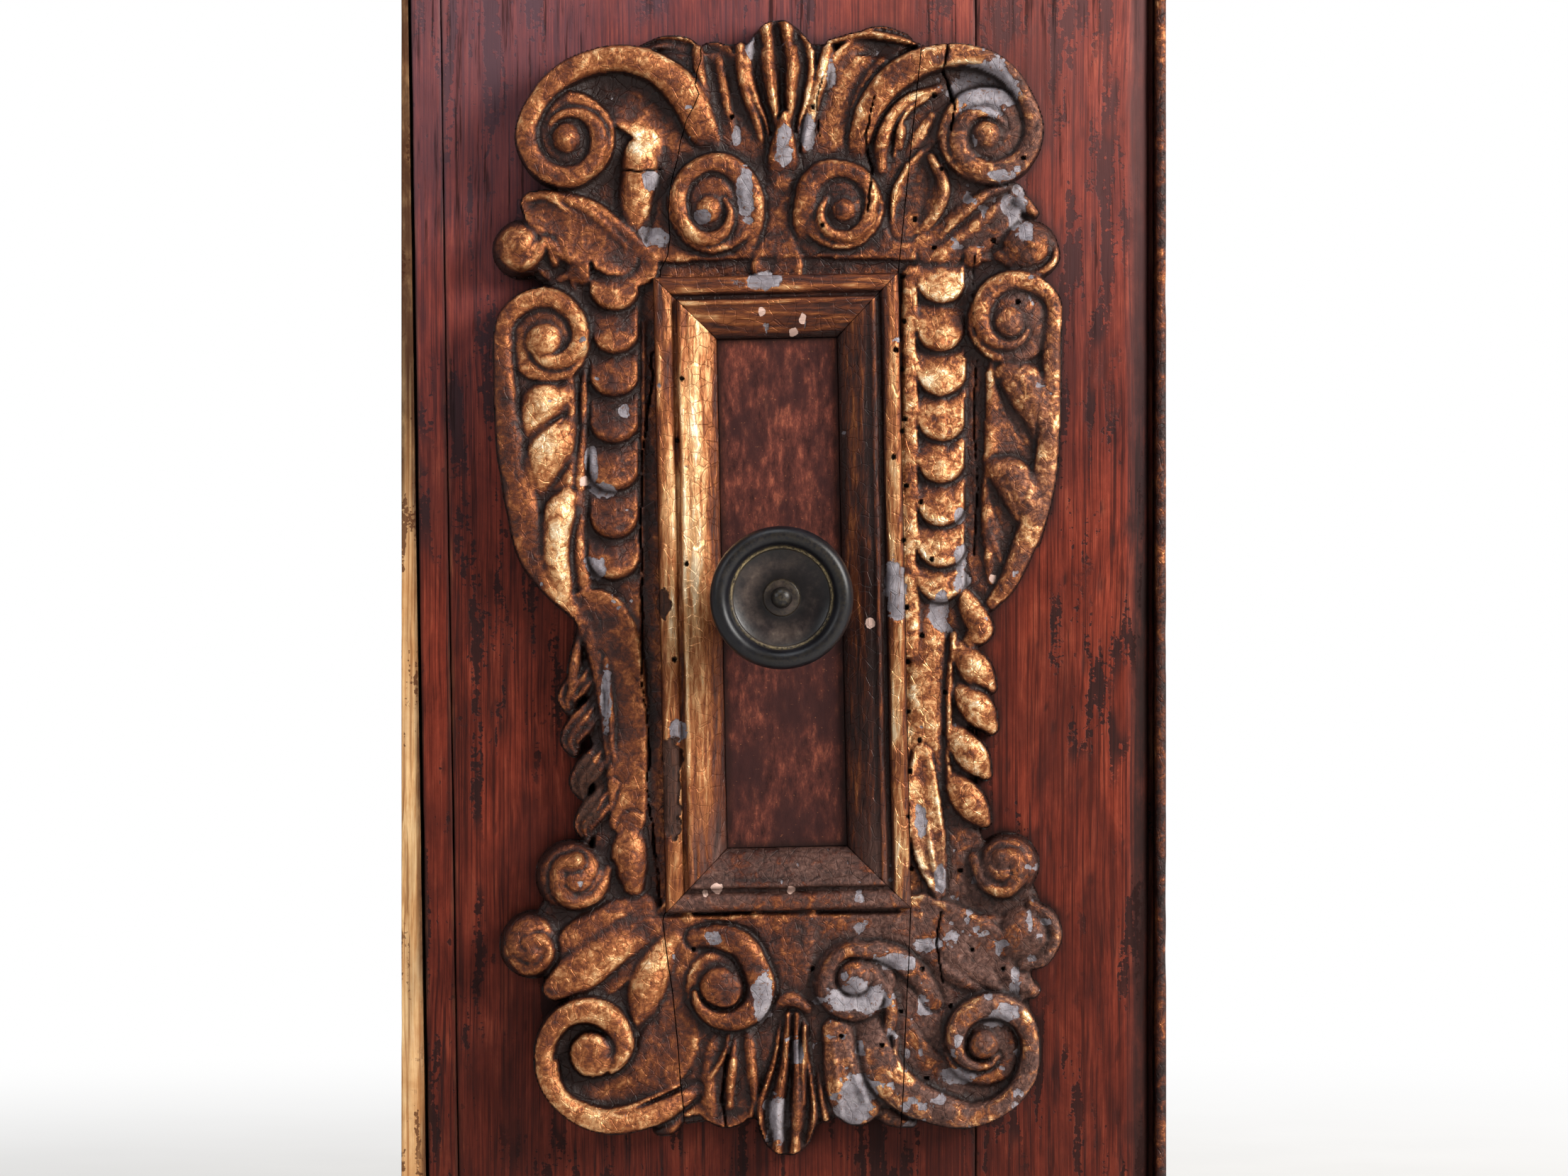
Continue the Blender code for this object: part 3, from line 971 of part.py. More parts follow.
def relax_outline(bm, rounds=3):
    """Smooth the stepped outline of a grid."""
    for _ in range(rounds):
        moved = {}
        for v in bm.verts:
            ends = [e.other_vert(v) for e in v.link_edges if len(e.link_faces) == 1]
            if len(ends) == 2:
                moved[v] = (ends[0].co + ends[1].co) / 4 + v.co / 2
        for v, co in moved.items():
            v.co.x, v.co.z = co.x, co.z


clear_scene()
PARTS = make_collection("credenza")
CUTTERS = make_collection("cutters")
CUTTERS.hide_render = True
STAINED = make_material("stained_softwood", (0.20, 0.055, 0.030), 0.45)
INNER = make_material("inner_softwood", (0.26, 0.13, 0.06), 0.7)
RAW = make_material("raw_softwood", (0.62, 0.42, 0.20), 0.65)
GILT = make_material("giltwood", (0.55, 0.30, 0.08), 0.40, 0.4)
PAINT = make_material("painted_wood", (0.12, 0.045, 0.030), 0.5)
BRONZE = make_material("dark_bronze", (0.035, 0.032, 0.030), 0.35, 0.9)
IRON = make_material("wrought_iron", (0.06, 0.055, 0.05), 0.55, 0.9)
DOOR = make_empty("door_pivot", PIVOT)
TURN = make_empty("knob_axis", KNOB, DOOR)
build_carcass()
build_front_strips()
build_top()
build_plinth()
build_feet()
build_shelf()
build_door()
build_pivots()
build_frame()
build_carving()
build_knob()
build_latch()
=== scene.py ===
"""Looks of a narrow credenza: carved and gilded cartouche on a stained plank door, worn by age."""

import math

import bmesh
import bpy
import numpy as np
from mathutils import Matrix, Vector


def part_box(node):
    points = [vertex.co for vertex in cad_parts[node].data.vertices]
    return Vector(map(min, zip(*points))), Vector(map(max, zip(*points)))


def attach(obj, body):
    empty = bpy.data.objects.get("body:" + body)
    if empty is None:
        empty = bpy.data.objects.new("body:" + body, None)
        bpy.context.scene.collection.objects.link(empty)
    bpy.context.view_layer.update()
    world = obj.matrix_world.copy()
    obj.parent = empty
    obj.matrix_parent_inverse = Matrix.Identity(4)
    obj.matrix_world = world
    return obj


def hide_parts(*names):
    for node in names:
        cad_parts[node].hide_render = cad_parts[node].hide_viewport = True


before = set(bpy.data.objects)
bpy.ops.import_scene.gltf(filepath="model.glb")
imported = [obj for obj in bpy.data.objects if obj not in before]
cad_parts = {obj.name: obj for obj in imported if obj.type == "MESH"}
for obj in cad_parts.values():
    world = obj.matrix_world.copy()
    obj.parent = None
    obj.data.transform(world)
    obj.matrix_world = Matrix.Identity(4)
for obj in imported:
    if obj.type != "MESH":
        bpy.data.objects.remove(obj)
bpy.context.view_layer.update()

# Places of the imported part, metres
MM = 0.001
GAP = 0.0003
FRONT, BACK = -0.135, 0.185
HALF_WIDTH = 0.162
DOOR_BOTTOM, DOOR_TOP, DOOR_MIDDLE = 0.1325, 0.7525, 0.4425
DOOR_BACK, BATTEN_BACK = FRONT + 0.020, -0.0987
STRIP_WIDTH, PLANK_JOINT, HINGE_EDGE = 0.0125, 0.081, 0.155
SLIP_FOOT, SLIP_HEAD, SLIP_GAP = 0.0113, 0.0018, 0.0012
PIVOT, PIVOT_BORE, PIVOT_DEPTH = (0.145, -0.125), 0.0038, 0.0606
KNOB = Vector((-0.001, FRONT, 0.4385))
KNOB_RADIUS, KNOB_REACH, KNOB_BASE = 0.0297, 0.050, 0.0056
SPINDLE_BORE, SPINDLE_DEPTH = 0.0053, 0.06
FOOT_RADIUS, FOOT_HEIGHT = 0.024, 0.050
FOOT_SIDE, FOOT_FRONT, FOOT_BACK = 0.138, -0.111, 0.161
CORNICE_HEIGHT, CORNICE_REACH, CORNICE_AT = 0.030, 0.016, 0.765
PLINTH_HEIGHT, PLINTH_REACH, PLINTH_AT = 0.060, 0.012, 0.0503

# The frame of the cartouche, millimetres from the middle of the door
TILT = math.radians(1.15)
FRAME_AT = (-0.8, -2.0)
FIELD = (25.5, 107.5)
MOULDING = 26.0
PANEL_TOP = 5.0

# Grid of the carving and the joints between its boards, millimetres
STEP = 0.65
LOW, HIGH = (-128.0, -246.0), (124.0, 250.0)
BOARD_GAP = 0.22


def lattice(i, j, seed):
    """A fixed number from 0 to 1 for each whole place."""
    n = (i * 374761393 + j * 668265263 + seed * 974634777) & 0xFFFFFFFF
    n = ((n ^ (n >> 13)) * 1274126177) & 0xFFFFFFFF
    return ((n ^ (n >> 16)) & 0xFFFF) / 65535.0


def value_noise(x, y, seed):
    i, j = np.floor(x).astype(np.int64), np.floor(y).astype(np.int64)
    fx, fy = x - i, y - j
    sx, sy = fx * fx * (3 - 2 * fx), fy * fy * (3 - 2 * fy)
    low = lattice(i, j, seed) * (1 - sx) + lattice(i + 1, j, seed) * sx
    high = lattice(i, j + 1, seed) * (1 - sx) + lattice(i + 1, j + 1, seed) * sx
    return low * (1 - sy) + high * sy


def noise(x, y, size, seed, octaves=3):
    """Smooth noise from -1 to 1 with forms about `size` across."""
    x, y = np.asarray(x, float) / size, np.asarray(y, float) / size
    total, weight = 0.0, 0.0
    for k in range(octaves):
        total = total + 0.5**k * value_noise(x * 2**k + 17.3 * k, y * 2**k - 9.1 * k, seed + k)
        weight += 0.5**k
    return 2 * total / weight - 1


def share(x):
    """Held between 0 and 1."""
    return np.clip(x, 0, 1)


def bell(x, middle, width):
    return np.exp(-(((x - middle) / width) ** 2))


def ease(x, low, high):
    """A smooth step from 0 at `low` to 1 at `high`."""
    t = share((np.asarray(x) - low) / (high - low))
    return t * t * (3 - 2 * t)


def blur(a, times):
    for _ in range(times):
        p = np.pad(a, 1, mode="edge")
        a = (p[:-2] + 2 * p[1:-1] + p[2:])[:, 1:-1] / 4
        p = np.pad(a, 1, mode="edge")
        a = (p[:, :-2] + 2 * p[:, 1:-1] + p[:, 2:])[1:-1] / 4
    return a


def tilted(u, v):
    """A point of the upright frame, where it stands on the door, in millimetres."""
    c, s = math.cos(TILT), math.sin(TILT)
    return FRAME_AT[0] + u * c - v * s, FRAME_AT[1] + u * s + v * c


def on_door(points):
    """Millimetre rows of place and height on the door's face, as metres."""
    u, v, h = np.asarray(points).T
    return np.column_stack([u * MM, FRONT - GAP - h * MM, DOOR_MIDDLE + v * MM])


# Strokes, and the sections they are carved with
def smooth_path(rows, per_span=8):
    """Rows along a smooth curve through the given rows."""
    p = np.asarray(rows, float)
    p = np.vstack([2 * p[0] - p[1], p, 2 * p[-1] - p[-2]])
    t = np.linspace(0, 1, per_span, endpoint=False)[:, None]
    spans = [
        0.5 * (2 * b + (c - a) * t + (2 * a - 5 * b + 4 * c - d) * t**2 + (3 * b - a - 3 * c + d) * t**3)
        for a, b, c, d in zip(p, p[1:], p[2:], p[3:])
    ]
    return np.vstack([*spans, p[-2:-1]])


def around(eye, rows):
    """Rows of a scroll given round its eye: angle in degrees, radius, half width, height."""
    turn = [(math.radians(a), *rest) for a, *rest in rows]
    return [(eye[0] + r * math.cos(a), eye[1] + r * math.sin(a), w, h) for a, r, w, h in turn]


def roll(s):
    """A rounded back."""
    return 0.62 + 0.38 * np.sqrt(share(1 - s**2))


def band(s):
    """A broad ribbon with rounded edges."""
    return 0.78 + 0.22 * np.sqrt(share(1 - np.abs(s) ** 2.8))


def deep_left(s):
    """A hollow that is deep under its left edge and rises to the right."""
    return 0.60 + 0.40 * ((1 - s) / 2) ** 1.3


def deep_right(s):
    """The same hollow, deep under its right edge."""
    return deep_left(-s)


def lip(s, start):
    """How far a form has rounded over towards its edge."""
    return share((np.abs(s) - start) / (1 - start)) ** 2


def cove(s):
    """A hollow between raised edges."""
    return 0.66 + 0.34 * s**2 - 0.30 * lip(s, 0.86)


def blade(s):
    """A leaf, hollowed each side of its rib."""
    return 0.84 + 0.16 * bell(s, 0, 0.2) + 0.12 * (s**2 - 0.5) - 0.28 * lip(s, 0.7)


def plate(s):
    """A broad leaf, a little dished."""
    return 0.90 + 0.10 * s**2 - 0.16 * lip(s, 0.8)


def flutes(s):
    """Three flutes side by side."""
    return 0.84 + 0.14 * np.cos(3 * math.pi * (s + 1)) - 0.28 * lip(s, 0.8)


HOLLOW = (deep_left, deep_right, cove, blade, plate, flutes)


class Relief:
    """A height field, in millimetres, that forms are carved on, with the distance inside its outline."""

    def __init__(self):
        self.u = np.arange(LOW[0], HIGH[0] + STEP / 2, STEP)
        self.v = np.arange(LOW[1], HIGH[1] + STEP / 2, STEP)
        self.vv, self.uu = np.meshgrid(self.v, self.u, indexing="ij")
        self.wu = self.uu + 0.55 * noise(self.uu, self.vv, 15, 3, 2)
        self.wv = self.vv + 0.55 * noise(self.uu, self.vv, 15, 8, 2)
        self.h = np.zeros(self.uu.shape)
        self.edge = np.full(self.uu.shape, -5.0)

    def window(self, low, high):
        """The part of the grid round a box, with the uneven places of its points."""
        i0, i1 = np.searchsorted(self.u, (low[0] - 1, high[0] + 1))
        j0, j1 = np.searchsorted(self.v, (low[1] - 1, high[1] + 1))
        pick = slice(j0, j1), slice(i0, i1)
        return pick, self.wu[pick], self.wv[pick]

    def join(self, pick, top, depth, fillet):
        """Raise a new form out of what is there, with a small fillet between them."""
        old = self.h[pick]
        mix = share(0.5 + 0.5 * (top - old) / fillet)
        joined = old + (top - old) * mix + 0.5 * fillet * mix * (1 - mix)
        self.h[pick] = np.where(depth > 0, np.where(old > 0, joined, top), old)
        self.edge[pick] = np.maximum(self.edge[pick], depth)

    def average(self, times):
        """The mean height round each point, over the board alone."""
        solid = self.h > 0
        return blur(np.where(solid, self.h, 0), times) / np.maximum(blur(solid.astype(float), times), 1e-6)

    def settle(self):
        """Close the deepest gaps between forms and soften what the tool left."""
        least, fillet = 0.84, 1.5
        solid = self.h > 0
        floor = least * self.average(160) * share(self.edge / 3)
        lift = share(0.5 + 0.5 * (floor - self.h) / fillet)
        self.h = self.h + (floor - self.h) * lift + 0.5 * fillet * lift * (1 - lift)
        self.h = np.where(solid, self.average(1), 0)

    def stroke(self, rows, profile=roll, fillet=1.5, cut=0.0, reach=2.0):
        """A form along a curve: each row is u, v, half width, height. Its outline can be cut in."""
        path = smooth_path(rows)
        margin = path[:, 2].max() + reach + 2
        low, high = path[:, :2].min(axis=0) - margin, path[:, :2].max(axis=0) + margin
        pick, uu, vv = self.window(low, high)
        near = np.full(uu.shape, 1e9)
        side, tall, half = np.zeros(uu.shape), np.zeros(uu.shape), np.ones(uu.shape)
        for a, b in zip(path, path[1:]):
            du, dv = b[:2] - a[:2]
            pu, pv = uu - a[0], vv - a[1]
            t = share((pu * du + pv * dv) / max(du * du + dv * dv, 1e-9))
            w = np.maximum(a[2] + t * (b[2] - a[2]), 0.2)
            d = np.hypot(pu - t * du, pv - t * dv) / w
            closer = d < near
            near = np.where(closer, d, near)
            aside = (du * pv - dv * pu) / max(math.hypot(du, dv), 1e-9) / w
            side = np.where(closer, aside if profile in HOLLOW else d * np.sign(aside), side)
            tall = np.where(closer, a[3] + t * (b[3] - a[3]), tall)
            half = np.where(closer, w, half)
        if cut:
            fade = share(1 - (near - 1) * half / reach) * (near >= 1)
            old = self.h[pick]
            self.h[pick] = np.where(old > 0, np.maximum(old - cut * fade, np.minimum(old, 6)), old)
        self.join(pick, profile(np.clip(side, -1, 1)) * tall, (1 - near) * half, fillet)

    def dome(self, u, v, radius, tall, base):
        """A round boss."""
        pick, uu, vv = self.window((u - radius - 2, v - radius - 2), (u + radius + 2, v + radius + 2))
        d = np.hypot(uu - u, vv - v)
        top = base + (tall - base) * np.sqrt(share(1 - (d / radius) ** 2))
        self.join(pick, top, radius - d, 1.0)

    def husk(self, u, v, w, pitch):
        """One overlapping scale: it rises from under the one above to a rounded lip at its foot."""
        pick, uu, vv = self.window((u - w, v - 0.5), (u + w, v + pitch + 9))
        x = (uu - u) / w
        round_foot = 1 - np.sqrt(share(1 - x**2))
        up = (vv - v - 0.85 * w * round_foot) / pitch
        inside = (np.abs(x) < 1) & (up > 0) & (vv < v + pitch + 8)
        foot = 1 - (1 - share(up / 0.17)) ** 2
        swell = 11.2 + 7.0 * share(1 - up / 1.2) ** 0.8
        top = swell * (0.64 + 0.36 * foot) - 2.4 * x**2 + 0.25 * bell(x, 0, 0.2)
        old = self.h[pick]
        self.h[pick] = np.where(inside, np.where(up < 0.95, top, np.maximum(old, top)), old)

    def ground(self, rows, tall):
        """A flat board inside a closed smooth outline."""
        p = np.asarray(rows, float)
        q = smooth_path(np.vstack([p, p[:1]]), 5)
        inside = np.zeros(self.uu.shape, bool)
        away = np.full(self.uu.shape, 1e9)
        for a, b in zip(q, q[1:]):
            d = b - a
            pu, pv = self.wu - a[0], self.wv - a[1]
            t = share((pu * d[0] + pv * d[1]) / max(d @ d, 1e-9))
            away = np.minimum(away, (pu - t * d[0]) ** 2 + (pv - t * d[1]) ** 2)
            if a[1] != b[1]:
                crosses = (a[1] > self.wv) != (b[1] > self.wv)
                inside ^= crosses & (self.wu < a[0] + (self.wv - a[1]) * d[0] / d[1])
        away = np.sqrt(away) * np.where(inside, 1, -1)
        self.edge = np.maximum(self.edge, away)
        self.h = np.where(inside, np.maximum(self.h, tall), self.h)

    def groove(self, points, width, depth):
        """A crack: a sharp cut along a jagged line."""
        p = np.asarray(points, float)
        pick, _, _ = self.window(p.min(axis=0) - 4, p.max(axis=0) + 4)
        uu, vv = self.uu[pick], self.vv[pick]
        uu = uu + 0.5 * noise(uu, vv, 3.0, 21, 2)
        away = np.full(uu.shape, 1e9)
        for a, b in zip(p, p[1:]):
            d = b - a
            t = share(((uu - a[0]) * d[0] + (vv - a[1]) * d[1]) / max(d @ d, 1e-9))
            away = np.minimum(away, np.hypot(uu - a[0] - t * d[0], vv - a[1] - t * d[1]))
        wide = width * (0.75 + 0.5 * noise(uu, vv, 9, 33, 1))
        fall = share(1 - away / wide)
        self.h[pick] = np.where(self.h[pick] > 0, np.maximum(self.h[pick] - depth * fall, 2.0), 0)
        return pick, fall


# The strokes of the cartouche, millimetres from the middle of the door
def carve_ground(r):
    """The board under the carving, thicker at its head and its foot."""
    right = [(60, 224), (92, 216), (104, 200), (101, 178), (92, 168), (108, 150), (104, 132), (110, 112),
             (112, 70)]
    right += [(107, 40), (96, 5), (82, -20), (82, -100), (98, -112), (110, -140), (103, -168), (104, -192)]
    foot = [(96, -212), (60, -220), (30, -221), (0, -230), (-16, -223)]
    left = [(-50, -226), (-88, -218), (-101, -200), (-92, -172), (-110, -156), (-96, -122), (-80, -108)]
    left += [(-84, -40), (-88, -8), (-107, 24), (-117, 74), (-116, 106), (-100, 124), (-116, 140),
             (-106, 160)]
    head = [(-96, 172), (-108, 192), (-96, 212), (-60, 226), (-20, 229), (20, 229)]
    r.ground(right + foot + left + head, 10.5)
    low = [(-88, -140), (-84, -172), (-96, -200), (-84, -214), (-46, -222), (-16, -219), (0, -226),
           (30, -217), (60, -216)]
    r.ground(low + [(92, -208), (100, -192), (98, -170), (104, -146), (90, -138), (0, -137)], 13.5)
    high = [(-98, 142), (-90, 170), (-102, 192), (-92, 208), (-60, 222), (-20, 225), (20, 225), (58, 220),
            (88, 212)]
    r.ground(high + [(99, 200), (96, 180), (88, 168), (100, 150), (94, 138), (0, 139), (-90, 136)], 13)


def carve_crest(r):
    """A fluted plume between broad hollow leaves, and a bud at each side."""
    r.stroke([(-60, 226, 3, 11), (-50, 228.5, 4.2, 13), (-42, 227, 5, 14.5), (-37, 222, 5, 15)], cove)
    r.stroke([(-17, 181, 9, 14), (-22, 196, 12.5, 16.5), (-26, 209, 13.5, 18), (-30, 219, 11, 16.5)], cove)
    r.stroke([(-26, 184, 2.4, 13), (-32, 202, 3, 16.5), (-35.5, 215, 3.2, 18), (-36.5, 226, 2.6, 16)],
             roll, 5)
    r.stroke([(-20, 188, 2, 12), (-24.5, 206, 2.6, 14.5), (-27.5, 221, 2.4, 15)], roll, 6)
    r.stroke([(18, 181, 9, 14), (21, 196, 11.5, 16.5), (27, 211, 13.5, 17.5), (38, 225, 11, 16),
              (50, 229, 5, 13.5)], cove)
    r.stroke([(27, 194, 2, 13), (33, 210, 2.6, 15), (42, 221.5, 2.6, 15)], roll, 6)
    r.stroke([(19, 229.5, 1.4, 16.5), (33, 232.5, 1.8, 17), (46, 231, 1.8, 16.5), (59, 227.6, 1.4, 13)],
             roll, 2)
    r.stroke([(8, 184, 2, 15), (11, 200, 3, 18), (15, 214, 3.4, 19.5), (18.6, 226, 2.8, 17.5)], roll, 4)
    r.stroke([(-9, 189, 2, 15), (-13.4, 203, 3, 18), (-17, 216, 3.2, 19.5), (-18, 227, 2.8, 17.5)], roll, 4)
    r.stroke([(0, 184, 5.6, 16), (-0.6, 198, 8.4, 19), (-1.2, 210, 12.4, 21.5), (-1.6, 220, 15, 21),
              (-2.2, 226, 12.6, 18.5)], flutes, 1, 1.2)
    r.stroke([(0, 199, 1.2, 20), (0, 190, 4.2, 19.5), (-0.4, 180, 6.6, 17.6), (-0.6, 174, 7.4, 15)],
             band, 1, 1.2)
    r.stroke([(-3, 137, 11, 13.5), (-3, 150, 9, 14), (-2.4, 164, 7, 15)], plate, 4)
    r.stroke([(-65, 144, 5, 12), (-63, 157, 7.2, 16), (-61, 171, 7.9, 19), (-60.4, 182, 7.6, 19.5),
              (-60.3, 188, 3.6, 16.5)], roll, 1, 2)
    r.stroke([(50, 151, 5, 14), (54, 160, 9.5, 17), (58, 171, 9.5, 18), (61, 179, 6, 17)], cove, 1, 1)
    r.stroke([(58, 149, 1.8, 13), (65, 159, 2.6, 18), (67, 170, 2.8, 19), (62, 181, 2.2, 17.5)], roll, 2)
    r.stroke([(45.6, 154, 1.2, 14), (46.6, 166, 1.7, 16.5), (52, 178, 1.6, 17)], roll, 2)


def carve_upper_volutes(r):
    """Two large C-scrolls with hollow backs, and two small volutes between them."""
    r.stroke([(-100, 203, 4, 15), (-86, 208, 9, 16), (-71, 207, 12, 17), (-57, 200, 12.5, 17),
              (-49, 189, 9, 16.5), (-47, 179, 5, 14)], deep_left)
    r.dome(-91, 188.5, 20, 20.4, 18.6)
    lead = [(-29, 182, 2.6, 12), (-34, 192, 6.2, 17), (-39, 203, 7.2, 20), (-45.5, 212, 7.2, 21.5),
            (-56, 219.3, 6.4, 22.5), (-68, 222.4, 5.9, 23), (-80, 220.9, 5.6, 23), (-91, 216.4, 5.4, 23),
            (-100.3, 208.4, 5.2, 23), (-106, 198.6, 5, 23)]
    turn = [(180, 17, 5, 23), (215, 16.6, 5, 22.8), (250, 16.2, 4.9, 22.6), (285, 15.7, 4.8, 22.6),
            (320, 14.7, 4.6, 22.6), (355, 13.5, 4.3, 22.6), (390, 12.4, 3.7, 22.4), (420, 11.3, 2.8, 22),
            (450, 10.1, 2.3, 22), (485, 9.2, 1.7, 21.5), (520, 8.5, 1.2, 20)]
    r.stroke(lead + around((-91, 188.5), turn), band, 1, 1)
    r.dome(-91.2, 188.3, 7.3, 25, 15)
    r.stroke([(100, 200, 4, 14), (93, 209, 7, 15), (82, 213, 9, 15.5), (70, 210, 10.5, 16),
              (61, 202, 11, 16), (55, 189, 8, 14.5)], deep_right)
    r.dome(85, 190, 20, 20, 18)
    r.stroke([(41, 176, 3.4, 15), (41, 188, 4, 18), (45, 198, 3.8, 18.5), (53, 205.6, 3.2, 18),
              (65, 210, 2.2, 16)], roll, 3)
    r.stroke([(46.4, 182, 1, 15), (47.6, 192, 1.2, 16.5), (52, 200, 1.2, 17), (60, 206, 1, 16.5)], roll, 2)
    r.stroke([(48.4, 185, 1.6, 15), (49, 190.5, 2.4, 18), (49.6, 196, 1.4, 15.5)], roll, 1)
    r.stroke([(52, 182, 2.4, 13), (57, 190, 3.4, 15), (62, 198, 2.6, 14.5)], roll, 4)
    lead = [(29, 179, 3, 12), (32, 190, 5, 17), (36, 201, 5.7, 19.5), (43, 211, 6.1, 21),
            (53, 218.8, 6, 22), (65, 223, 5.4, 22.5), (77, 223.6, 4.8, 22.5), (88, 220, 4.4, 22.5),
            (97.2, 212.4, 4.2, 22.5), (102.8, 202.4, 4, 22.5)]
    turn = [(0, 19.6, 4.4, 22.4), (-35, 18.2, 4.9, 22.4), (-70, 16, 5, 22.4), (-105, 14.4, 4.8, 22.2),
            (-140, 13, 4.4, 22), (-175, 11.6, 4.1, 22), (-205, 10.6, 3.5, 22), (-235, 9.9, 2.9, 22),
            (-265, 9.2, 2.4, 22), (-300, 8.6, 1.8, 21.5), (-335, 8, 1.2, 20)]
    r.stroke(lead + around((85, 190), turn), band, 1, 1)
    r.dome(85, 190, 6.8, 24.5, 15)
    r.dome(-30, 160, 19, 18.6, 16.6)
    turn = [(-45, 20.5, 5, 14), (-20, 18, 5.6, 17.5), (10, 18, 5.8, 19.5), (40, 19, 5.4, 20),
            (68, 19.8, 4.8, 20.5), (95, 18.8, 4, 20.5), (122, 16.6, 3.9, 20.5), (150, 14, 3.8, 20.5),
            (180, 12.3, 3.6, 20.5), (215, 12.2, 3.5, 20.5), (250, 12.3, 3.3, 20.5), (285, 11.6, 2.9, 20.5),
            (320, 10.3, 2.4, 20.5), (355, 9, 1.8, 20.5), (390, 8, 1.2, 19)]
    r.stroke(around((-31.5, 158.8), turn), band, 1, 1)
    r.dome(-31.6, 158.6, 6.6, 22.5, 13.5)
    r.dome(24, 160, 18, 18.6, 16.6)
    turn = [(225, 19, 5, 14), (200, 16, 5.4, 17.5), (175, 15, 5.4, 19.5), (145, 16.6, 5.2, 20),
            (115, 17.4, 4.8, 20.5), (88, 16.6, 3.8, 20.5), (60, 16, 3.6, 20.5), (30, 14.2, 3.5, 20.5),
            (0, 12.4, 3.3, 20.5), (-35, 12, 3.2, 20.5), (-70, 11.8, 3.1, 20.5), (-105, 11.2, 2.8, 20.5),
            (-140, 10.2, 2.4, 20.5), (-175, 9, 2, 20.5), (-215, 8, 1.3, 19)]
    r.stroke(around((24.2, 158.8), turn), band, 1, 1)
    r.dome(25, 158.6, 6.3, 22.5, 13.5)


def carve_upper_flanks(r):
    """A cupped leaf and a ball scroll at each shoulder."""
    r.stroke([(-62, 136, 9, 14), (-75, 143.5, 13, 17), (-87, 150.5, 14, 18), (-98, 157, 10.5, 18),
              (-105, 161, 6, 16)], plate)
    r.stroke([(-66, 143.5, 1.8, 15), (-76, 153.5, 2.4, 17.5), (-87, 161, 2.6, 18), (-98, 165, 2.8, 18),
              (-107.5, 163.5, 2, 15)], roll, 3)
    r.stroke([(-101, 165, 1.4, 18.5), (-95, 161.6, 1.6, 18.5), (-89.6, 157.4, 1.2, 17)], roll, 2)
    r.dome(-110.6, 142.5, 12.6, 21, 6)
    r.stroke([(-118, 143, 1.6, 16), (-116, 138, 2.6, 19), (-110, 135.6, 3, 20), (-104.6, 139, 3, 20),
              (-100, 144.5, 3.2, 18.5), (-96, 138, 3.6, 15.5)], roll, 2, 1)
    r.dome(-110, 143.5, 4.6, 22, 16)
    r.dome(-85, 134, 8, 16.5, 8)
    r.stroke([(-96, 128, 3, 13), (-90, 131.5, 3, 14.5), (-88, 126, 2.4, 13)], roll, 2)
    r.stroke([(58, 136, 8, 13), (71, 145, 12, 16), (84, 155, 12.5, 17.5), (94, 164, 8, 16)], blade)
    r.stroke([(66, 148, 1.8, 14), (76, 158, 2.6, 17), (86, 166.5, 2.6, 17), (95, 169, 2, 15)], roll, 3)
    r.stroke([(93, 170, 2, 13), (100, 163, 3.4, 16), (105, 158, 2.6, 15)], roll, 2)
    r.dome(102.5, 142.8, 12.8, 21, 6)
    r.stroke([(113, 146, 1.8, 15), (114, 138, 2.4, 18), (107, 132.6, 2.6, 18.5), (98, 134, 3, 17.5),
              (91, 140, 3.4, 15.5)], roll, 2, 1)
    r.dome(104, 144.5, 5, 22.5, 16)
    r.dome(79, 140, 6.4, 15.5, 7)
    r.dome(66, 140.5, 6.4, 14.5, 7)


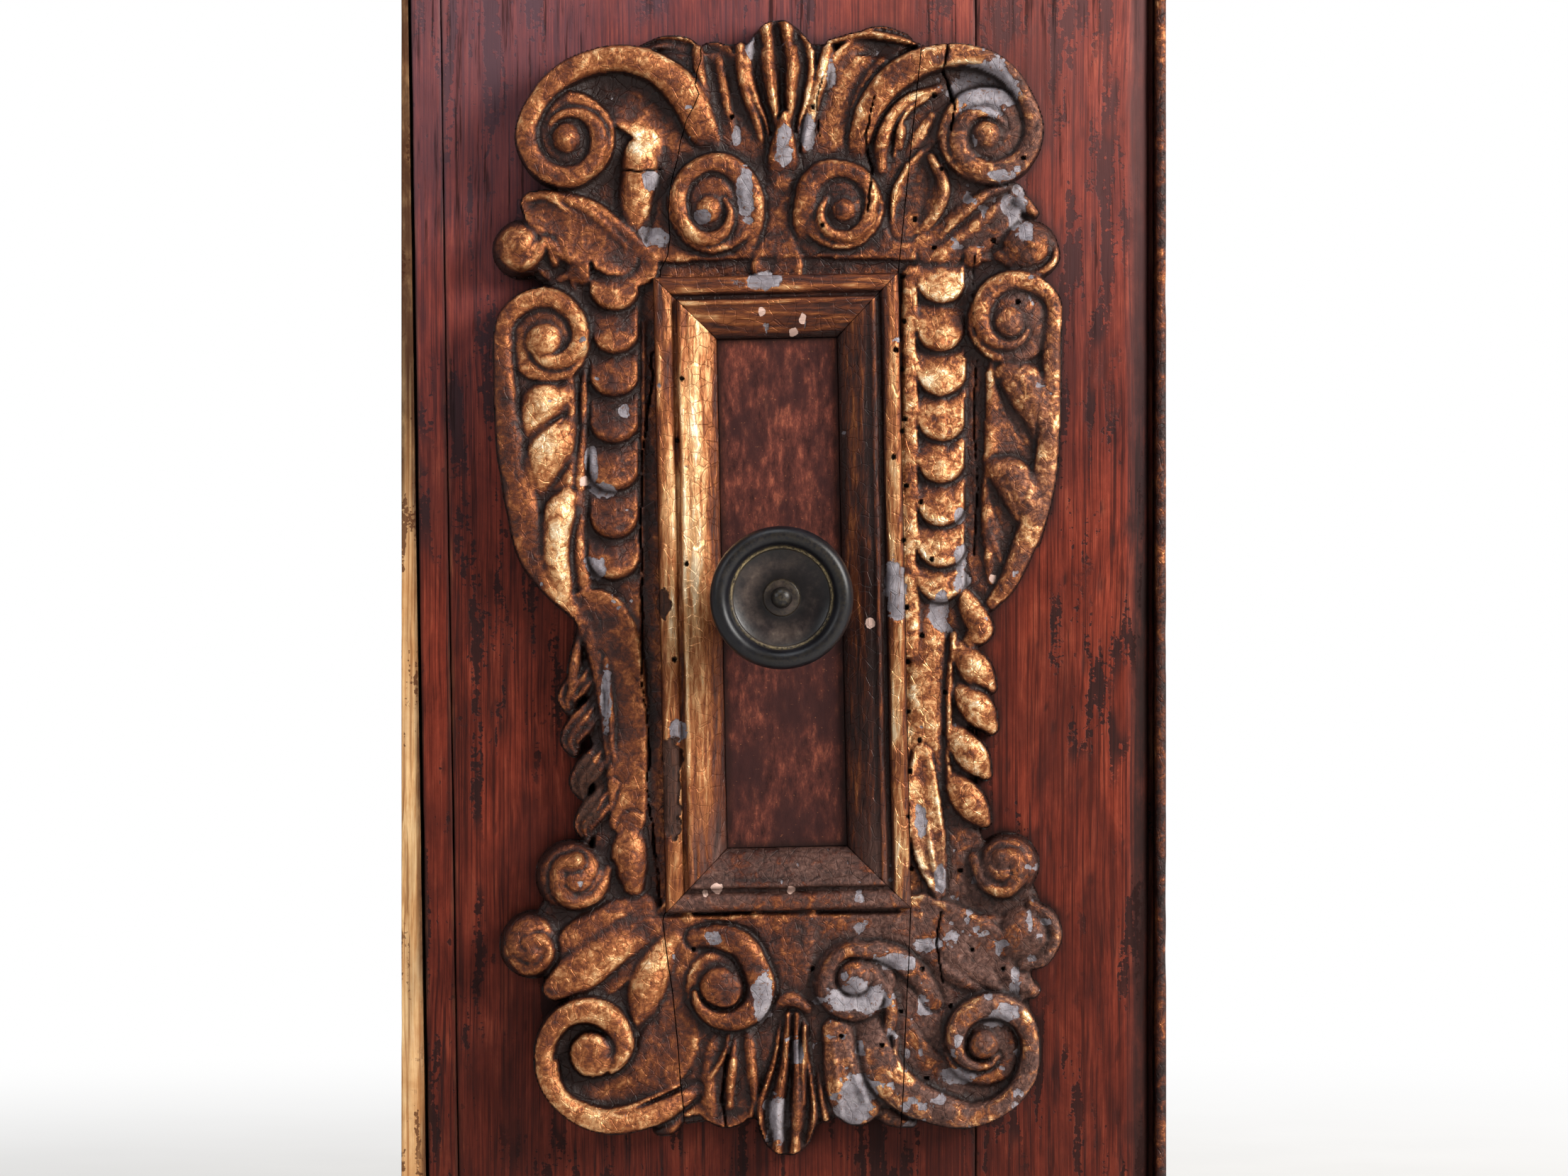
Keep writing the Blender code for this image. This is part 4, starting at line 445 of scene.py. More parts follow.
def carve_flanks(r):
    """A long rim that ends in a volute on each side, with leaves rolling out of its hollow."""
    r.stroke([(-94, 4, 7, 14), (-98, 22, 10, 15.6), (-101, 42, 13, 16.6), (-102, 64, 15, 17),
              (-102, 86, 14, 17)], plate, 3)
    r.stroke([(92, 6, 7, 13), (95, 30, 12, 14.6), (98, 58, 14, 15.4), (99, 88, 14, 15.6)], plate, 3)
    r.stroke([(-84, 96, 2.2, 14), (-84.6, 70, 2.7, 15), (-86, 45, 3.3, 15.5), (-86.4, 20, 4.2, 15),
              (-84, 0, 4.6, 14)], roll, 2)
    r.stroke([(-112, 54, 4.4, 15), (-107.6, 67, 8.4, 18.5), (-101, 77, 9.4, 21), (-94, 81, 5.6, 19)],
             roll, 3, 0.6)
    r.stroke([(-107, 40, 5.4, 17), (-102.6, 51, 9, 20.5), (-97, 60, 9, 21), (-91.5, 66.5, 5, 18.5)],
             roll, 3, 0.6)
    r.stroke([(-103, 58, 1, 17.6), (-98, 66, 1.4, 19.6), (-93, 71, 1, 17.5)], roll, 2)
    r.stroke([(-91.4, -4, 3.6, 15), (-95.4, 8, 6, 19), (-96, 21, 7, 20.5), (-94.6, 31, 7.6, 21),
              (-91, 37, 5.4, 18.5)], roll, 3, 0.6)
    r.stroke([(-93, 22, 1, 18), (-91, 27, 1.2, 18.5), (-89.4, 31, 1, 17)], roll, 2)
    r.stroke([(110.6, 58, 4.2, 16), (107.6, 73, 8, 20), (101.6, 85, 9.4, 21), (94.4, 90.6, 6, 19)],
             roll, 2.5, 0.8)
    r.stroke([(103.4, 62, 2.6, 12), (100, 72, 4, 14.5), (94, 84, 3.4, 14.5)], roll, 2, 1)
    r.stroke([(104.4, 20, 4.2, 15.5), (102.6, 34, 8, 20), (96.6, 45, 9, 21), (89.6, 49.6, 5.4, 18.5)],
             roll, 2.5, 0.8)
    r.stroke([(97, 20, 2.4, 12), (93.6, 32, 4, 13.5), (89, 43, 3, 13.5)], roll, 2, 1)
    r.stroke([(84, 34, 1.6, 12.5), (87, 22, 2.2, 13.5), (92, 10, 2, 13)], roll, 3)
    lead = [(-88, -10, 3.4, 13), (-95.6, -1, 5, 16), (-103.4, 12, 7.4, 17.5), (-108.6, 27, 7.4, 18.5),
            (-113, 48, 6.8, 19), (-116.4, 73, 5.4, 19.5), (-117.4, 90, 4.8, 20)]
    turn = [(168, 18.4, 4.4, 20.5), (140, 18.6, 4.6, 21), (110, 18, 4.7, 21), (80, 17, 4.6, 21),
            (50, 15.4, 4.2, 21), (20, 14.2, 3.9, 21), (-10, 13.2, 3.8, 21), (-40, 11.6, 3.8, 21),
            (-70, 9.6, 3.8, 21), (-100, 7.6, 3.6, 21), (-130, 6, 3, 21)]
    r.dome(-99.5, 104.3, 18, 19, 17)
    r.stroke(lead + around((-99.5, 104.3), turn), band, 2, 0.7)
    r.dome(-100.8, 103.8, 8.4, 23.5, 15)
    lead = [(87, -7, 3, 13), (94.4, 3, 4.4, 16), (101.4, 19, 5.4, 17.5), (106.4, 35, 5.8, 18.5),
            (110.2, 52, 5.4, 19), (112, 76, 4.6, 19.5), (112.4, 100, 4, 20)]
    turn = [(22, 20.6, 3.7, 20.5), (55, 19.6, 4.4, 21), (85, 17.6, 4.6, 21), (115, 15.4, 4.6, 21),
            (145, 13, 4.4, 21), (175, 11.4, 4, 21), (205, 10.6, 3.5, 21), (235, 10.1, 2.9, 21),
            (265, 9.8, 2.3, 21), (300, 9.5, 1.7, 21), (335, 9.2, 1.2, 20)]
    r.dome(95, 112, 18, 19, 17)
    r.stroke(lead + around((94, 111.5), turn), band, 2, 0.8)
    r.dome(94.4, 111.3, 8, 22.5, 14.5)


def carve_husks(r):
    """A string of overlapping scales down each side of the frame."""
    left = (-71.5, 10.2, (3, 20, 40, 60, 79.5, 97.5, 116))
    right = (66, 10, (-6, 8, 25.5, 43.5, 61, 80, 98.5, 119))
    r.stroke([(53.6, 132, 4.2, 14), (53.4, 60, 4.3, 14.6), (53.6, -26, 4.2, 14)], band, 2)
    r.stroke([(-59.2, 112, 1.4, 12), (-59.6, 60, 1.4, 12), (-60, 4, 1.4, 12)], roll, 1)
    for u, w, feet in (left, right):
        for v, above in zip(feet, feet[1:] + (feet[-1] + 16,)):
            r.husk(u, v, w, above - v)


def carve_lower_flanks(r):
    """A stem that ends in a string of buds on each side, above two balls with curls."""
    r.stroke([(-66, 0, 7, 12), (-65.4, -40, 7.4, 13), (-65, -98, 7, 12)], band, 1)
    r.stroke([(-87, -7, 5, 14.5), (-77, -13, 11, 15.4), (-70, -32, 11.5, 15.4), (-67, -62, 9.6, 14.6),
              (-65.6, -96, 8, 13.4)], plate, 4)
    r.stroke([(-75, -30, 1.4, 15.5), (-73, -50, 2, 16.8), (-72, -72, 1.4, 15)], roll, 3)
    for u, v in ((-87, -41), (-85.5, -58), (-82, -76), (-80, -94)):
        r.stroke([(u + 8, v + 12, 2.4, 11), (u + 2, v + 3, 5.6, 15.5), (u - 4, v - 5, 4.8, 15),
                  (u - 3, v - 11, 2.6, 12)], blade, 1.5, 1)
    r.stroke([(-86, -18, 2, 12), (-88.6, -34, 3, 15), (-89.6, -46, 2, 13)], roll, 1, 1)
    r.stroke([(-64, -99, 5, 12), (-65, -113, 8, 17), (-63.5, -125, 5, 15.5)], roll, 2, 0.8)
    r.stroke([(60, -6, 9, 12), (60, -40, 9, 13), (59, -96, 8, 12)], band, 1)
    r.stroke([(71.6, -20, 1.8, 15), (69.4, -50, 1.9, 15), (69.6, -92, 1.8, 13)], roll, 1)
    r.stroke([(73, 1, 3, 12), (78, -8, 5, 15), (83, -17, 6, 18), (79.6, -21.6, 4, 17)], roll, 1, 1)
    for u, v in ((80.5, -33), (81, -50), (78.5, -69), (78, -89)):
        r.stroke([(u - 7.6, v + 12, 2.4, 12), (u - 4.4, v + 5, 5.6, 17), (u + 1, v - 1.6, 7, 19),
                  (u + 6, v - 9, 3.6, 14.5)], roll, 1, 1.6)
    r.stroke([(58, -70, 4, 13.5), (58.5, -90, 7.6, 15.5), (61, -110, 7, 16), (65, -128, 2.6, 14)],
             plate, 1.5, 1)
    r.stroke([(60, -96, 1, 14.5), (62, -112, 1.4, 16.5), (65, -125, 1, 14.5)], roll, 3)
    r.dome(-89.5, -121.5, 15.5, 21.5, 6)
    r.stroke([(-74, -118, 3, 14), (-79, -129, 3.4, 18), (-88, -132, 3.4, 20), (-95, -126, 3.4, 21),
              (-94, -117, 3.4, 22), (-87, -114.5, 4, 23)], roll, 3, 1.5)
    r.dome(-106, -150.5, 14.2, 21, 6)
    r.stroke([(-114, -157, 2, 15), (-108, -160.5, 3, 18.5), (-101, -157, 3.4, 20), (-98.6, -151, 3.4, 20.5),
              (-102.6, -147, 2.6, 21), (-108, -148.5, 2.2, 20)], roll, 2, 1.5)
    r.dome(-105.4, -153, 4.6, 22, 16)
    r.dome(94.3, -116.5, 13.5, 21.5, 6)
    r.stroke([(80, -114, 3, 14), (85, -124, 3.2, 18), (93, -127, 3.2, 20), (99, -121, 3.2, 21),
              (97, -113, 3.4, 22), (91, -113, 4, 22.5)], roll, 3, 1.5)
    r.dome(102.5, -146, 14.6, 20, 6)
    r.stroke([(104, -133, 2.4, 15), (111.6, -138, 3, 18.5), (114, -147, 3, 19), (109, -156, 3, 18),
              (101, -158, 2.6, 16)], roll, 2, 1.5)
    r.dome(105.6, -147, 5, 21.5, 15)


def carve_apron(r):
    """Diagonal leaves at the corners and a hanging plume in the middle."""
    r.stroke([(-46, -139, 8, 13.5), (-44, -160, 10, 14), (-42, -182, 11, 14)], plate, 4)
    r.stroke([(0, -138, 14, 13.5), (2, -152, 11, 14.5), (3, -166, 7, 15)], plate, 5)
    r.stroke([(58, -139, 10, 13.5), (74, -147, 12, 16), (88, -156, 12, 17), (97, -166, 8, 16)], plate, 3)
    r.stroke([(62, -155, 3, 14), (72, -163, 4, 16.5), (82, -168.5, 3, 15)], roll, 3, 1)
    r.stroke([(93, -160, 4, 15), (98, -165, 5, 16.5), (104, -169, 4, 15.5)], roll, 2, 1)
    r.stroke([(-60, -135, 7, 14), (-76, -141, 8, 16.5), (-88, -149, 7.5, 17.5), (-96, -156, 4.5, 16)],
             band, 4)
    r.stroke([(-58, -142, 7, 14), (-73, -152, 8, 18), (-87, -162, 9, 19.5), (-96, -168, 6, 18.5)],
             band, 3, 0.4)
    r.stroke([(-60, -153, 6, 14.5), (-72, -162, 7, 15.6), (-80, -169, 5, 15)], plate, 4)
    r.stroke([(-46, -147, 4, 14), (-52, -155, 6.6, 17), (-57, -166, 8.4, 19), (-60, -175, 7.4, 18.5),
              (-63, -182, 4.6, 18)], roll, 4)
    r.stroke([(-60, -147, 1.2, 15), (-75, -157.6, 1.6, 18.6), (-90, -166.6, 1.3, 18)], roll, 2)
    r.stroke([(57, -168, 7, 15), (59, -177, 8, 15), (61, -184, 5, 14.5)], cove, 2, 0.6)
    r.stroke([(-44, -221, 3, 13), (-48, -225.6, 4.6, 14), (-52.6, -228.4, 2.6, 12)], roll, 1)
    r.stroke([(35, -217, 3, 12), (45, -222, 4.4, 13), (54, -225, 2.6, 11)], roll, 1)
    r.stroke([(-21, -186, 9, 14.5), (-23, -203, 12, 16), (-24, -215, 12.6, 14)], plate, 2)
    r.stroke([(-15.6, -186, 2.4, 15), (-13.6, -202, 2.8, 17.5), (-12, -215, 2.2, 16.5), (-14, -222, 2, 14)],
             roll, 3)
    r.stroke([(-21, -190, 1.8, 15), (-22, -204, 2.4, 17.5), (-23, -218, 2, 15.5)], roll, 4)
    r.stroke([(-31, -204, 3, 15), (-31.6, -214, 4, 16.5), (-30, -221, 3, 14)], roll, 4)
    r.stroke([(-23, -186, 1.2, 16), (-25.6, -196, 1.5, 17.5), (-32, -206.6, 1.4, 16.5)], roll, 2)
    r.stroke([(22, -186, 6.4, 18), (24, -198, 7.6, 19.5), (27, -209, 9.6, 19), (30.4, -216, 10.4, 16.5)],
             band, 2.5, 0.8)
    r.stroke([(14.6, -200, 1.6, 14), (15.4, -212, 2.2, 16.5), (17.6, -223, 2, 14)], roll, 2)
    r.stroke([(20, -190, 1.6, 19), (22, -205, 2.2, 20.6), (24, -221, 2, 17)], roll, 3)
    r.stroke([(26, -194, 1.6, 19.4), (31, -208, 2.2, 20.4), (36, -219, 2, 16)], roll, 3)
    r.stroke([(3.4, -183, 5.4, 17), (3, -197, 7.6, 19), (2, -211, 10.8, 20.5), (1.2, -221, 13, 19.5),
              (1, -228, 11, 16.5)], flutes, 1, 1.2)
    r.stroke([(8.6, -184, 1, 18.5), (8, -200, 1.3, 20.5), (8, -216, 1.4, 20)], roll, 1.5)
    r.stroke([(-6, -178.6, 2.4, 14.5), (-2, -174, 3.2, 16.5), (4, -172.6, 3.6, 17.5),
              (9.6, -176, 2.8, 16.5)], roll, 3)


def carve_lower_volutes(r):
    """The upper scrolls turned over, each a little different."""
    r.stroke([(-94, -203, 4, 15), (-86, -209, 7, 15), (-73, -211, 9.4, 16), (-59, -205, 12, 16.6),
              (-50, -194, 13, 16), (-45, -182, 10, 14)], plate, 4)
    lead = [(-37, -211, 3, 14), (-46, -216.6, 4.4, 18), (-57, -222, 5.4, 21), (-70, -224.4, 5.2, 22.5),
            (-82, -222.6, 5, 23), (-92, -216, 4.9, 23), (-98.6, -207, 4.8, 23)]
    turn = [(180, 20.3, 4.7, 23), (150, 20.3, 5, 23), (120, 19.8, 5.3, 23), (90, 18.6, 5.6, 23),
            (60, 16.8, 5.6, 23), (30, 14.6, 5, 22.5), (5, 12.6, 4, 22.5), (-20, 11.2, 2.6, 22),
            (-40, 10.4, 1.4, 20.5)]
    r.stroke(lead + around((-80.5, -196), turn), band, 1, 1.5)
    r.stroke([(-95.6, -198, 0.9, 20.5), (-93.6, -207, 1, 21), (-88, -214, 1.1, 21),
              (-77, -218.8, 1.2, 20.5), (-65, -217.8, 1.2, 20), (-54, -213.6, 1.1, 18.5),
              (-44, -208.8, 1, 17)], roll, 1)
    r.dome(-80, -195.5, 9.4, 23.5, 19.5)
    r.stroke([(98, -203, 4, 14), (89, -210, 7, 14.5), (76, -212, 9, 15), (63, -206, 10, 15.5),
              (54, -197, 9, 16), (49, -187, 7, 15)], plate, 2)
    r.dome(84, -191.5, 17, 18.5, 16)
    lead = [(36, -184, 6, 15.5), (38, -194, 7.4, 18.5), (43, -204, 8.2, 20.5), (51, -212, 7.8, 21.5),
            (62, -218.4, 6.6, 22), (74, -221.6, 5.2, 22.5), (86, -219.8, 4.6, 22.5), (96, -213, 4.4, 22.5),
            (102.4, -203, 4.4, 22.5)]
    turn = [(0, 20.4, 4.2, 22.5), (30, 19.6, 4.6, 22.5), (60, 18, 5, 22.5), (90, 15.8, 5, 22.5),
            (120, 14, 4.8, 22.5), (150, 12.6, 4.4, 22.5), (180, 11.4, 3.6, 22.5), (215, 10.4, 2.8, 22),
            (250, 9.6, 2.2, 22), (285, 8.9, 1.7, 21.5), (320, 8.2, 1.2, 20)]
    r.stroke(lead + around((83.5, -191.5), turn), band, 1, 1.5)
    r.stroke([(47, -188, 1, 17), (47.6, -198, 1.3, 19.5), (55, -207, 1.4, 20), (67, -214, 1.3, 20.5),
              (77, -217, 1, 20.5)], roll, 1)
    r.dome(84, -191.6, 6.8, 24, 16)
    r.dome(-25, -167, 16, 17, 15)
    lead = [(-37, -147, 4, 14.5), (-27, -146.5, 5.4, 17.5), (-17, -150.6, 6, 19.5)]
    turn = [(35, 16.6, 6, 20.2), (0, 16, 6.2, 20.4), (-35, 15.6, 5.6, 20.4), (-70, 14.4, 4.6, 20.2),
            (-105, 13.2, 3.6, 19.8), (-140, 12, 2.6, 19.2), (-170, 11.2, 1.6, 18.2)]
    r.stroke(lead + around((-26, -168), turn), band, 1, 1.5)
    r.dome(-26.6, -167.6, 8.6, 22, 17)
    r.stroke([(-20.4, -161, 0.9, 19), (-18.6, -168, 1, 20), (-21.6, -174.4, 1, 20.5),
              (-27, -175.6, 0.9, 20)], roll, 1)
    r.dome(29.6, -165, 17, 18, 16)
    lead = [(63, -174, 3.4, 13), (58, -165, 4.4, 16), (50, -157, 4.8, 18.5), (41, -152.6, 4.2, 19.5)]
    turn = [(70, 12.6, 3.4, 20), (105, 12.2, 3.2, 20), (140, 11.8, 3.3, 20), (175, 11.6, 3.8, 20),
            (210, 11.8, 4.6, 20), (245, 12.2, 5.2, 20), (280, 12, 5.2, 20), (315, 11, 4.4, 20),
            (350, 10, 3.2, 20), (385, 9, 2, 19.5), (410, 8.4, 1.2, 19)]
    r.stroke(lead + around((29.5, -164.5), turn), band, 1, 1.5)
    r.stroke([(38, -160, 1.4, 17), (43, -168, 2.6, 18.5), (45, -178, 3.4, 18), (44, -186, 3, 16.5)], roll, 2)
    r.dome(30, -163.4, 7.6, 22, 16.5)


# Where gilding and gesso are gone down to pale ground: middle, half sizes, millimetres
GESSO = (
    (-14, 226, 2.2, 6), (-16, 165, 3.5, 11), (-34, 156, 3, 3), (-56, 170, 3.6, 4.5), (-55, 147, 6, 4.5),
    (-10, 128.5, 10.5, 4.2), (-67, 75, 2.4, 3), (-81, 52, 2.6, 8), (-75, 41, 6, 3), (-79, 8, 4.6, 5.4),
    (-75, -45, 2.6, 14), (-45, -60, 4.8, 5), (-30, -147, 4, 3), (-9, -170, 4.4, 11), (-3, -222, 5.6, 13),
    (20, 216, 2.2, 5), (10, 190, 4, 7), (0, 186, 3.4, 9), (85, 211, 15, 11), (90, 173, 7, 2.6),
    (97, 158, 4.8, 7), (99, 167, 3, 3), (47, -1, 4.6, 14), (74, 31, 3, 4), (74, 13, 3.4, 7),
    (75, 3, 4, 6), (66, -10, 5, 8), (57, -98, 2.6, 7), (66, -122, 2.4, 6), (30, -172, 16, 7),
    (45, -157, 8, 4), (93, -178, 7, 4.6), (30, -215, 9, 10), (5, -195, 3.4, 6), (102, 150, 3, 5),
    (60, -150, 5, 3), (74, -205, 8, 4), (-20, 190, 2, 5),
)
# Small pink chips down to the wood's first coat
CHIPS = (
    (3, -127, 2.2, 1.8), (-28, -126, 2.6, 2.4), (4, 108, 2.4, 2), (-9, 116, 1.8, 1.8),
    (-84, 45, 2.4, 2.6), (36, -15, 2, 2.8), (-33, -128, 1.4, 1.6), (8, 113, 1.6, 2.4), (88, 4, 2, 2),
)
# Bare dark wood where the carving itself has broken away
BARE = (
    (-47, -82, 4.6, 22), (-50, -6, 3, 6), (-82, -84, 7, 14),
)
# How much bright leaf is left: middle, half sizes, share. The first three rows, on the frame's left and
# right members, also paint light and shade from the right: bright on the left member and on the right
# member's outer slope, dark on its inner slope.
LEAF_AND_SIDE_LIGHT = (
    (-40, 0, 9, 130, 1.02), (37, 0, 6, 120, 0.16), (46.5, 0, 4, 130, 0.72), (0, 118, 30, 8, 0.66),
    (0, 130, 40, 5, 0.36), (0, -122, 34, 9, 0.10), (66, 60, 13, 75, 0.74), (-70, 60, 12, 66, 0.26),
    (80, -55, 12, 45, 0.80), (60, -105, 8, 26, 0.92), (22, 208, 13, 28, 0.78), (-60, 187, 7, 9, 1.0),
    (-58, 166, 8, 12, 0.66), (-28, 205, 12, 26, 0.40), (0, 222, 12, 22, 0.46), (-117, 55, 5, 60, 0.22),
    (-108, 16, 6, 18, 0.20), (-100, 60, 9, 34, 0.86), (-94, 18, 7, 28, 0.86), (-99, 104, 16, 16, 0.70),
    (-78, 203, 18, 16, 0.24), (-70, 219, 30, 6, 0.56), (84, 200, 26, 28, 0.40), (56, 196, 14, 18, 0.56),
    (-30, 158, 16, 16, 0.46), (24, 158, 16, 16, 0.36), (96, 112, 16, 18, 0.44), (106, 60, 10, 40, 0.62),
    (-108, 142, 14, 14, 0.46), (-90, 156, 20, 12, 0.50), (102, 146, 14, 16, 0.24),
    (-82, -70, 12, 40, 0.14), (-66, -60, 8, 60, 0.50), (-90, -122, 16, 16, 0.32),
    (-106, -150, 14, 14, 0.32), (94, -116, 15, 15, 0.26), (102, -146, 15, 15, 0.24),
    (-80, -200, 26, 26, 0.60), (84, -196, 26, 26, 0.28), (-60, -160, 20, 18, 0.62),
    (62, -160, 24, 20, 0.26), (-26, -167, 18, 18, 0.40), (30, -164, 18, 18, 0.24),
    (-34, -206, 12, 22, 0.36), (0, -208, 14, 26, 0.32), (24, -206, 9, 22, 0.52), (44, -200, 14, 16, 0.44),
    (0, 140, 60, 8, 0.36), (0, -142, 60, 6, 0.26), (58, -40, 9, 60, 0.80), (66, 126, 10, 9, 0.95),
)
# Furniture-beetle holes, millimetres
HOLES = (
    (50, 131), (50.5, 112), (49.6, 92), (50.8, 71), (49.5, 66), (51.5, 43), (50.2, 20), (51.8, -8),
    (52.2, -31), (52, -52), (53, -77), (52.4, -96), (53.4, -118), (46, 55), (47, 100), (57.5, 36),
    (58, -20), (57, -64), (63, 207), (71, 205), (66, 176), (16, 152), (98, 120), (88, 146), (63, 143),
    (79, -152), (58, -160), (70, -176), (49, -178), (24, -188), (12, -160), (41, -192), (92, -160),
    (60, -206), (-43, 88), (-45, 62), (-41, 10), (-46, -30), (-22, 198), (12, 202), (55, 155), (74, -119),
    (68, -44), (62, 12), (-38, -152), (100, 180),
)
# Cracks: points, half width and depth in millimetres
CRACKS = (
    ([(-55.6, 99), (-56, 94), (-55, 89), (-56, 80), (-57.3, 74), (-59.5, 58), (-60.4, 20), (-59.6, -12),
      (-60, -38), (-57.7, -53), (-56.8, -71), (-58, -83), (-57.3, -91), (-55.6, -98), (-55, -107),
      (-53.5, -116), (-52.7, -124), (-52, -134)], 0.6, 3.5),
    ([(69.3, 231), (66.8, 217), (70, 209), (71.4, 201), (70, 192)], 0.8, 4.0),
    ([(-68, 175.6), (-61, 174.6), (-52, 175.8)], 0.7, 2.5),
    ([(80, 140), (79, 118), (81, 96), (80, 70), (81.5, 40), (80, 14)], 0.5, 2.0),
    ([(38, 206), (34, 190), (37, 176), (35, 158)], 0.7, 2.5),
    ([(16, 214), (13.6, 204), (15, 190)], 0.7, 2.0),
    ([(-24, -196), (-26, -214), (-24, -230)], 0.7, 2.5),
    ([(66, -136), (64, -150), (67, -166)], 0.7, 2.5),
)


def patches(u, v, spots, seed, rough=0.55, size=6.0):
    """A field that is above a half inside the spots, with a ragged border."""
    field = np.zeros(np.shape(u))
    for a, b, ru, rv in spots:
        field = np.maximum(field, 1.5 - np.hypot((u - a) / ru, (v - b) / rv))
    ragged = rough * noise(u, v, size, seed, 3) + 0.25 * noise(u, v, 2.0, seed + 5, 2)
    return share(field + ragged - 0.02) * (field > 0.05)


def leaf_and_painted_side_light(u, v):
    """Share of bright leaf, from 0 to 1, with painted light and shade on the frame's sides."""
    total, weight = 0.45 * 0.4, 0.4
    for a, b, ru, rv, left in LEAF_AND_SIDE_LIGHT:
        w = np.exp(-1.6 * (((u - a) / ru) ** 2 + ((v - b) / rv) ** 2))
        total, weight = total + w * left, weight + w
    return total / weight


def dull(u, v):
    """Where the gilding is worn to a grey-brown crust, most at the foot on the right."""
    foot = ease(u, -6, 40) * ease(-v, 85, 140)
    head = 0.6 * ease(u, 40, 85) * ease(v, 125, 165)
    side = 0.45 * ease(u, 78, 100) * ease(v, -20, 40)
    return np.maximum(np.maximum(foot, head), side)


def loss(u, v):
    """Flakes off the gilding where it is worn."""
    flakes = noise(u, v, 6.5, 71, 4) * 0.5 + 0.5
    return share((flakes + 0.16 * dull(u, v) - 0.82) / 0.06)


def paint_fields(u, v):
    """What the gilder's material reads at each point."""
    return {
        "gesso": np.maximum(patches(u, v, GESSO, 51), 0.95 * loss(u, v)),
        "chip": patches(u, v, CHIPS, 57, 0.4, 2.5),
        "bare": patches(u, v, BARE, 61),
        "leaf": leaf_and_painted_side_light(u, v),
        "dull": dull(u, v),
    }


def flaked(fields):
    """How far the gilding has come off, from 0 to 1."""
    return share((fields["gesso"] - 0.45) / 0.12)


def worm(h, soil, u, v, radius, depth, rim, fade):
    """Sink the beetle holes into a height field and darken them."""
    for a, b in HOLES:
        away = np.hypot(u - a, v - b)
        h = np.where(away < radius, h - depth, h)
        soil = np.maximum(soil, share((rim - away) / fade))
    return h, soil


def outward(mesh, close=False):
    """Turn every face of a mesh to look out, with its open back filled first if asked."""
    bm = bmesh.new()
    bm.from_mesh(mesh)
    if close:
        bmesh.ops.holes_fill(bm, edges=[e for e in bm.edges if len(e.link_faces) == 1], sides=0)
    bmesh.ops.recalc_face_normals(bm, faces=bm.faces)
    bm.to_mesh(mesh)
    bm.free()


def in_scene(name, data):
    """An object of some data, linked into the scene."""
    thing = bpy.data.objects.new(name, data)
    bpy.context.scene.collection.objects.link(thing)
    return thing


def mesh_of(name, bm):
    """A mesh of what was built, which is then let go."""
    mesh = bpy.data.meshes.new(name)
    bm.to_mesh(mesh)
    bm.free()
    return mesh


def make_piece(name, verts, faces, material, body, slot, nodes=(), fields=None, crease=38):
    """A mesh piece in the part's frame, with its material and its fields, riding on a body."""
    mesh = bpy.data.meshes.new(name)
    mesh.from_pydata([tuple(p) for p in verts], [], [tuple(int(k) for k in f) for f in faces])
    outward(mesh)
    for key, values in (fields or {}).items():
        data = mesh.attributes.new(key, "FLOAT", "POINT").data
        data.foreach_set("value", np.asarray(values, np.float32).ravel())
    mesh.materials.append(material)
    mesh.update()
    mesh.shade_smooth()
    mesh.set_sharp_from_angle(angle=math.radians(crease))
    thing = in_scene(name, mesh)
    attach(thing, body)
    if nodes:
        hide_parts(*nodes)
    return thing


def board_mesh(r, inside_by, fields):
    """Trace the outline of one carved board exactly and stand its face on walls."""
    inside = inside_by > 0
    count = int(inside.sum())
    ids = np.full(inside.shape, -1)
    ids[inside] = np.arange(count)
    corners = ids[:-1, :-1], ids[:-1, 1:], ids[1:, 1:], ids[1:, :-1]
    filled = np.sum([c >= 0 for c in corners], axis=0)
    faces = np.column_stack([c[filled == 4] for c in corners]).tolist()
    crossing, extra = {}, []

    def cross(a, b):
        a, b = (a, b) if inside[a] else (b, a)
        if (a, b) not in crossing:
            t = np.clip(inside_by[a] / (inside_by[a] - inside_by[b]), 0.12, 0.88)
            u = r.uu[a] + t * (r.uu[b] - r.uu[a])
            v = r.vv[a] + t * (r.vv[b] - r.vv[a])
            crossing[a, b] = count + 2 * len(extra)
            extra.append((u, v, r.h[a], ids[a]))
        return crossing[a, b]

    for j, i in np.argwhere((filled > 0) & (filled < 4)):
        ring = [(j, i), (j, i + 1), (j + 1, i + 1), (j + 1, i)]
        poly, leaving = [], []
        for a, b in zip(ring, ring[1:] + ring[:1]):
            if inside[a]:
                poly.append(ids[a])
            if inside[a] != inside[b]:
                poly.append(cross(a, b))
                leaving.append((poly[-1], inside[a]))
        faces.append(poly)
        for (here, out), (back, _) in zip(leaving, leaving[1:] + leaving[:1]):
            if out:
                faces.append([back, here, here + 1, back + 1])
    rim = np.repeat(np.array(extra), 2, axis=0)
    rim[1::2, 2] = 0.0
    verts = np.vstack([np.column_stack([r.uu[inside], r.vv[inside], r.h[inside]]), rim[:, :3]])
    source = np.r_[np.arange(count), rim[:, 3].astype(int)]
    out = {key: f[inside][source] for key, f in fields.items()}
    # The foot of each wall, where the carving meets the door, is fully darkened: dirt and painted shade.
    out["soil"][count + 1::2] = 1.0
    return on_door(verts), faces, out


# Looks
def srgb(r, g, b):
    """An 8-bit screen colour as linear light."""
    linear = (((c / 255 + 0.055) / 1.055) ** 2.4 if c > 10 else c / 255 / 12.92 for c in (r, g, b))
    return (*linear, 1.0)


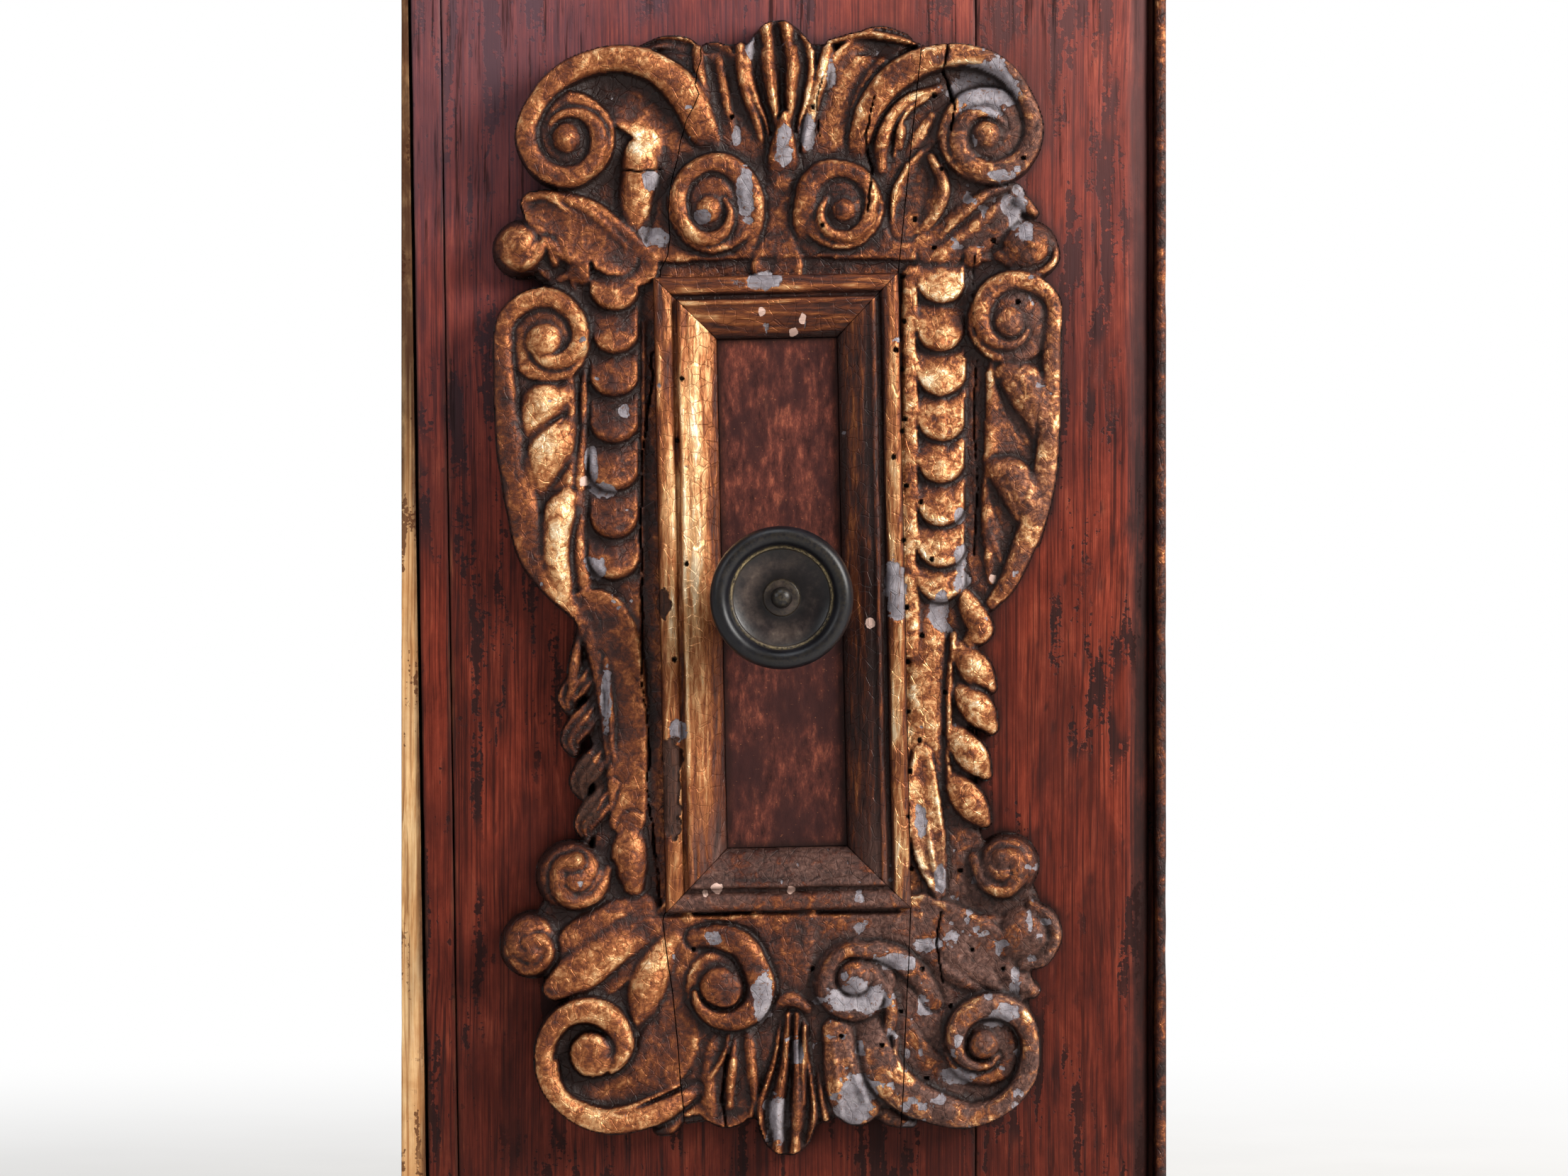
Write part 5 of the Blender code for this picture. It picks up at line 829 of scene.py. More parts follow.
class Value:
    """One output among the nodes of a graph, with plain arithmetic."""

    def __init__(self, graph, socket):
        self.graph, self.socket = graph, socket

    def other(self, name):
        """Another output of the same node."""
        return Value(self.graph, self.socket.node.outputs[name])

    def math(self, kind, other, clamp=False):
        return self.graph.add("Math", {0: self, 1: other}, operation=kind, use_clamp=clamp)

    def __add__(self, other):
        return self.math("ADD", other)

    def __sub__(self, other):
        return self.math("SUBTRACT", other)

    def __mul__(self, other):
        return self.math("MULTIPLY", other)

    def most(self, other):
        return self.math("MAXIMUM", other)

    def rest(self):
        """What is left to 1."""
        return self.graph.add("Math", {0: 1.0, 1: self}, operation="SUBTRACT")

    def span(self, low, high, to_low=0.0, to_high=1.0):
        """Carried smoothly from one span to another and held at its ends."""
        ends = {"Value": self, 1: low, 2: high, 3: to_low, 4: to_high}
        return self.graph.add("MapRange", ends, interpolation_type="SMOOTHSTEP", clamp=True)

    def ramp(self, *stops):
        """A colour by value: each stop is a place and an 8-bit colour."""
        made = self.graph.add("ValToRGB", {"Fac": self})
        elements = made.socket.node.color_ramp.elements
        while len(elements) < len(stops):
            elements.new(0.5)
        for element, (place, *colour) in zip(elements, stops):
            element.position, element.color = place, srgb(*colour)
        return made

    def mix(self, part, colour):
        """This colour with a part of another over it."""
        colour = srgb(*colour) if isinstance(colour, tuple) else colour
        return self.graph.add("Mix", {0: part, 6: self, 7: colour}, 2, data_type="RGBA")

    def bump(self, strength, distance):
        """A surface direction, with this value as its height."""
        return self.graph.add("Bump", {"Height": self, "Strength": strength, "Distance": distance})


class Graph:
    """Builds the nodes of one material, or of the surround."""

    def __init__(self, owner, place="Object"):
        owner.use_nodes = True
        self.owner, self.tree = owner, owner.node_tree
        self.tree.nodes.clear()
        self.place = self.add("TexCoord", out=place)

    def add(self, kind, inputs=None, out=0, **settings):
        """A new node, as the value of one of its outputs."""
        node = self.tree.nodes.new("ShaderNode" + kind)
        for key, value in settings.items():
            setattr(node, key, value)
        for key, value in (inputs or {}).items():
            if isinstance(value, Value):
                self.tree.links.new(value.socket, node.inputs[key])
            else:
                node.inputs[key].default_value = value
        return Value(self, node.outputs[out])

    def field(self, name):
        """What a piece says of itself at each point."""
        return self.add("Attribute", out="Fac", attribute_name=name)

    def coordinate(self, letter):
        return self.add("SeparateXYZ", {0: self.place}, letter)

    def stretch(self, across, along, axis, offset=0.0):
        """Coordinates scaled to `across` and, down the grain, to `along`."""
        scale = [across] * 3
        scale[axis] = along
        moved = {"Vector": self.place, "Scale": scale, "Location": (offset, offset * 0.7, offset * 0.3)}
        return self.add("Mapping", moved)

    def noise(self, scale, detail, rough=0.55, warp=0.0, at=None):
        looks = {"Scale": scale, "Detail": detail, "Roughness": rough, "Distortion": warp}
        return self.add("TexNoise", {"Vector": at or self.place, **looks}, "Fac")

    def close(self, shader, kind="ShaderNodeOutputMaterial"):
        """Join a shader to the output, and give what the nodes belong to."""
        self.tree.links.new(shader.socket, self.tree.nodes.new(kind).inputs["Surface"])
        return self.owner

    def finish(self, **inputs):
        """Close with a plain surface shader."""
        return self.close(self.add("BsdfPrincipled", {k.replace("_", " "): v for k, v in inputs.items()}))


def wood(name, axis, tones, gloss, marks, seed, painted_light=0.0):
    """Old softwood: rings and streaks down the grain, blotches, short dark scars, dirt and painted shade
    where the piece's field says, and, where asked, a painted cool sheen and a painted warm light high up,
    painted shade low down, and fine dark grain lines.
    """
    g = Graph(bpy.data.materials.new(name))
    deep, dark, plain, light, blotched, dirty_and_shaded, rubbed, scarred = tones

    def fibre(step, across, along, *looks):
        return g.noise(1.0, *looks, at=g.stretch(across, along, axis, seed + step))

    straight = g.place
    sway = (fibre(0, 14, 3.4, 3.0) - 0.5) * 0.012
    push = g.add("CombineXYZ", {0: sway, 1: sway, 2: 0.0 if axis == 2 else sway})
    g.place = g.add("VectorMath", {0: straight, 1: push}, operation="ADD")
    rings = fibre(1, 860, 5.0, 2.0, 0.5)
    broad = fibre(2, 150, 1.8, 2.0, 0.5)
    streak = fibre(3, 2400, 30, 3.0, 0.6)
    blotch = fibre(4, 26, 12, 6.0, 0.66)
    cloud = fibre(9, 70, 26, 6.0, 0.68, 0.5)
    grain = rings * 0.22 + cloud * 0.44 + streak * 0.34
    colour = grain.ramp((0.33, *deep), (0.44, *dark), (0.54, *plain), (0.67, *light))
    pore = rings.span(0.47, 0.41) * fibre(10, 900, 14, 3.0).span(0.36, 0.56)
    colour = colour.mix(pore * 0.6, deep)
    colour = colour.mix(blotch.span(0.40, 0.66) * 0.6 + broad.span(0.45, 0.7) * 0.14, blotched)
    g.place = straight
    where = fibre(6, 22, 12, 3.0, 0.6)
    torn = (fibre(11, 420, 520, 4.0, 0.6) - 0.5) * 0.34
    scar = (fibre(5, 130, 17, 3.0, 0.55) + torn).span(0.566, 0.59) * where.span(0.40, 0.50)
    nick = fibre(7, 260, 190, 3.0, 0.6).span(0.66, 0.69) * where.span(0.46, 0.6)
    marked = scar.most(nick)
    colour = colour.mix(marked * marks, scarred)
    # Dirt and painted shade, where the piece's field says.
    grime = fibre(8, 120, 60, 4.0, 0.7).span(0.1, 0.6, 0.55, 1.0)
    soil = g.field("soil").math("MULTIPLY", grime, clamp=True)
    colour = colour.mix(soil, dirty_and_shaded)
    colour = colour.mix(g.field("rub").span(0.25, 0.85) * streak.span(0.35, 0.6), rubbed)
    # Painted light where asked: a cool sheen painted high up and strongest on the left, a warm light painted
    # high on the right, and shade painted low down. Fine dark grain lines come with it.
    if painted_light:
        side, height = g.coordinate("X"), g.coordinate("Z")
        painted_sky_sheen = height.span(0.40, 0.75, 0.0, painted_light) * where.span(0.25, 0.6, 0.5, 1.0)
        colour = colour.mix(painted_sky_sheen * side.span(-0.1, 0.1, 1.0, 0.4), (124, 92, 102))
        # Painted light: warmer and lighter high up on the right.
        painted_warm_light = height.span(0.46, 0.74, 0.0, 0.24 * painted_light) * side.span(-0.05, 0.1)
        colour = colour.mix(painted_warm_light, (172, 104, 88))
        # Painted shade: darker towards the bottom.
        colour = colour.mix(height.span(0.12, 0.50, 1.2 * painted_light, 0.0), deep)
        line = fibre(12, 380, 15, 5.0, 0.68).span(0.53, 0.64)
        colour = colour.mix(line * where.span(0.38, 0.58, 0.05, 0.80), scarred)
    rough = streak.span(0.2, 0.8, gloss, gloss + 0.16) + marked * 0.2
    rough = rough.math("ADD", soil * 0.3, clamp=True)
    normal = (grain - marked * 0.5).bump(0.45, 0.0006)
    return g.finish(Base_Color=colour, Roughness=rough, Normal=normal, Specular_IOR_Level=0.13)


def gilding(name, axis=None):
    """Worn leaf over red ground: bright remains, a painted highlight on ridges, brown glaze and painted
    shade in the hollows, pale gesso where it flaked.
    """
    g = Graph(bpy.data.materials.new(name))
    cavity, soil = g.field("cavity"), g.field("soil")
    at = g.place if axis is None else g.stretch(1.4, 0.2, axis)
    fine = g.noise(620, 5.0, 0.62, at=at)
    middle = g.noise(170, 6.0, 0.66, 0.6, at=at)
    broad = g.noise(48, 4.0, 0.6, at=at)
    worn = g.coordinate("X").span(-0.06, 0.05, 0.74, 1.0)
    patch = (middle - 0.5) * 1.7 + (fine - 0.5) * 0.85
    leaf = g.field("leaf") + patch * worn + (broad - 0.5) * 0.8
    # Ridges get burnish and a painted highlight; hollows get darker, as glaze and painted shade.
    leaf = leaf + g.field("ridge") * 0.22 - cavity * 0.85 - 0.04
    colour = leaf.ramp((0.00, 30, 12, 8), (0.20, 60, 27, 17), (0.38, 100, 52, 30), (0.56, 152, 92, 54),
                       (0.78, 210, 160, 111), (1.0, 247, 222, 184))
    crust = g.field("dull") * (middle + broad * 0.7).span(0.98, 0.78)
    crumbs = ((fine + middle) * 0.5).ramp((0.38, 48, 28, 22), (0.5, 84, 55, 46), (0.62, 124, 92, 81))
    colour = colour.mix(crust, crumbs)
    edge = (g.noise(900, 4.0, 0.7) - 0.5) * 0.5
    lost = (g.field("gesso") + edge).span(0.50, 0.56)
    bare = (g.field("bare") + edge).span(0.50, 0.58)
    pink = (g.field("chip") + edge).span(0.52, 0.58)
    pale = g.noise(160, 5.0, 0.65).ramp((0.30, 92, 84, 88), (0.50, 128, 121, 126), (0.70, 160, 153, 157))
    colour = colour.mix(lost, pale.mix(fine.span(0.56, 0.68), (104, 76, 64)))
    colour = colour.mix(bare, fine.ramp((0.35, 36, 19, 13), (0.65, 74, 42, 28)))
    colour = colour.mix(pink, (206, 172, 158))
    gone = lost.most(bare).most(pink)
    # Brown glaze and painted shade in the hollows, then dirt and painted shade where the piece's field says.
    glaze_and_painted_shade = cavity.math("POWER", 1.2) * middle.span(0.3, 0.65, 0.55, 0.92)
    colour = colour.mix(glaze_and_painted_shade, (34, 13, 7)).mix(soil, (22, 9, 6))
    metal = leaf.span(0.15, 0.55, 0.05, 0.65) * crust.rest() * gone.rest() * soil.most(glaze_and_painted_shade).rest()
    rough = leaf.span(0.2, 0.9, 0.40, 0.26) + crust * 0.22
    rough = rough.math("ADD", gone * 0.3, clamp=True)
    cell = g.add("TexVoronoi", {"Vector": g.place, "Scale": 190.0}, "Distance", feature="DISTANCE_TO_EDGE")
    relief = middle * 0.8 + fine * 0.5 + cell.span(0.0, 0.05) * 0.22 - gone * 0.35
    normal = relief.bump(0.85, 0.0011)
    return g.finish(Base_Color=colour, Metallic=metal, Roughness=rough, Normal=normal,
                    Specular_IOR_Level=0.24)


def paint(name):
    """Flat red-brown paint, dappled and rubbed, with painted shade: darker low down, and round the knob and
    the edges.
    """
    g = Graph(bpy.data.materials.new(name))
    dapple = g.noise(1.0, 7.0, 0.74, at=g.stretch(330, 120, 2))
    broad = g.noise(1.0, 6.0, 0.66, at=g.stretch(60, 34, 2))
    colour = dapple.ramp((0.32, 34, 15, 13), (0.44, 70, 35, 29), (0.55, 98, 49, 39), (0.69, 156, 86, 62))
    colour = colour.mix(broad.span(0.40, 0.62, 0.0, 0.9), (48, 24, 23))
    # Painted shade: darker towards the bottom of the field.
    colour = colour.mix(g.coordinate("Z").span(0.33, 0.46, 0.34, 0.06), (38, 17, 15))
    colour = colour.mix(g.noise(700, 3.0, 0.6).span(0.66, 0.72) * 0.5, (150, 92, 62))
    colour = colour.mix(g.field("soil"), (30, 15, 12))
    rough, normal = dapple.span(0.2, 0.8, 0.46, 0.62), dapple.bump(0.35, 0.0005)
    return g.finish(Base_Color=colour, Roughness=rough, Normal=normal, Specular_IOR_Level=0.14)


def bronze(name):
    """Nearly black bronze, brown in the dish, bright where hands rub it."""
    g = Graph(bpy.data.materials.new(name))
    cloud, fine = g.noise(110, 7.0, 0.68), g.noise(900, 4.0, 0.65)
    colour = cloud.ramp((0.30, 8, 8, 11), (0.55, 14, 13, 18), (0.75, 24, 22, 27))
    brown = cloud.ramp((0.30, 22, 17, 18), (0.48, 40, 32, 31), (0.62, 70, 58, 52), (0.74, 96, 83, 74))
    colour = colour.mix(g.field("dish"), brown)
    colour = colour.mix(g.field("rub") * fine.span(0.35, 0.6), (150, 132, 96))
    colour = colour.mix(g.field("soil"), (14, 12, 12))
    rough, normal = cloud.span(0.2, 0.8, 0.30, 0.46), (cloud * 0.5 + fine * 0.3).bump(0.35, 0.0004)
    return g.finish(Base_Color=colour, Metallic=0.0, Roughness=rough, Normal=normal,
                    Specular_IOR_Level=0.27)


def iron(name):
    """Forged iron with scale and a little rust."""
    g = Graph(bpy.data.materials.new(name))
    cloud, rust = g.noise(260, 6.0, 0.65), g.noise(90, 5.0, 0.7).span(0.50, 0.66)
    colour = cloud.ramp((0.3, 38, 35, 34), (0.55, 66, 60, 57), (0.75, 96, 88, 82))
    colour = colour.mix(rust * 0.7, (92, 52, 34))
    metal, rough = rust.span(0.0, 1.0, 0.8, 0.2), cloud.span(0.2, 0.8, 0.45, 0.65)
    return g.finish(Base_Color=colour, Metallic=metal, Roughness=rough, Normal=cloud.bump(0.5, 0.0006))


# Tones of each wood: deep, dark, plain, light, blotched, dirt and painted shade, rubbed, scarred
STAIN = ((34, 11, 8), (88, 32, 21), (122, 48, 32), (166, 81, 56), (60, 22, 16), (24, 10, 8), (150, 92, 62),
         (30, 14, 13))
BARE_WOOD = ((70, 45, 28), (112, 77, 50), (138, 99, 66), (164, 124, 86), (92, 62, 42), (42, 27, 19),
             (176, 138, 98), (58, 38, 27))
PALE_WOOD = ((112, 66, 34), (198, 148, 96), (228, 188, 136), (242, 212, 168), (168, 112, 66), (64, 36, 22),
             (238, 210, 160), (96, 58, 34))
# The last number given to the stained and dusty woods is the strength of their painted sheen, painted warm
# light and painted low shade.
STAINED = [wood(f"stained_softwood_{'xyz'[a]}", a, STAIN, 0.36, 0.9, 3 + a, 0.42) for a in range(3)]
DUSTY = wood("dusty_softwood", 0, STAIN, 0.70, 0.8, 9, 0.2)
INNER = [wood(f"inner_softwood_{'xyz'[a]}", a, BARE_WOOD, 0.58, 0.6, 13 + a) for a in range(3)]
RAW = wood("raw_softwood", 2, PALE_WOOD, 0.5, 0.9, 23)
GILT = gilding("giltwood")
GILT_UPRIGHT = gilding("giltwood_upright", 2)
GILT_ACROSS = gilding("giltwood_across", 0)
PAINT = paint("painted_wood")
BRONZE = bronze("dark_bronze")
IRON = iron("wrought_iron")


# Boards, turnings and mouldings
def loft(rings, loop=False):
    """Vertices and faces of a skin round rows of points, capped at both ends unless it closes on itself."""
    rings = np.asarray(rings, float)
    rows, cols = rings.shape[:2]
    index = np.arange(rows * cols).reshape(rows, cols)
    across = np.roll(index, -1, axis=1)
    quads = np.stack([index, across, np.roll(across, -1, axis=0), np.roll(index, -1, axis=0)], axis=-1)
    faces = (quads if loop else quads[:-1]).reshape(-1, 4).tolist()
    if not loop:
        faces += [index[0][::-1].tolist(), index[-1].tolist()]
    return rings.reshape(-1, 3), faces


def block(low, high, axis, radii, pitch, wear, seed):
    """A board with rounded, uneven arrises: its points by station and place round it, and their rub."""
    end, least, edge_reach, end_reach = 0.0010, 0.00004, 0.0025, 0.003
    low, high = np.array(low, float), np.array(high, float)
    a, b = [k for k in range(3) if k != axis]
    middle, half = (low + high) / 2, (high - low) / 2
    radii, pitch = np.broadcast_to(radii, 4), np.broadcast_to(pitch, 5)
    signs = ((1, 1), (-1, 1), (-1, -1), (1, -1))
    arc = np.radians(np.linspace(0, 90, 5))
    counts = []
    for k in range(4):
        span = 2 * half[b if k % 2 else a] - radii[k] - radii[(k + 1) % 4]
        counts.append(max(1, round(span / pitch[k])))

    def corner(k, inset):
        r = max(radii[k] - inset, least)
        return np.array((signs[k][0] * (half[a] - inset - r), signs[k][1] * (half[b] - inset - r))), r

    def ring(inset):
        points, out, rub = [], [], []
        for k in range(4):
            (centre, r), (next_centre, next_r) = corner(k, inset), corner((k + 1) % 4, inset)
            turn = arc + k * math.pi / 2
            way = np.column_stack([np.cos(turn), np.sin(turn)])
            points += list(centre + r * way)
            out += list(way)
            rub += [1.0] * len(arc)
            start, stop = points[-1], next_centre + next_r * way[-1]
            for f in np.arange(1, counts[k]) / counts[k]:
                points.append(start + f * (stop - start))
                out.append(way[-1])
                near = min(f, 1 - f) * np.hypot(*(stop - start))
                rub.append(math.exp(-near / edge_reach))
        return np.array(points), np.array(out), np.array(rub)

    first, last = low[axis], high[axis]
    caps = [(end * (1 - math.sin(q)), end * (1 - math.cos(q))) for q in np.radians((90, 60, 30))]
    places = [(first + d, inset) for d, inset in caps]
    stations = max(2, round((last - first) / pitch[4])) + 1
    places += [(t, 0.0) for t in np.linspace(first + end, last - end, stations)]
    places += [(last - d, inset) for d, inset in caps[::-1]]
    rings, rubs = [], []
    around_mm = 1000 * np.cumsum(np.r_[0, np.hypot(*np.diff(ring(0)[0], axis=0).T)])
    for t, inset in places:
        points, out, rub = ring(inset)
        rub = np.maximum(rub, math.exp(-min(t - first, last - t) / end_reach))
        dent = share(noise(around_mm + 40 * seed, t * 1000, 24, seed, 3))
        flat = 0.5 + 0.5 * noise(around_mm, t * 1000, 70, seed + 9, 2)
        moved = points - out * (wear * (flat * 0.6 + rub * dent * 2.2))[:, None]
        full = np.empty((len(points), 3))
        full[:, a], full[:, b], full[:, axis] = moved[:, 0] + middle[a], moved[:, 1] + middle[b], t
        rings.append(full)
        rubs.append(rub * (0.35 + 0.65 * share(0.5 + noise(around_mm, t * 1000, 18, seed + 4, 3))))
    return np.array(rings), np.array(rubs)


def default_soil(points, seed):
    """Dirt that gathers low down and in clouds."""
    x, y, z = (points[..., k] * 1000 for k in range(3))
    cloud = np.clip(noise(x + 0.7 * y, z + 0.4 * y, 60, seed, 3) * 0.5 + 0.08, 0, 0.4)
    return share(cloud + 0.55 * np.exp(-z / 22))


def board(node, axis, material, slot, seed, body="carcass", radii=0.0014, pitch=0.008, wear=0.0004,
          warp=None, soil=None, rubbed=1.0):
    """A plain board in place of a node, with its rounded, worn edges."""
    rings, rub = block(*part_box(node), axis, radii, pitch, wear, seed)
    if warp:
        rings = warp(rings)
    grime_and_shade = soil(rings) if soil else default_soil(rings, seed)
    fields = {"rub": rubbed * rub, "soil": grime_and_shade}
    return make_piece(node + "_worn", *loft(rings), material, body, slot, (node,), fields)


def bore(thing, at, axis, radius, length):
    """Cut a round hole."""
    bm = bmesh.new()
    bmesh.ops.create_cone(bm, cap_ends=True, segments=32, radius1=radius, radius2=radius, depth=length)
    turn = Vector((0, 0, 1)).rotation_difference(Vector(axis)).to_matrix().to_4x4()
    bm.transform(Matrix.Translation(at) @ turn)
    tool = in_scene("bore", mesh_of("bore", bm))
    change = thing.modifiers.new("bore", "BOOLEAN")
    change.object, change.operation, change.solver = tool, "DIFFERENCE", "EXACT"
    bpy.context.view_layer.update()
    done = bpy.data.meshes.new_from_object(thing.evaluated_get(bpy.context.evaluated_depsgraph_get()))
    thing.modifiers.remove(change)
    thing.data = done
    bpy.data.objects.remove(tool)


def pin_hole(thing, z):
    """Room for a pin of the door."""
    bore(thing, (*PIVOT, z), (0, 0, 1), PIVOT_BORE, PIVOT_DEPTH)


def spindle_hole(thing, y):
    """Room for the spindle of the knob."""
    bore(thing, (KNOB.x, y, KNOB.z), (0, 1, 0), SPINDLE_BORE, SPINDLE_DEPTH)


def lathe(node, profile, at, to_front, material, body, slot, steps, closed, coat):
    """Turn a profile of (radius, along) about an axis that points to the front, or else up."""
    p = np.asarray(profile, float)
    turn = np.linspace(0, 2 * math.pi, steps, endpoint=False)
    x, side, along = p[:, :1] * np.cos(turn), p[:, :1] * np.sin(turn), p[:, 1:] + 0 * turn
    rings = np.stack([x, -along, side] if to_front else [x, side, along], axis=-1) + np.array(at)
    fields = {k: np.broadcast_to(v, (len(p), steps)) for k, v in coat(p, turn).items()}
    make_piece(node + "_turned", *loft(rings, closed), material, body, slot, (node,), fields)


def rounded(points, radius, steps=4):
    """A profile with its inner corners eased."""
    p = [np.array(q, float) for q in points]
    out = [p[0]]
    for a, b, c in zip(p, p[1:], p[2:]):
        reach = min(radius, 0.45 * np.linalg.norm(a - b), 0.45 * np.linalg.norm(c - b))
        start, stop = (b + (q - b) / max(np.linalg.norm(q - b), 1e-9) * reach for q in (a, c))
        for f in np.linspace(0, 1, steps):
            out.append((1 - f) ** 2 * start + 2 * f * (1 - f) * b + f * f * stop)
    return np.array(out + [p[-1]])


def moulding(node, profile, start, along, out, length, ends, seed):
    """A worn moulding: a profile of (out, up) swept along a line, mitred where ends says."""
    along, out, start = np.array(along, float), np.array(out, float), np.array(start, float)
    trim, pitch, flat = 0.75 * GAP, 0.006, 0.0008
    reach, rise = profile.T
    first = -ends[0] * reach + (trim if ends[0] else 0)
    last = length + ends[1] * reach - (trim if ends[1] else 0)
    arc = np.r_[0, np.cumsum(np.hypot(*np.diff(profile, axis=0).T))] * 1000
    edge = share((reach - np.roll(reach, 6) + reach - np.roll(reach, -6)) / 0.004)
    hollow = share(1 - reach / max(reach.max(), 1e-9))
    rings, rub, soil = [], [], []
    for f in np.linspace(0, 1, max(2, round(length / pitch)) + 1):
        t = first + f * (last - first)
        rough = noise(arc + 31 * seed, t * 1000, 26, seed, 3)
        inward = np.where(reach > flat, 0.00022 * (1 + rough) + 0.0005 * edge * share(rough), 0)
        lift = np.outer(rise, (0, 0, 1.0))
        rings.append(start + along * t[:, None] + out * (reach - inward)[:, None] + lift)
        rub.append(share(edge * (0.55 + 0.6 * rough)))
        soil.append(share(0.75 * hollow * (0.8 + 0.4 * rough)))
    grain = STAINED[0 if abs(along[0]) > 0.5 else 1]
    fields = {"rub": np.array(rub), "soil": np.array(soil)}
    make_piece(node + "_worn", *loft(rings), grain, "carcass", "stained_softwood", (node,), fields)


def grid_slab(u, v, h):
    """A slab with a shaped top on the door, from millimetre grids: vertices, faces, grid point of each."""
    rows, cols = u.shape
    index = np.arange(rows * cols).reshape(rows, cols)
    quads = index[:-1, :-1], index[:-1, 1:], index[1:, 1:], index[1:, :-1]
    faces = np.stack(quads, axis=-1).reshape(-1, 4).tolist()
    rim = np.r_[index[0, :-1], index[:-1, -1], index[-1, :0:-1], index[:0:-1, 0]]
    low = rows * cols + np.arange(len(rim))
    faces += np.column_stack([np.roll(rim, -1), rim, low, np.roll(low, -1)]).tolist()
    faces.append(low.tolist())
    top = np.column_stack([u.ravel(), v.ravel(), h.ravel()])
    return on_door(np.vstack([top, top[rim] * (1, 1, 0)])), faces, np.r_[np.arange(rows * cols), rim]


# Section of the frame from its inner edge out: place, height in millimetres, how hollow it is there
FRAME_PLACES = (0, .03, .12, .25, .36, .43, .48, .52, .545, .59, .615, .635, .695, .72, .76, .82, .93,
                .975, 1.0)
FRAME_HEIGHTS = (7, 8.4, 10.7, 13.1, 14.8, 15.4, 15.5, 15.9, 16.7, 16.8, 16.2, 13.9, 13.7, 15.2, 16.4, 16.9,
                 17, 16.4, 14.6)
FRAME_HOLLOWS = (.75, .5, .2, .08, .08, .12, .35, .3, 0, 0, .15, .85, .85, .3, 0, 0, 0, .1, .5)
# Members of the frame: name, whether it stands upright, its side, how much dirt and painted shade its
# hollows get (least on the left member, whose hollows face the light from the right), its gilding
FRAME_MEMBERS = (
    ("left", True, -1, 0.35, GILT_UPRIGHT), ("right", True, 1, 1.0, GILT_UPRIGHT),
    ("top", False, 1, 0.7, GILT_ACROSS), ("bottom", False, -1, 0.8, GILT),
)


def build_frame():
    """The four members of the moulded frame, mitred, chipped and wormed."""
    pitch, columns, mitre_gap = 0.75, 53, 0.16
    for name, stands, side, dirty_and_shaded, gilt in FRAME_MEMBERS:
        inner, run = FIELD if stands else FIELD[::-1]
        s = np.linspace(-1, 1, round(2 * (run + MOULDING) / pitch) + 1)[:, None]
        d = np.linspace(0, MOULDING, columns)[None, :]
        across, along = side * (inner + d + 0 * s), s * (run + d - mitre_gap)
        x, z = tilted(across, along) if stands else tilted(along, across)
        place = share((d + 0.30 * noise(x, z, 22, 14, 2)) / MOULDING)
        h = np.interp(place, FRAME_PLACES, FRAME_HEIGHTS)
        h = h - 0.22 * (1 + noise(x, z, 9, 5, 3)) - 0.08 * (1 + noise(x, z, 2.2, 6, 2))
        fields = paint_fields(x, z)
        h = h - 0.5 * flaked(fields) - 1.6 * share((fields["bare"] - 0.5) / 0.2)
        mitre = share(1 - (run + MOULDING - np.abs(along) - (MOULDING - d)) / 0.8)
        h = h - 0.2 * mitre
        soil = np.maximum(mitre * np.where(z < 0, 0.0, 0.16), 0.35 * share(noise(x, z, 30, 18, 3)))
        h, soil = worm(h, soil, x, z, 0.95, 2.4, 1.25, 0.3)
        # Its hollows take glaze and painted shade, scaled by side.
        fields.update(cavity=dirty_and_shaded * np.interp(place, FRAME_PLACES, FRAME_HOLLOWS), soil=soil)
        if name == "bottom":
            fields.update(dull=0.8 + 0 * x, leaf=0.7 * fields["leaf"])
        elif stands:
            low = ease(-z, 84, 116) * ease(MOULDING - d, 8, 15)
            fields.update(dull=np.maximum(fields["dull"], 0.8 * low), leaf=fields["leaf"] * (1 - 0.5 * low))
        verts, faces, source = grid_slab(x, z, h)
        fields = {k: f.ravel()[source] for k, f in fields.items()}
        node = "frame_" + name
        make_piece(node + "_gilt", verts, faces, gilt, "door", "giltwood", (node,), fields, 50)


def build_panel():
    """The painted field behind the knob."""
    margin, columns, rows = 0.3, 60, 220
    s = np.linspace(-1, 1, columns) * (FIELD[0] - margin)
    t = np.linspace(-1, 1, rows) * (FIELD[1] - margin)
    s, t = np.meshgrid(s, t)
    x, z = tilted(s, t)
    h = np.minimum(PANEL_TOP - 0.1 + 0.10 * noise(x, z, 14, 2, 3), PANEL_TOP)
    edge = np.minimum(FIELD[0] - np.abs(s), FIELD[1] - np.abs(t))
    knob = np.hypot(x + 1, z + 4)
    # Painted shadow of the frame along the field's edges and of the knob round it, with a little noise.
    soil = np.maximum(share(1 - edge / 5.0) ** 1.5, 0.85 * share(1 - (knob - 11) / 16))
    soil = share(soil + 0.22 * noise(x, z, 18, 3, 3))
    verts, faces, source = grid_slab(x, z, h)
    node, fields = "painted_panel", {"soil": soil.ravel()[source]}
    panel = make_piece(node + "_worn", verts, faces, PAINT, "door", "painted_wood", (node,), fields)
    spindle_hole(panel, FRONT)


def door_left(z):
    """The door's left edge, which leans as the slip beside it does."""
    up = (z - DOOR_BOTTOM) / (DOOR_TOP - DOOR_BOTTOM)
    return SLIP_FOOT + up * (SLIP_HEAD - SLIP_FOOT) + SLIP_GAP - HALF_WIDTH


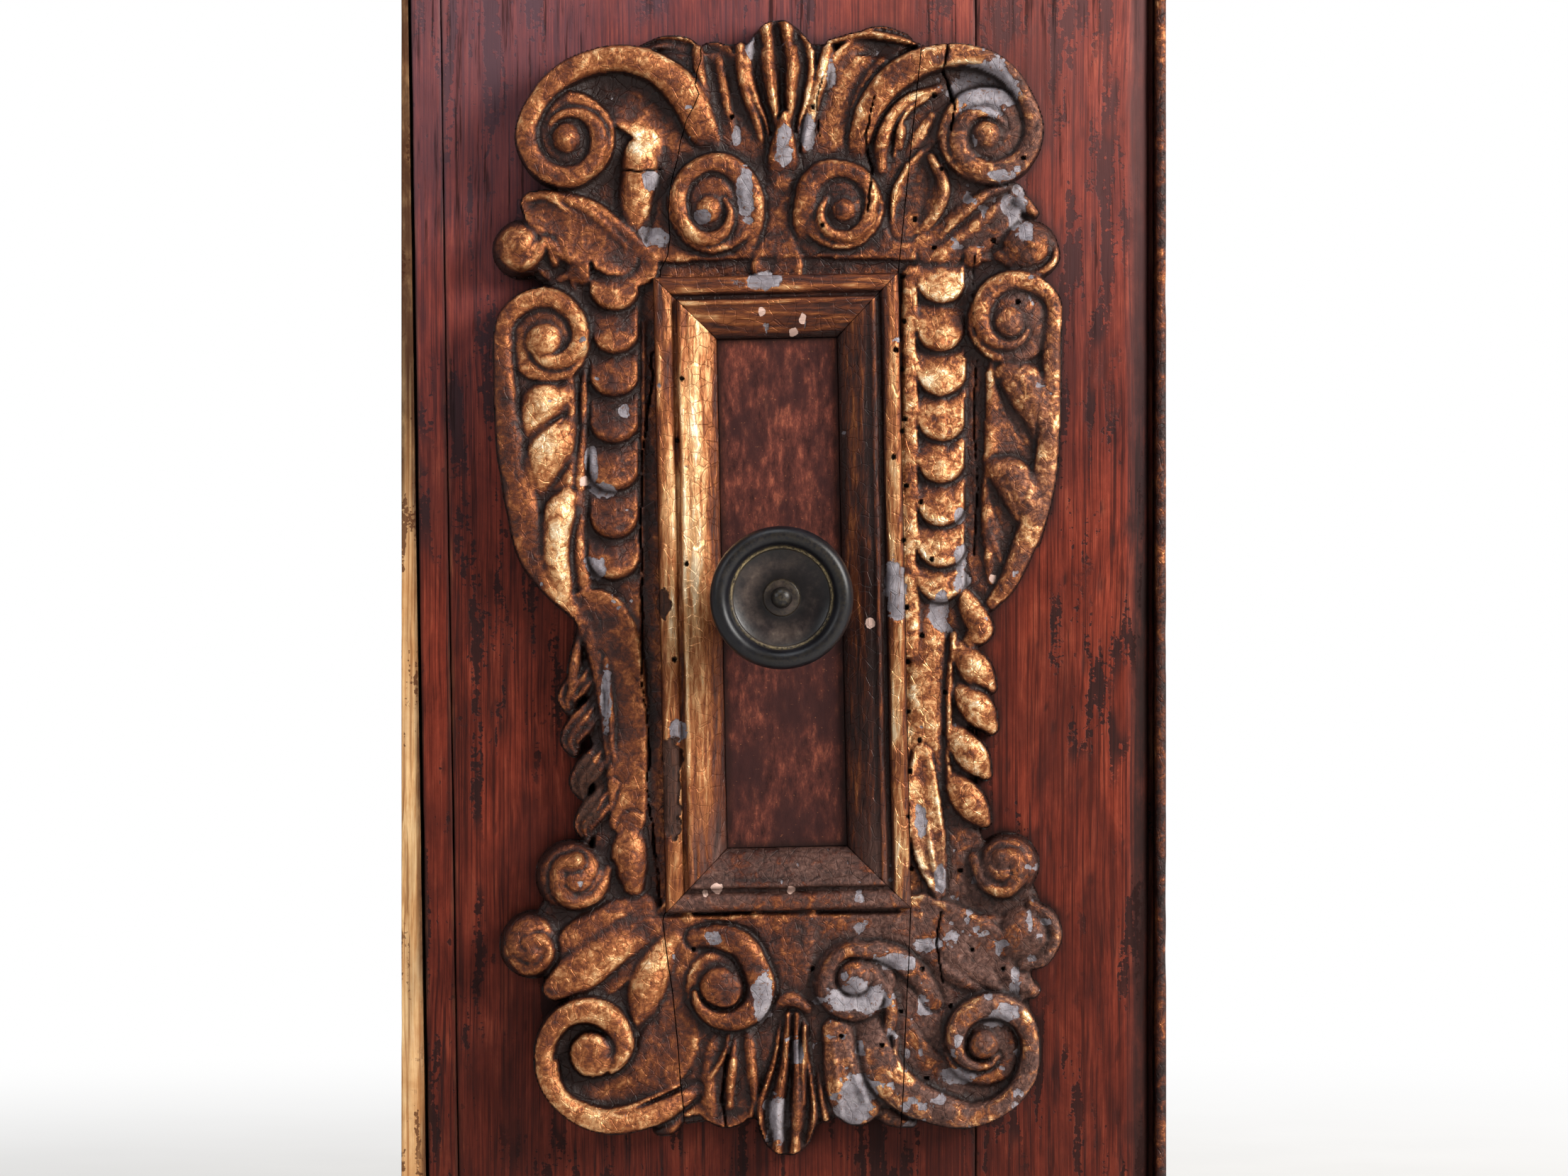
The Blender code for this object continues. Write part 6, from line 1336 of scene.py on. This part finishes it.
def build_door(grime_and_shade_round_carving):
    """The three stained planks, with dents and scars, grime and painted shade round the carving, and painted
    shadow along the hinge edge.
    """
    rough = np.random.RandomState(11)

    def draw(count, *spans):
        return [[rough.uniform(*span) for span in spans] for _ in range(count)]

    dents = draw(90, (82, 152), (-300, 300), (0.6, 1.6), (2.0, 7.0), (0.25, 0.7))
    dents += draw(120, (-150, 150), (-300, 300), (0.5, 1.3), (1.0, 5.0), (0.15, 0.5))

    def finish(rings, seed):
        x, z = rings[..., 0] * 1000, (rings[..., 2] - DOOR_MIDDLE) * 1000
        front = rings[..., 1] < FRONT + 0.0012
        deep = 0.10 * (1 + noise(x * 6, z, 34, seed, 2)) + 0.12 * (1 + noise(x, z, 46, seed + 3, 2))
        scar = np.zeros(x.shape)
        for a, b, ru, rv, d in dents:
            hit = share(1 - np.hypot((x - a) / ru, (z - b) / rv))
            deep = deep + d * hit**0.7
            scar = np.maximum(scar, hit**0.5)
        rings[..., 1] += np.where(front, deep * MM, 0)
        grime_and_shade = np.where(front, np.maximum(grime_and_shade_round_carving(x, z), 0.75 * scar), 0.15)
        return share(grime_and_shade + 0.12 * share(noise(x, z, 40, seed + 7, 3)))

    arris, hinge_round, dirt_width = 0.0009, 0.0099, 0.0014
    pitch, bare_from, shade = (0.012, 0.008, 0.0013, 0.008, 0.0024), 0.143, (0.1455, 0.1495)
    planks = (
        ("door_edge_strip", door_left, lambda z: door_left(z) + STRIP_WIDTH),
        ("door_plank_wide", lambda z: door_left(z) + STRIP_WIDTH + GAP, lambda z: PLANK_JOINT + 0 * z),
        ("door_plank_hinge", lambda z: PLANK_JOINT + GAP + 0 * z, lambda z: HINGE_EDGE + 0 * z),
    )
    for k, (node, left, right) in enumerate(planks):
        hinged = node == "door_plank_hinge"
        outer = hinge_round if hinged else arris
        a, b = left(DOOR_MIDDLE), right(DOOR_MIDDLE)
        low, high = (a, FRONT, DOOR_BOTTOM), (b, DOOR_BACK, DOOR_TOP)
        rings, rub = block(low, high, 2, (outer, arris, arris, outer), pitch, 0.00018, 31 + k)
        z = rings[..., 2]
        rings[..., 0] = left(z) + (rings[..., 0] - a) / (b - a) * (right(z) - left(z))
        soil = finish(rings, 40 + k)
        x = rings[..., 0]
        joint = np.abs(x - left(z)) if hinged else np.minimum(np.abs(x - left(z)), np.abs(x - right(z)))
        soil = np.maximum(soil, share(1 - joint / dirt_width) * 0.9)
        # Painted shadow of the bead along the rounded hinge edge.
        soil = np.maximum(soil, ease(x, *shade))
        fields = {"rub": np.where(x > bare_from, 0, 0.5 * rub), "soil": soil}
        plank = make_piece(node + "_worn", *loft(rings), STAINED[2], "door", "stained_softwood", (node,),
                           fields)
        if node == "door_plank_wide":
            spindle_hole(plank, FRONT + 0.01)
        if hinged:
            pin_hole(plank, DOOR_BOTTOM)
            pin_hole(plank, DOOR_TOP)


def build_knob():
    """A dished bronze cup on a short neck, and the stud in its middle."""
    r, reach = KNOB_RADIUS, KNOB_REACH
    stud, dish = 0.10 * r, reach - 0.30 * r

    def points(level, *places):
        return [(a * r, level + b * r) for a, b in places]

    outer = points(KNOB_BASE, (.42, 0), (.42, .05), (.40, .08), (.33, .13), (.30, .2), (.28, .35), (.28, .5))
    outer += points(dish, (.31, -.34), (.36, -.24), (.50, -.18), (.66, -.14))
    lip_turn = np.linspace(-0.9, 3.0, 26)
    rim = [(r * (.865 + .135 * math.cos(a)), reach - .17 * r + .17 * r * math.sin(a)) for a in lip_turn]
    inner = points(dish, (.705, .10), (.69, .09), (.675, .015), (.655, 0), (.50, -.035), (.29, -.06),
                   (.265, -.055), (.255, -.03), (.24, -.02))
    floor = dish - .20 * r
    inner += [(stud + GAP, dish - .02 * r), (stud + GAP, floor), (SPINDLE_BORE, floor)]

    def cup_coat(p, turn):
        a, h = p[:, :1] / r, p[:, 1:]
        above, near = h > dish, h > dish - .1 * r
        rub = bell(a, .70, .016) * above + 0.25 * bell(a, .25, .012) * near
        rub = rub + 0.05 * share((h - (reach - .04 * r)) / (.04 * r))
        soil = bell(a, .668, .02) * (h > dish - .05 * r) + bell(a, .28, .02) * near
        sway = 0.75 + 0.35 * np.sin(turn + 0.6) + 0.2 * np.sin(3 * turn)
        return {"dish": (a < .70) & near, "rub": share(rub * sway), "soil": share(0.85 * soil)}

    cup = np.vstack([[(SPINDLE_BORE, KNOB_BASE)], outer, rim, inner])
    lathe("knob_cup", cup, KNOB, True, BRONZE, "knob", "dark_bronze", 112, True, cup_coat)
    seat, foot = dish - .02 * r + GAP, floor + 2 * GAP
    dome_turn = np.linspace(0, math.pi / 2 - 0.04, 12)
    dome = [(.15 * r * math.cos(a), seat + .04 * r + .13 * r * math.sin(a)) for a in dome_turn]

    def stud_coat(p, turn):
        top = share((p[:, 1:] - seat) / (.17 * r))
        return {"dish": 0.2 * top, "rub": 0.12 * top**2, "soil": 0.6 * (1 - top)}

    shape = [(0.0001, foot), (stud, foot), (stud, seat), (.15 * r, seat), *dome]
    lathe("knob_stud", shape, KNOB, True, BRONZE, "knob", "dark_bronze", 64, False, stud_coat)


def build_feet():
    """Four turned bun feet."""
    r, h = FOOT_RADIUS, FOOT_HEIGHT
    turn = np.linspace(0, math.pi, 26)
    bun = [(r * (.62 + .38 * math.sin(a)), h * (.36 - .36 * math.cos(a))) for a in turn]
    neck = ((.62, .72), (.5, .76), (.5, .82), (.85, .86), (.85, 1))
    neck = rounded([(a * r, b * h) for a, b in neck], 0.0012)
    profile = np.vstack([[(0.0002, 0.0)], bun, neck[1:], [(0.0002, h)]])

    def coat(p, turn):
        out, up = p[:, :1] / r, p[:, 1:] / h
        rub = share((out - .9) / .1) * (0.5 + 0.4 * np.sin(2 * turn + 1))
        return {"rub": share(rub), "soil": share(np.exp(-up / .12) + bell(up, .79, .06))}

    for end, y in (("front", FOOT_FRONT), ("back", FOOT_BACK)):
        for side, x in (("left", -FOOT_SIDE), ("right", FOOT_SIDE)):
            lathe(f"foot_{end}_{side}", profile, (x, y, 0), False, STAINED[0], "carcass", "stained_softwood",
                  64, False, coat)


def build_carcass():
    """Sides, shelves, back, front rails and top, the leaning slip, and the cornice and plinth round them."""
    stained, inner = "stained_softwood", "inner_softwood"
    for k, side in enumerate(("left", "right")):
        board("side_" + side, 2, STAINED[2], stained, 61 + k)
    for k, node in enumerate(("bottom_board", "sub_top", "shelf")):
        board(node, 0, INNER[0], inner, 64 + k)
    for k, side in enumerate(("left", "right")):
        board("shelf_cleat_" + side, 1, INNER[1], inner, 68 + k)
    for k, side in enumerate(("left", "middle", "right")):
        board("back_plank_" + side, 2, INNER[2], inner, 71 + k, rubbed=0.45)
    pin_hole(board("front_sill", 0, STAINED[0], stained, 75), 0.130)
    pin_hole(board("front_head", 0, STAINED[0], stained, 76), 0.755)
    board("top_slab", 0, DUSTY, stained, 78, radii=0.0042, wear=0.0006)
    for k, level in enumerate(("upper", "lower")):
        board("door_batten_" + level, 0, INNER[0], inner, 81 + k, "door", radii=0.004)

    def slip_width(z):
        return door_left(z) - SLIP_GAP + HALF_WIDTH

    def lean(rings):
        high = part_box("corner_slip_left")[1]
        across = (rings[..., 0] + HALF_WIDTH) / (high[0] + HALF_WIDTH)
        rings[..., 0] = across * slip_width(rings[..., 2]) - HALF_WIDTH
        return rings

    def slip_dirt_and_shade(rings):
        # Dirt streaks, with painted shade: the slip darkens high up and towards the door's edge beside it.
        x, z = rings[..., 0] * 1000, rings[..., 2] * 1000
        across = (rings[..., 0] + HALF_WIDTH) / slip_width(rings[..., 2])
        streaks = np.clip(0.8 * noise(x * 14, z, 60, 5, 3), 0, 0.6)
        return np.clip(streaks + 0.95 * ease(z, 430, 560) + 0.55 * ease(across, 0.72, 0.95), 0, 0.97)

    board("corner_slip_left", 2, RAW, "raw_softwood", 85, radii=0.0006,
          pitch=(0.003, 0.006, 0.0012, 0.006, 0.004), wear=0.0002, warp=lean, soil=slip_dirt_and_shade, rubbed=0.25)
    h, r = CORNICE_HEIGHT, CORNICE_REACH
    quarter, turn = np.linspace(0, math.pi / 2, 18), np.linspace(0, math.pi, 18)
    hollow = [(r * (.3 + .6 * (1 - math.cos(a))), h * (.2 + .62 * math.sin(a))) for a in quarter]
    cornice = rounded([(0, 0), (.3 * r, 0), *hollow, (r, .86 * h), (r, h), (0, h)], 0.0008)
    h, r = PLINTH_HEIGHT, PLINTH_REACH
    ogee = [(r * (.75 + .25 * math.cos(a)) - .1 * r, h * (.78 + .16 * a / math.pi)) for a in turn]
    plinth = rounded([(0, 0), (r, 0), (r, .74 * h), *ogee, (.3 * r, h), (0, h)], 0.0008)
    out, face = HALF_WIDTH + GAP, FRONT - GAP
    mouldings = ("cornice", cornice, CORNICE_AT), ("plinth", plinth, PLINTH_AT)
    for k, (name, profile, z) in enumerate(mouldings):
        moulding(name + "_front", profile, (-out, face, z), (1, 0, 0), (0, -1, 0), 2 * out, (1, 1), 91 + k)
        for side, sign in (("_left", -1), ("_right", 1)):
            start, way = (sign * out, face, z), (sign, 0, 0)
            moulding(name + side, profile, start, (0, 1, 0), way, BACK - face, (1, 0), 95 + k)


def build_bead():
    """The thin gilded bead beside the hinge edge."""
    node = "corner_bead_right"
    radii, pitch = (0.0006, 0.0006, 0.0022, 0.0022), (0.003, 0.003, 0.0008, 0.003, 0.0016)
    rings, _ = block(*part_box(node), 2, radii, pitch, 0.0003, 87)
    x, z = rings[..., 0] * 1000, rings[..., 2] * 1000
    soil, leaf = share(0.12 + 0.4 * noise(x, z, 16, 4, 3)), 0.24 + 0.22 * noise(x, z, 12, 10, 3)
    fields = {"soil": soil, "leaf": leaf}
    make_piece(node + "_gilt", *loft(rings), GILT, "carcass", "giltwood", (node,), fields)


def build_nails():
    """Hand-made nail heads that hold the back planks and the battens."""
    sides, head = 10, ((0.0034, -0.0012), (0.0034, 0.0003), (0.0026, 0.0009), (0.0013, 0.0012))

    def heads(name, places, body):
        verts, faces = [], []
        rough = np.random.RandomState(5)
        for x, y, z in places:
            turn = rough.uniform(0, 6.28) + np.arange(sides) * math.tau / sides
            rings = []
            for radius, rise in head:
                wide = [(radius * rough.uniform(0.88, 1.08), a) for a in turn]
                rings.append([(x + w * math.cos(a), y + rise, z + w * math.sin(a)) for w, a in wide])
            skin, skin_faces = loft(rings)
            faces += [[len(verts) + k for k in face] for face in skin_faces]
            verts += skin.tolist()
        make_piece(name, verts, faces, IRON, body, "wrought_iron")

    columns, rows = (-0.152, -0.068, -0.042, 0.042, 0.068, 0.152), (0.121, 0.453, 0.786)
    heads("back_nails", [(x, BACK, z) for x in columns for z in rows], "carcass")
    columns, rows = (-0.115, -0.06, 0.055, 0.118), (0.189, 0.211, -0.211, -0.189)
    heads("batten_nails", [(x, BATTEN_BACK, DOOR_MIDDLE + z) for x in columns for z in rows], "door")


# Jagged joint left of the crest and of the apron, from the top down, millimetres
LEFT_SEAM_TOP = (
    (-33, 250), (-35, 226), (-34.8, 222), (-36.4, 217), (-37.3, 211), (-35.6, 207), (-37.7, 202), (-41, 196),
    (-43.5, 188), (-44.8, 180), (-46.8, 173), (-48, 166), (-48.5, 158), (-48, 147), (-49, 139.5), (-52, 134),
)
LEFT_SEAM_LOW = (
    (-50, -136), (-51, -140), (-49.8, -149), (-48.5, -159), (-46.8, -170), (-45.6, -182), (-44.3, -195),
    (-43.5, -208), (-42.3, -217), (-41, -250),
)


def seam(points, v):
    """The place of a jagged joint at a height."""
    p = np.array(points, float)[::-1]
    return np.interp(v, p[:, 1], p[:, 0])


def joints(u, v):
    """The joints between the carved boards: left and right by height, top and bottom by place across."""
    half = FIELD[0] + MOULDING, FIELD[1] + MOULDING
    tl, tr, br, bl = (tilted(su * half[0], sv * half[1]) for su, sv in ((-1, 1), (1, 1), (1, -1), (-1, -1)))
    left = bl[0] + (v - bl[1]) / (tl[1] - bl[1]) * (tl[0] - bl[0])
    left = np.where(v > tl[1], seam(LEFT_SEAM_TOP, v), np.where(v < bl[1], seam(LEFT_SEAM_LOW, v), left))
    right = br[0] + (v - br[1]) / (tr[1] - br[1]) * (tr[0] - br[0])
    door_half, out_at_head, in_at_foot = 310, 18, 8
    right = np.where(v > tr[1], tr[0] + (v - tr[1]) / (door_half - tr[1]) * out_at_head, right)
    right = np.where(v < br[1], br[0] - (br[1] - v) / (door_half + br[1]) * in_at_foot, right)
    top = tl[1] + (u - tl[0]) / (tr[0] - tl[0]) * (tr[1] - tl[1])
    low = bl[1] + (u - bl[0]) / (br[0] - bl[0]) * (br[1] - bl[1])
    return left, right, top, low


def build_carving():
    """The carved cartouche: strokes on a height field, cut into the four boards it was glued up from."""
    r = Relief()
    for carve in (carve_ground, carve_crest, carve_apron, carve_upper_flanks, carve_flanks, carve_husks,
                  carve_lower_flanks, carve_upper_volutes, carve_lower_volutes):
        carve(r)
    r.settle()
    u, v = r.uu, r.vv
    wide, near = r.average(60), r.average(8)
    # Hollows take glaze and painted shade, ridges burnish and a painted highlight.
    cavity = share((near - r.h) / 1.2) * 0.7 + share((wide - r.h + 0.4) / 3.4) * 0.9
    cut = share((near - r.h - 0.25) / 0.8)
    fields = paint_fields(u, v)
    fields.update(cavity=share(cavity), ridge=share((r.h - near) / 1.3))
    r.h = r.h + 0.4 * noise(u, v, 8, 41, 2) + (0.14 + 0.3 * fields["dull"]) * noise(u, v, 2.6, 43, 2)
    r.h = r.h - 0.45 * flaked(fields)
    # Dirt and painted shade low down and along the creases between forms.
    soil = np.maximum(share(1 - r.h / 5.0) * 0.8, 0.85 * cut)
    for points, width, depth in CRACKS:
        pick, fall = r.groove(points, width, depth)
        soil[pick] = np.maximum(soil[pick], share(fall * 2))
    r.h, fields["soil"] = worm(r.h, soil, u, v, 0.9, 2.5, 1.3, 0.4)
    r.h = np.maximum(r.h, 1.2)
    left, right, top, low = joints(u, v)
    body = np.minimum(r.edge, 5.0)
    between = np.minimum(body, np.minimum(u - left, right - u) - BOARD_GAP)
    cuts = {
        "left": np.minimum(body, left - u - BOARD_GAP),
        "right": np.minimum(body, u - right - BOARD_GAP),
        "crest": np.minimum(between, v - top - BOARD_GAP),
        "apron": np.minimum(between, low - v - BOARD_GAP),
    }
    for name, inside_by in cuts.items():
        node = "carving_" + name
        verts, faces, out = board_mesh(r, biggest(inside_by), fields)
        thing = make_piece(node + "_gilt", verts, faces, GILT, "door", "giltwood", (node,), out, 60)
        outward(thing.data, close=True)
    carved = (r.edge > 0).astype(float)
    shadow, core = blur(carved, 90), blur(carved, 12)

    def grime_and_shade_round_carving(x, z):
        """Grime and painted shade on the door round the carving: a wide band, much weaker on the left, and a
        darker one close round its foot.
        """
        i = np.clip((x - r.u[0]) / STEP, 0, len(r.u) - 1.001).astype(int)
        j = np.clip((z - r.v[0]) / STEP, 0, len(r.v) - 1.001).astype(int)
        value = share(2.0 * shadow[j, i]) * (0.42 + 0.6 * noise(x, z, 17, 29, 4))
        value = value * np.where(x < 0, 0.12, 1.0) + 0.55 * share(2 * core[j, i])
        return np.clip(value, 0, 0.95)

    return grime_and_shade_round_carving


def biggest(inside_by):
    """Only the largest connected part of a board."""
    inside = inside_by > 0
    label = np.where(inside, np.arange(inside.size).reshape(inside.shape) + 1, 0)
    while True:
        near = np.pad(label, 1)
        grown = np.maximum.reduce([label, near[:-2, 1:-1], near[2:, 1:-1], near[1:-1, :-2], near[1:-1, 2:]])
        grown = np.where(inside, grown, 0)
        flat = np.arange(inside.size + 1)
        np.maximum.at(flat, label.ravel(), grown.ravel())
        for _ in range(12):
            flat = flat[flat]
        grown = np.where(inside, flat[grown], 0)
        if (grown == label).all():
            break
        label = grown
    names, counts = np.unique(label[inside], return_counts=True)
    keep = label == names[counts.argmax()]
    return np.where(inside & ~keep, -0.2, inside_by)


def build_ironwork():
    """The look of the plain iron parts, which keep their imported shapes."""
    for node in ("pivot_pin_lower", "pivot_pin_upper", "pivot_washer", "latch_keeper", "knob_spindle",
                 "latch_bar", "latch_sleeve", "latch_nut"):
        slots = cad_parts[node].data.materials
        slots.clear()
        slots.append(IRON)


# Lamps: name, place, size in metres, power in watts, colour
LAMPS = (
    ("key", (1.28, -0.98, 1.1), 0.75, 53, (1.0, 0.98, 0.94)),
    ("fill", (-1.5, -1.2, 1.2), 0.9, 10, (0.94, 0.96, 1.0)),
    ("top", (-0.3, -0.8, 2.2), 1.0, 14, (0.86, 0.92, 1.0)),
    ("rear", (0.9, 2.0, 1.5), 1.4, 30, (1.0, 0.98, 0.95)),
)


def build_stage():
    """A pale floor that fades to white, a white surround, and soft light, most of it from the right."""
    bm = bmesh.new()
    bmesh.ops.create_circle(bm, cap_ends=True, segments=96, radius=6.0)
    floor = in_scene("floor", mesh_of("floor", bm))
    g = Graph(bpy.data.materials.new("pale_floor"))
    tint = g.noise(6.0, 3.0).ramp((0.3, 226, 224, 221), (0.7, 234, 232, 229))
    shade = g.add("BsdfDiffuse", {"Color": tint})
    white = g.add("Emission", {"Color": (1, 1, 1, 1), "Strength": 1.0})
    away = g.add("VectorMath", {0: g.place}, "Value", operation="LENGTH")
    ray = g.add("LightPath", out="Is Camera Ray")
    seen = ray.most(ray.other("Is Glossy Ray")).most(ray.other("Is Transmission Ray"))
    fade = away.span(0.7, 2.4) * seen
    floor.data.materials.append(g.close(g.add("MixShader", {0: fade, 1: shade, 2: white})))

    g = Graph(bpy.data.worlds.new("studio"), "Generated")
    ray = g.add("LightPath", out="Is Camera Ray")
    behind = g.coordinate("Y").span(-0.1, 0.5, 0.16, 1.0)
    mirror = ray.other("Is Glossy Ray").most(ray.other("Is Transmission Ray"))
    fill = g.add("Mix", {0: mirror, 2: 0.085, 3: behind}, data_type="FLOAT")
    seen = g.add("Mix", {0: ray, 2: fill, 3: 1.0}, data_type="FLOAT")
    light = g.add("Background", {"Color": (1, 1, 1, 1), "Strength": seen})
    bpy.context.scene.world = g.close(light, "ShaderNodeOutputWorld")

    aim = Vector((0, FRONT, DOOR_MIDDLE))
    for name, place, size, power, colour in LAMPS:
        lamp = bpy.data.lights.new(name, "AREA")
        lamp.size, lamp.energy, lamp.color = size, power, colour
        thing = in_scene(name, lamp)
        thing.location = place
        thing.rotation_euler = (aim - Vector(place)).to_track_quat("-Z", "Y").to_euler()


def build_camera():
    """Straight at the middle of the door, framed as the close view is."""
    lens = bpy.data.cameras.new("camera")
    lens.sensor_width, lens.lens = 36.0, 108.5
    camera = in_scene("camera", lens)
    camera.location = (0, FRONT - 2.0, DOOR_MIDDLE)
    camera.rotation_euler = (math.radians(90), 0, 0)
    bpy.context.scene.camera = camera


build_camera()
build_stage()
build_carcass()
build_feet()
build_bead()
build_nails()
build_ironwork()
build_knob()
build_panel()
build_frame()
build_door(build_carving())

bpy.context.scene.view_settings.view_transform = "Standard"
bpy.context.view_layer.update()
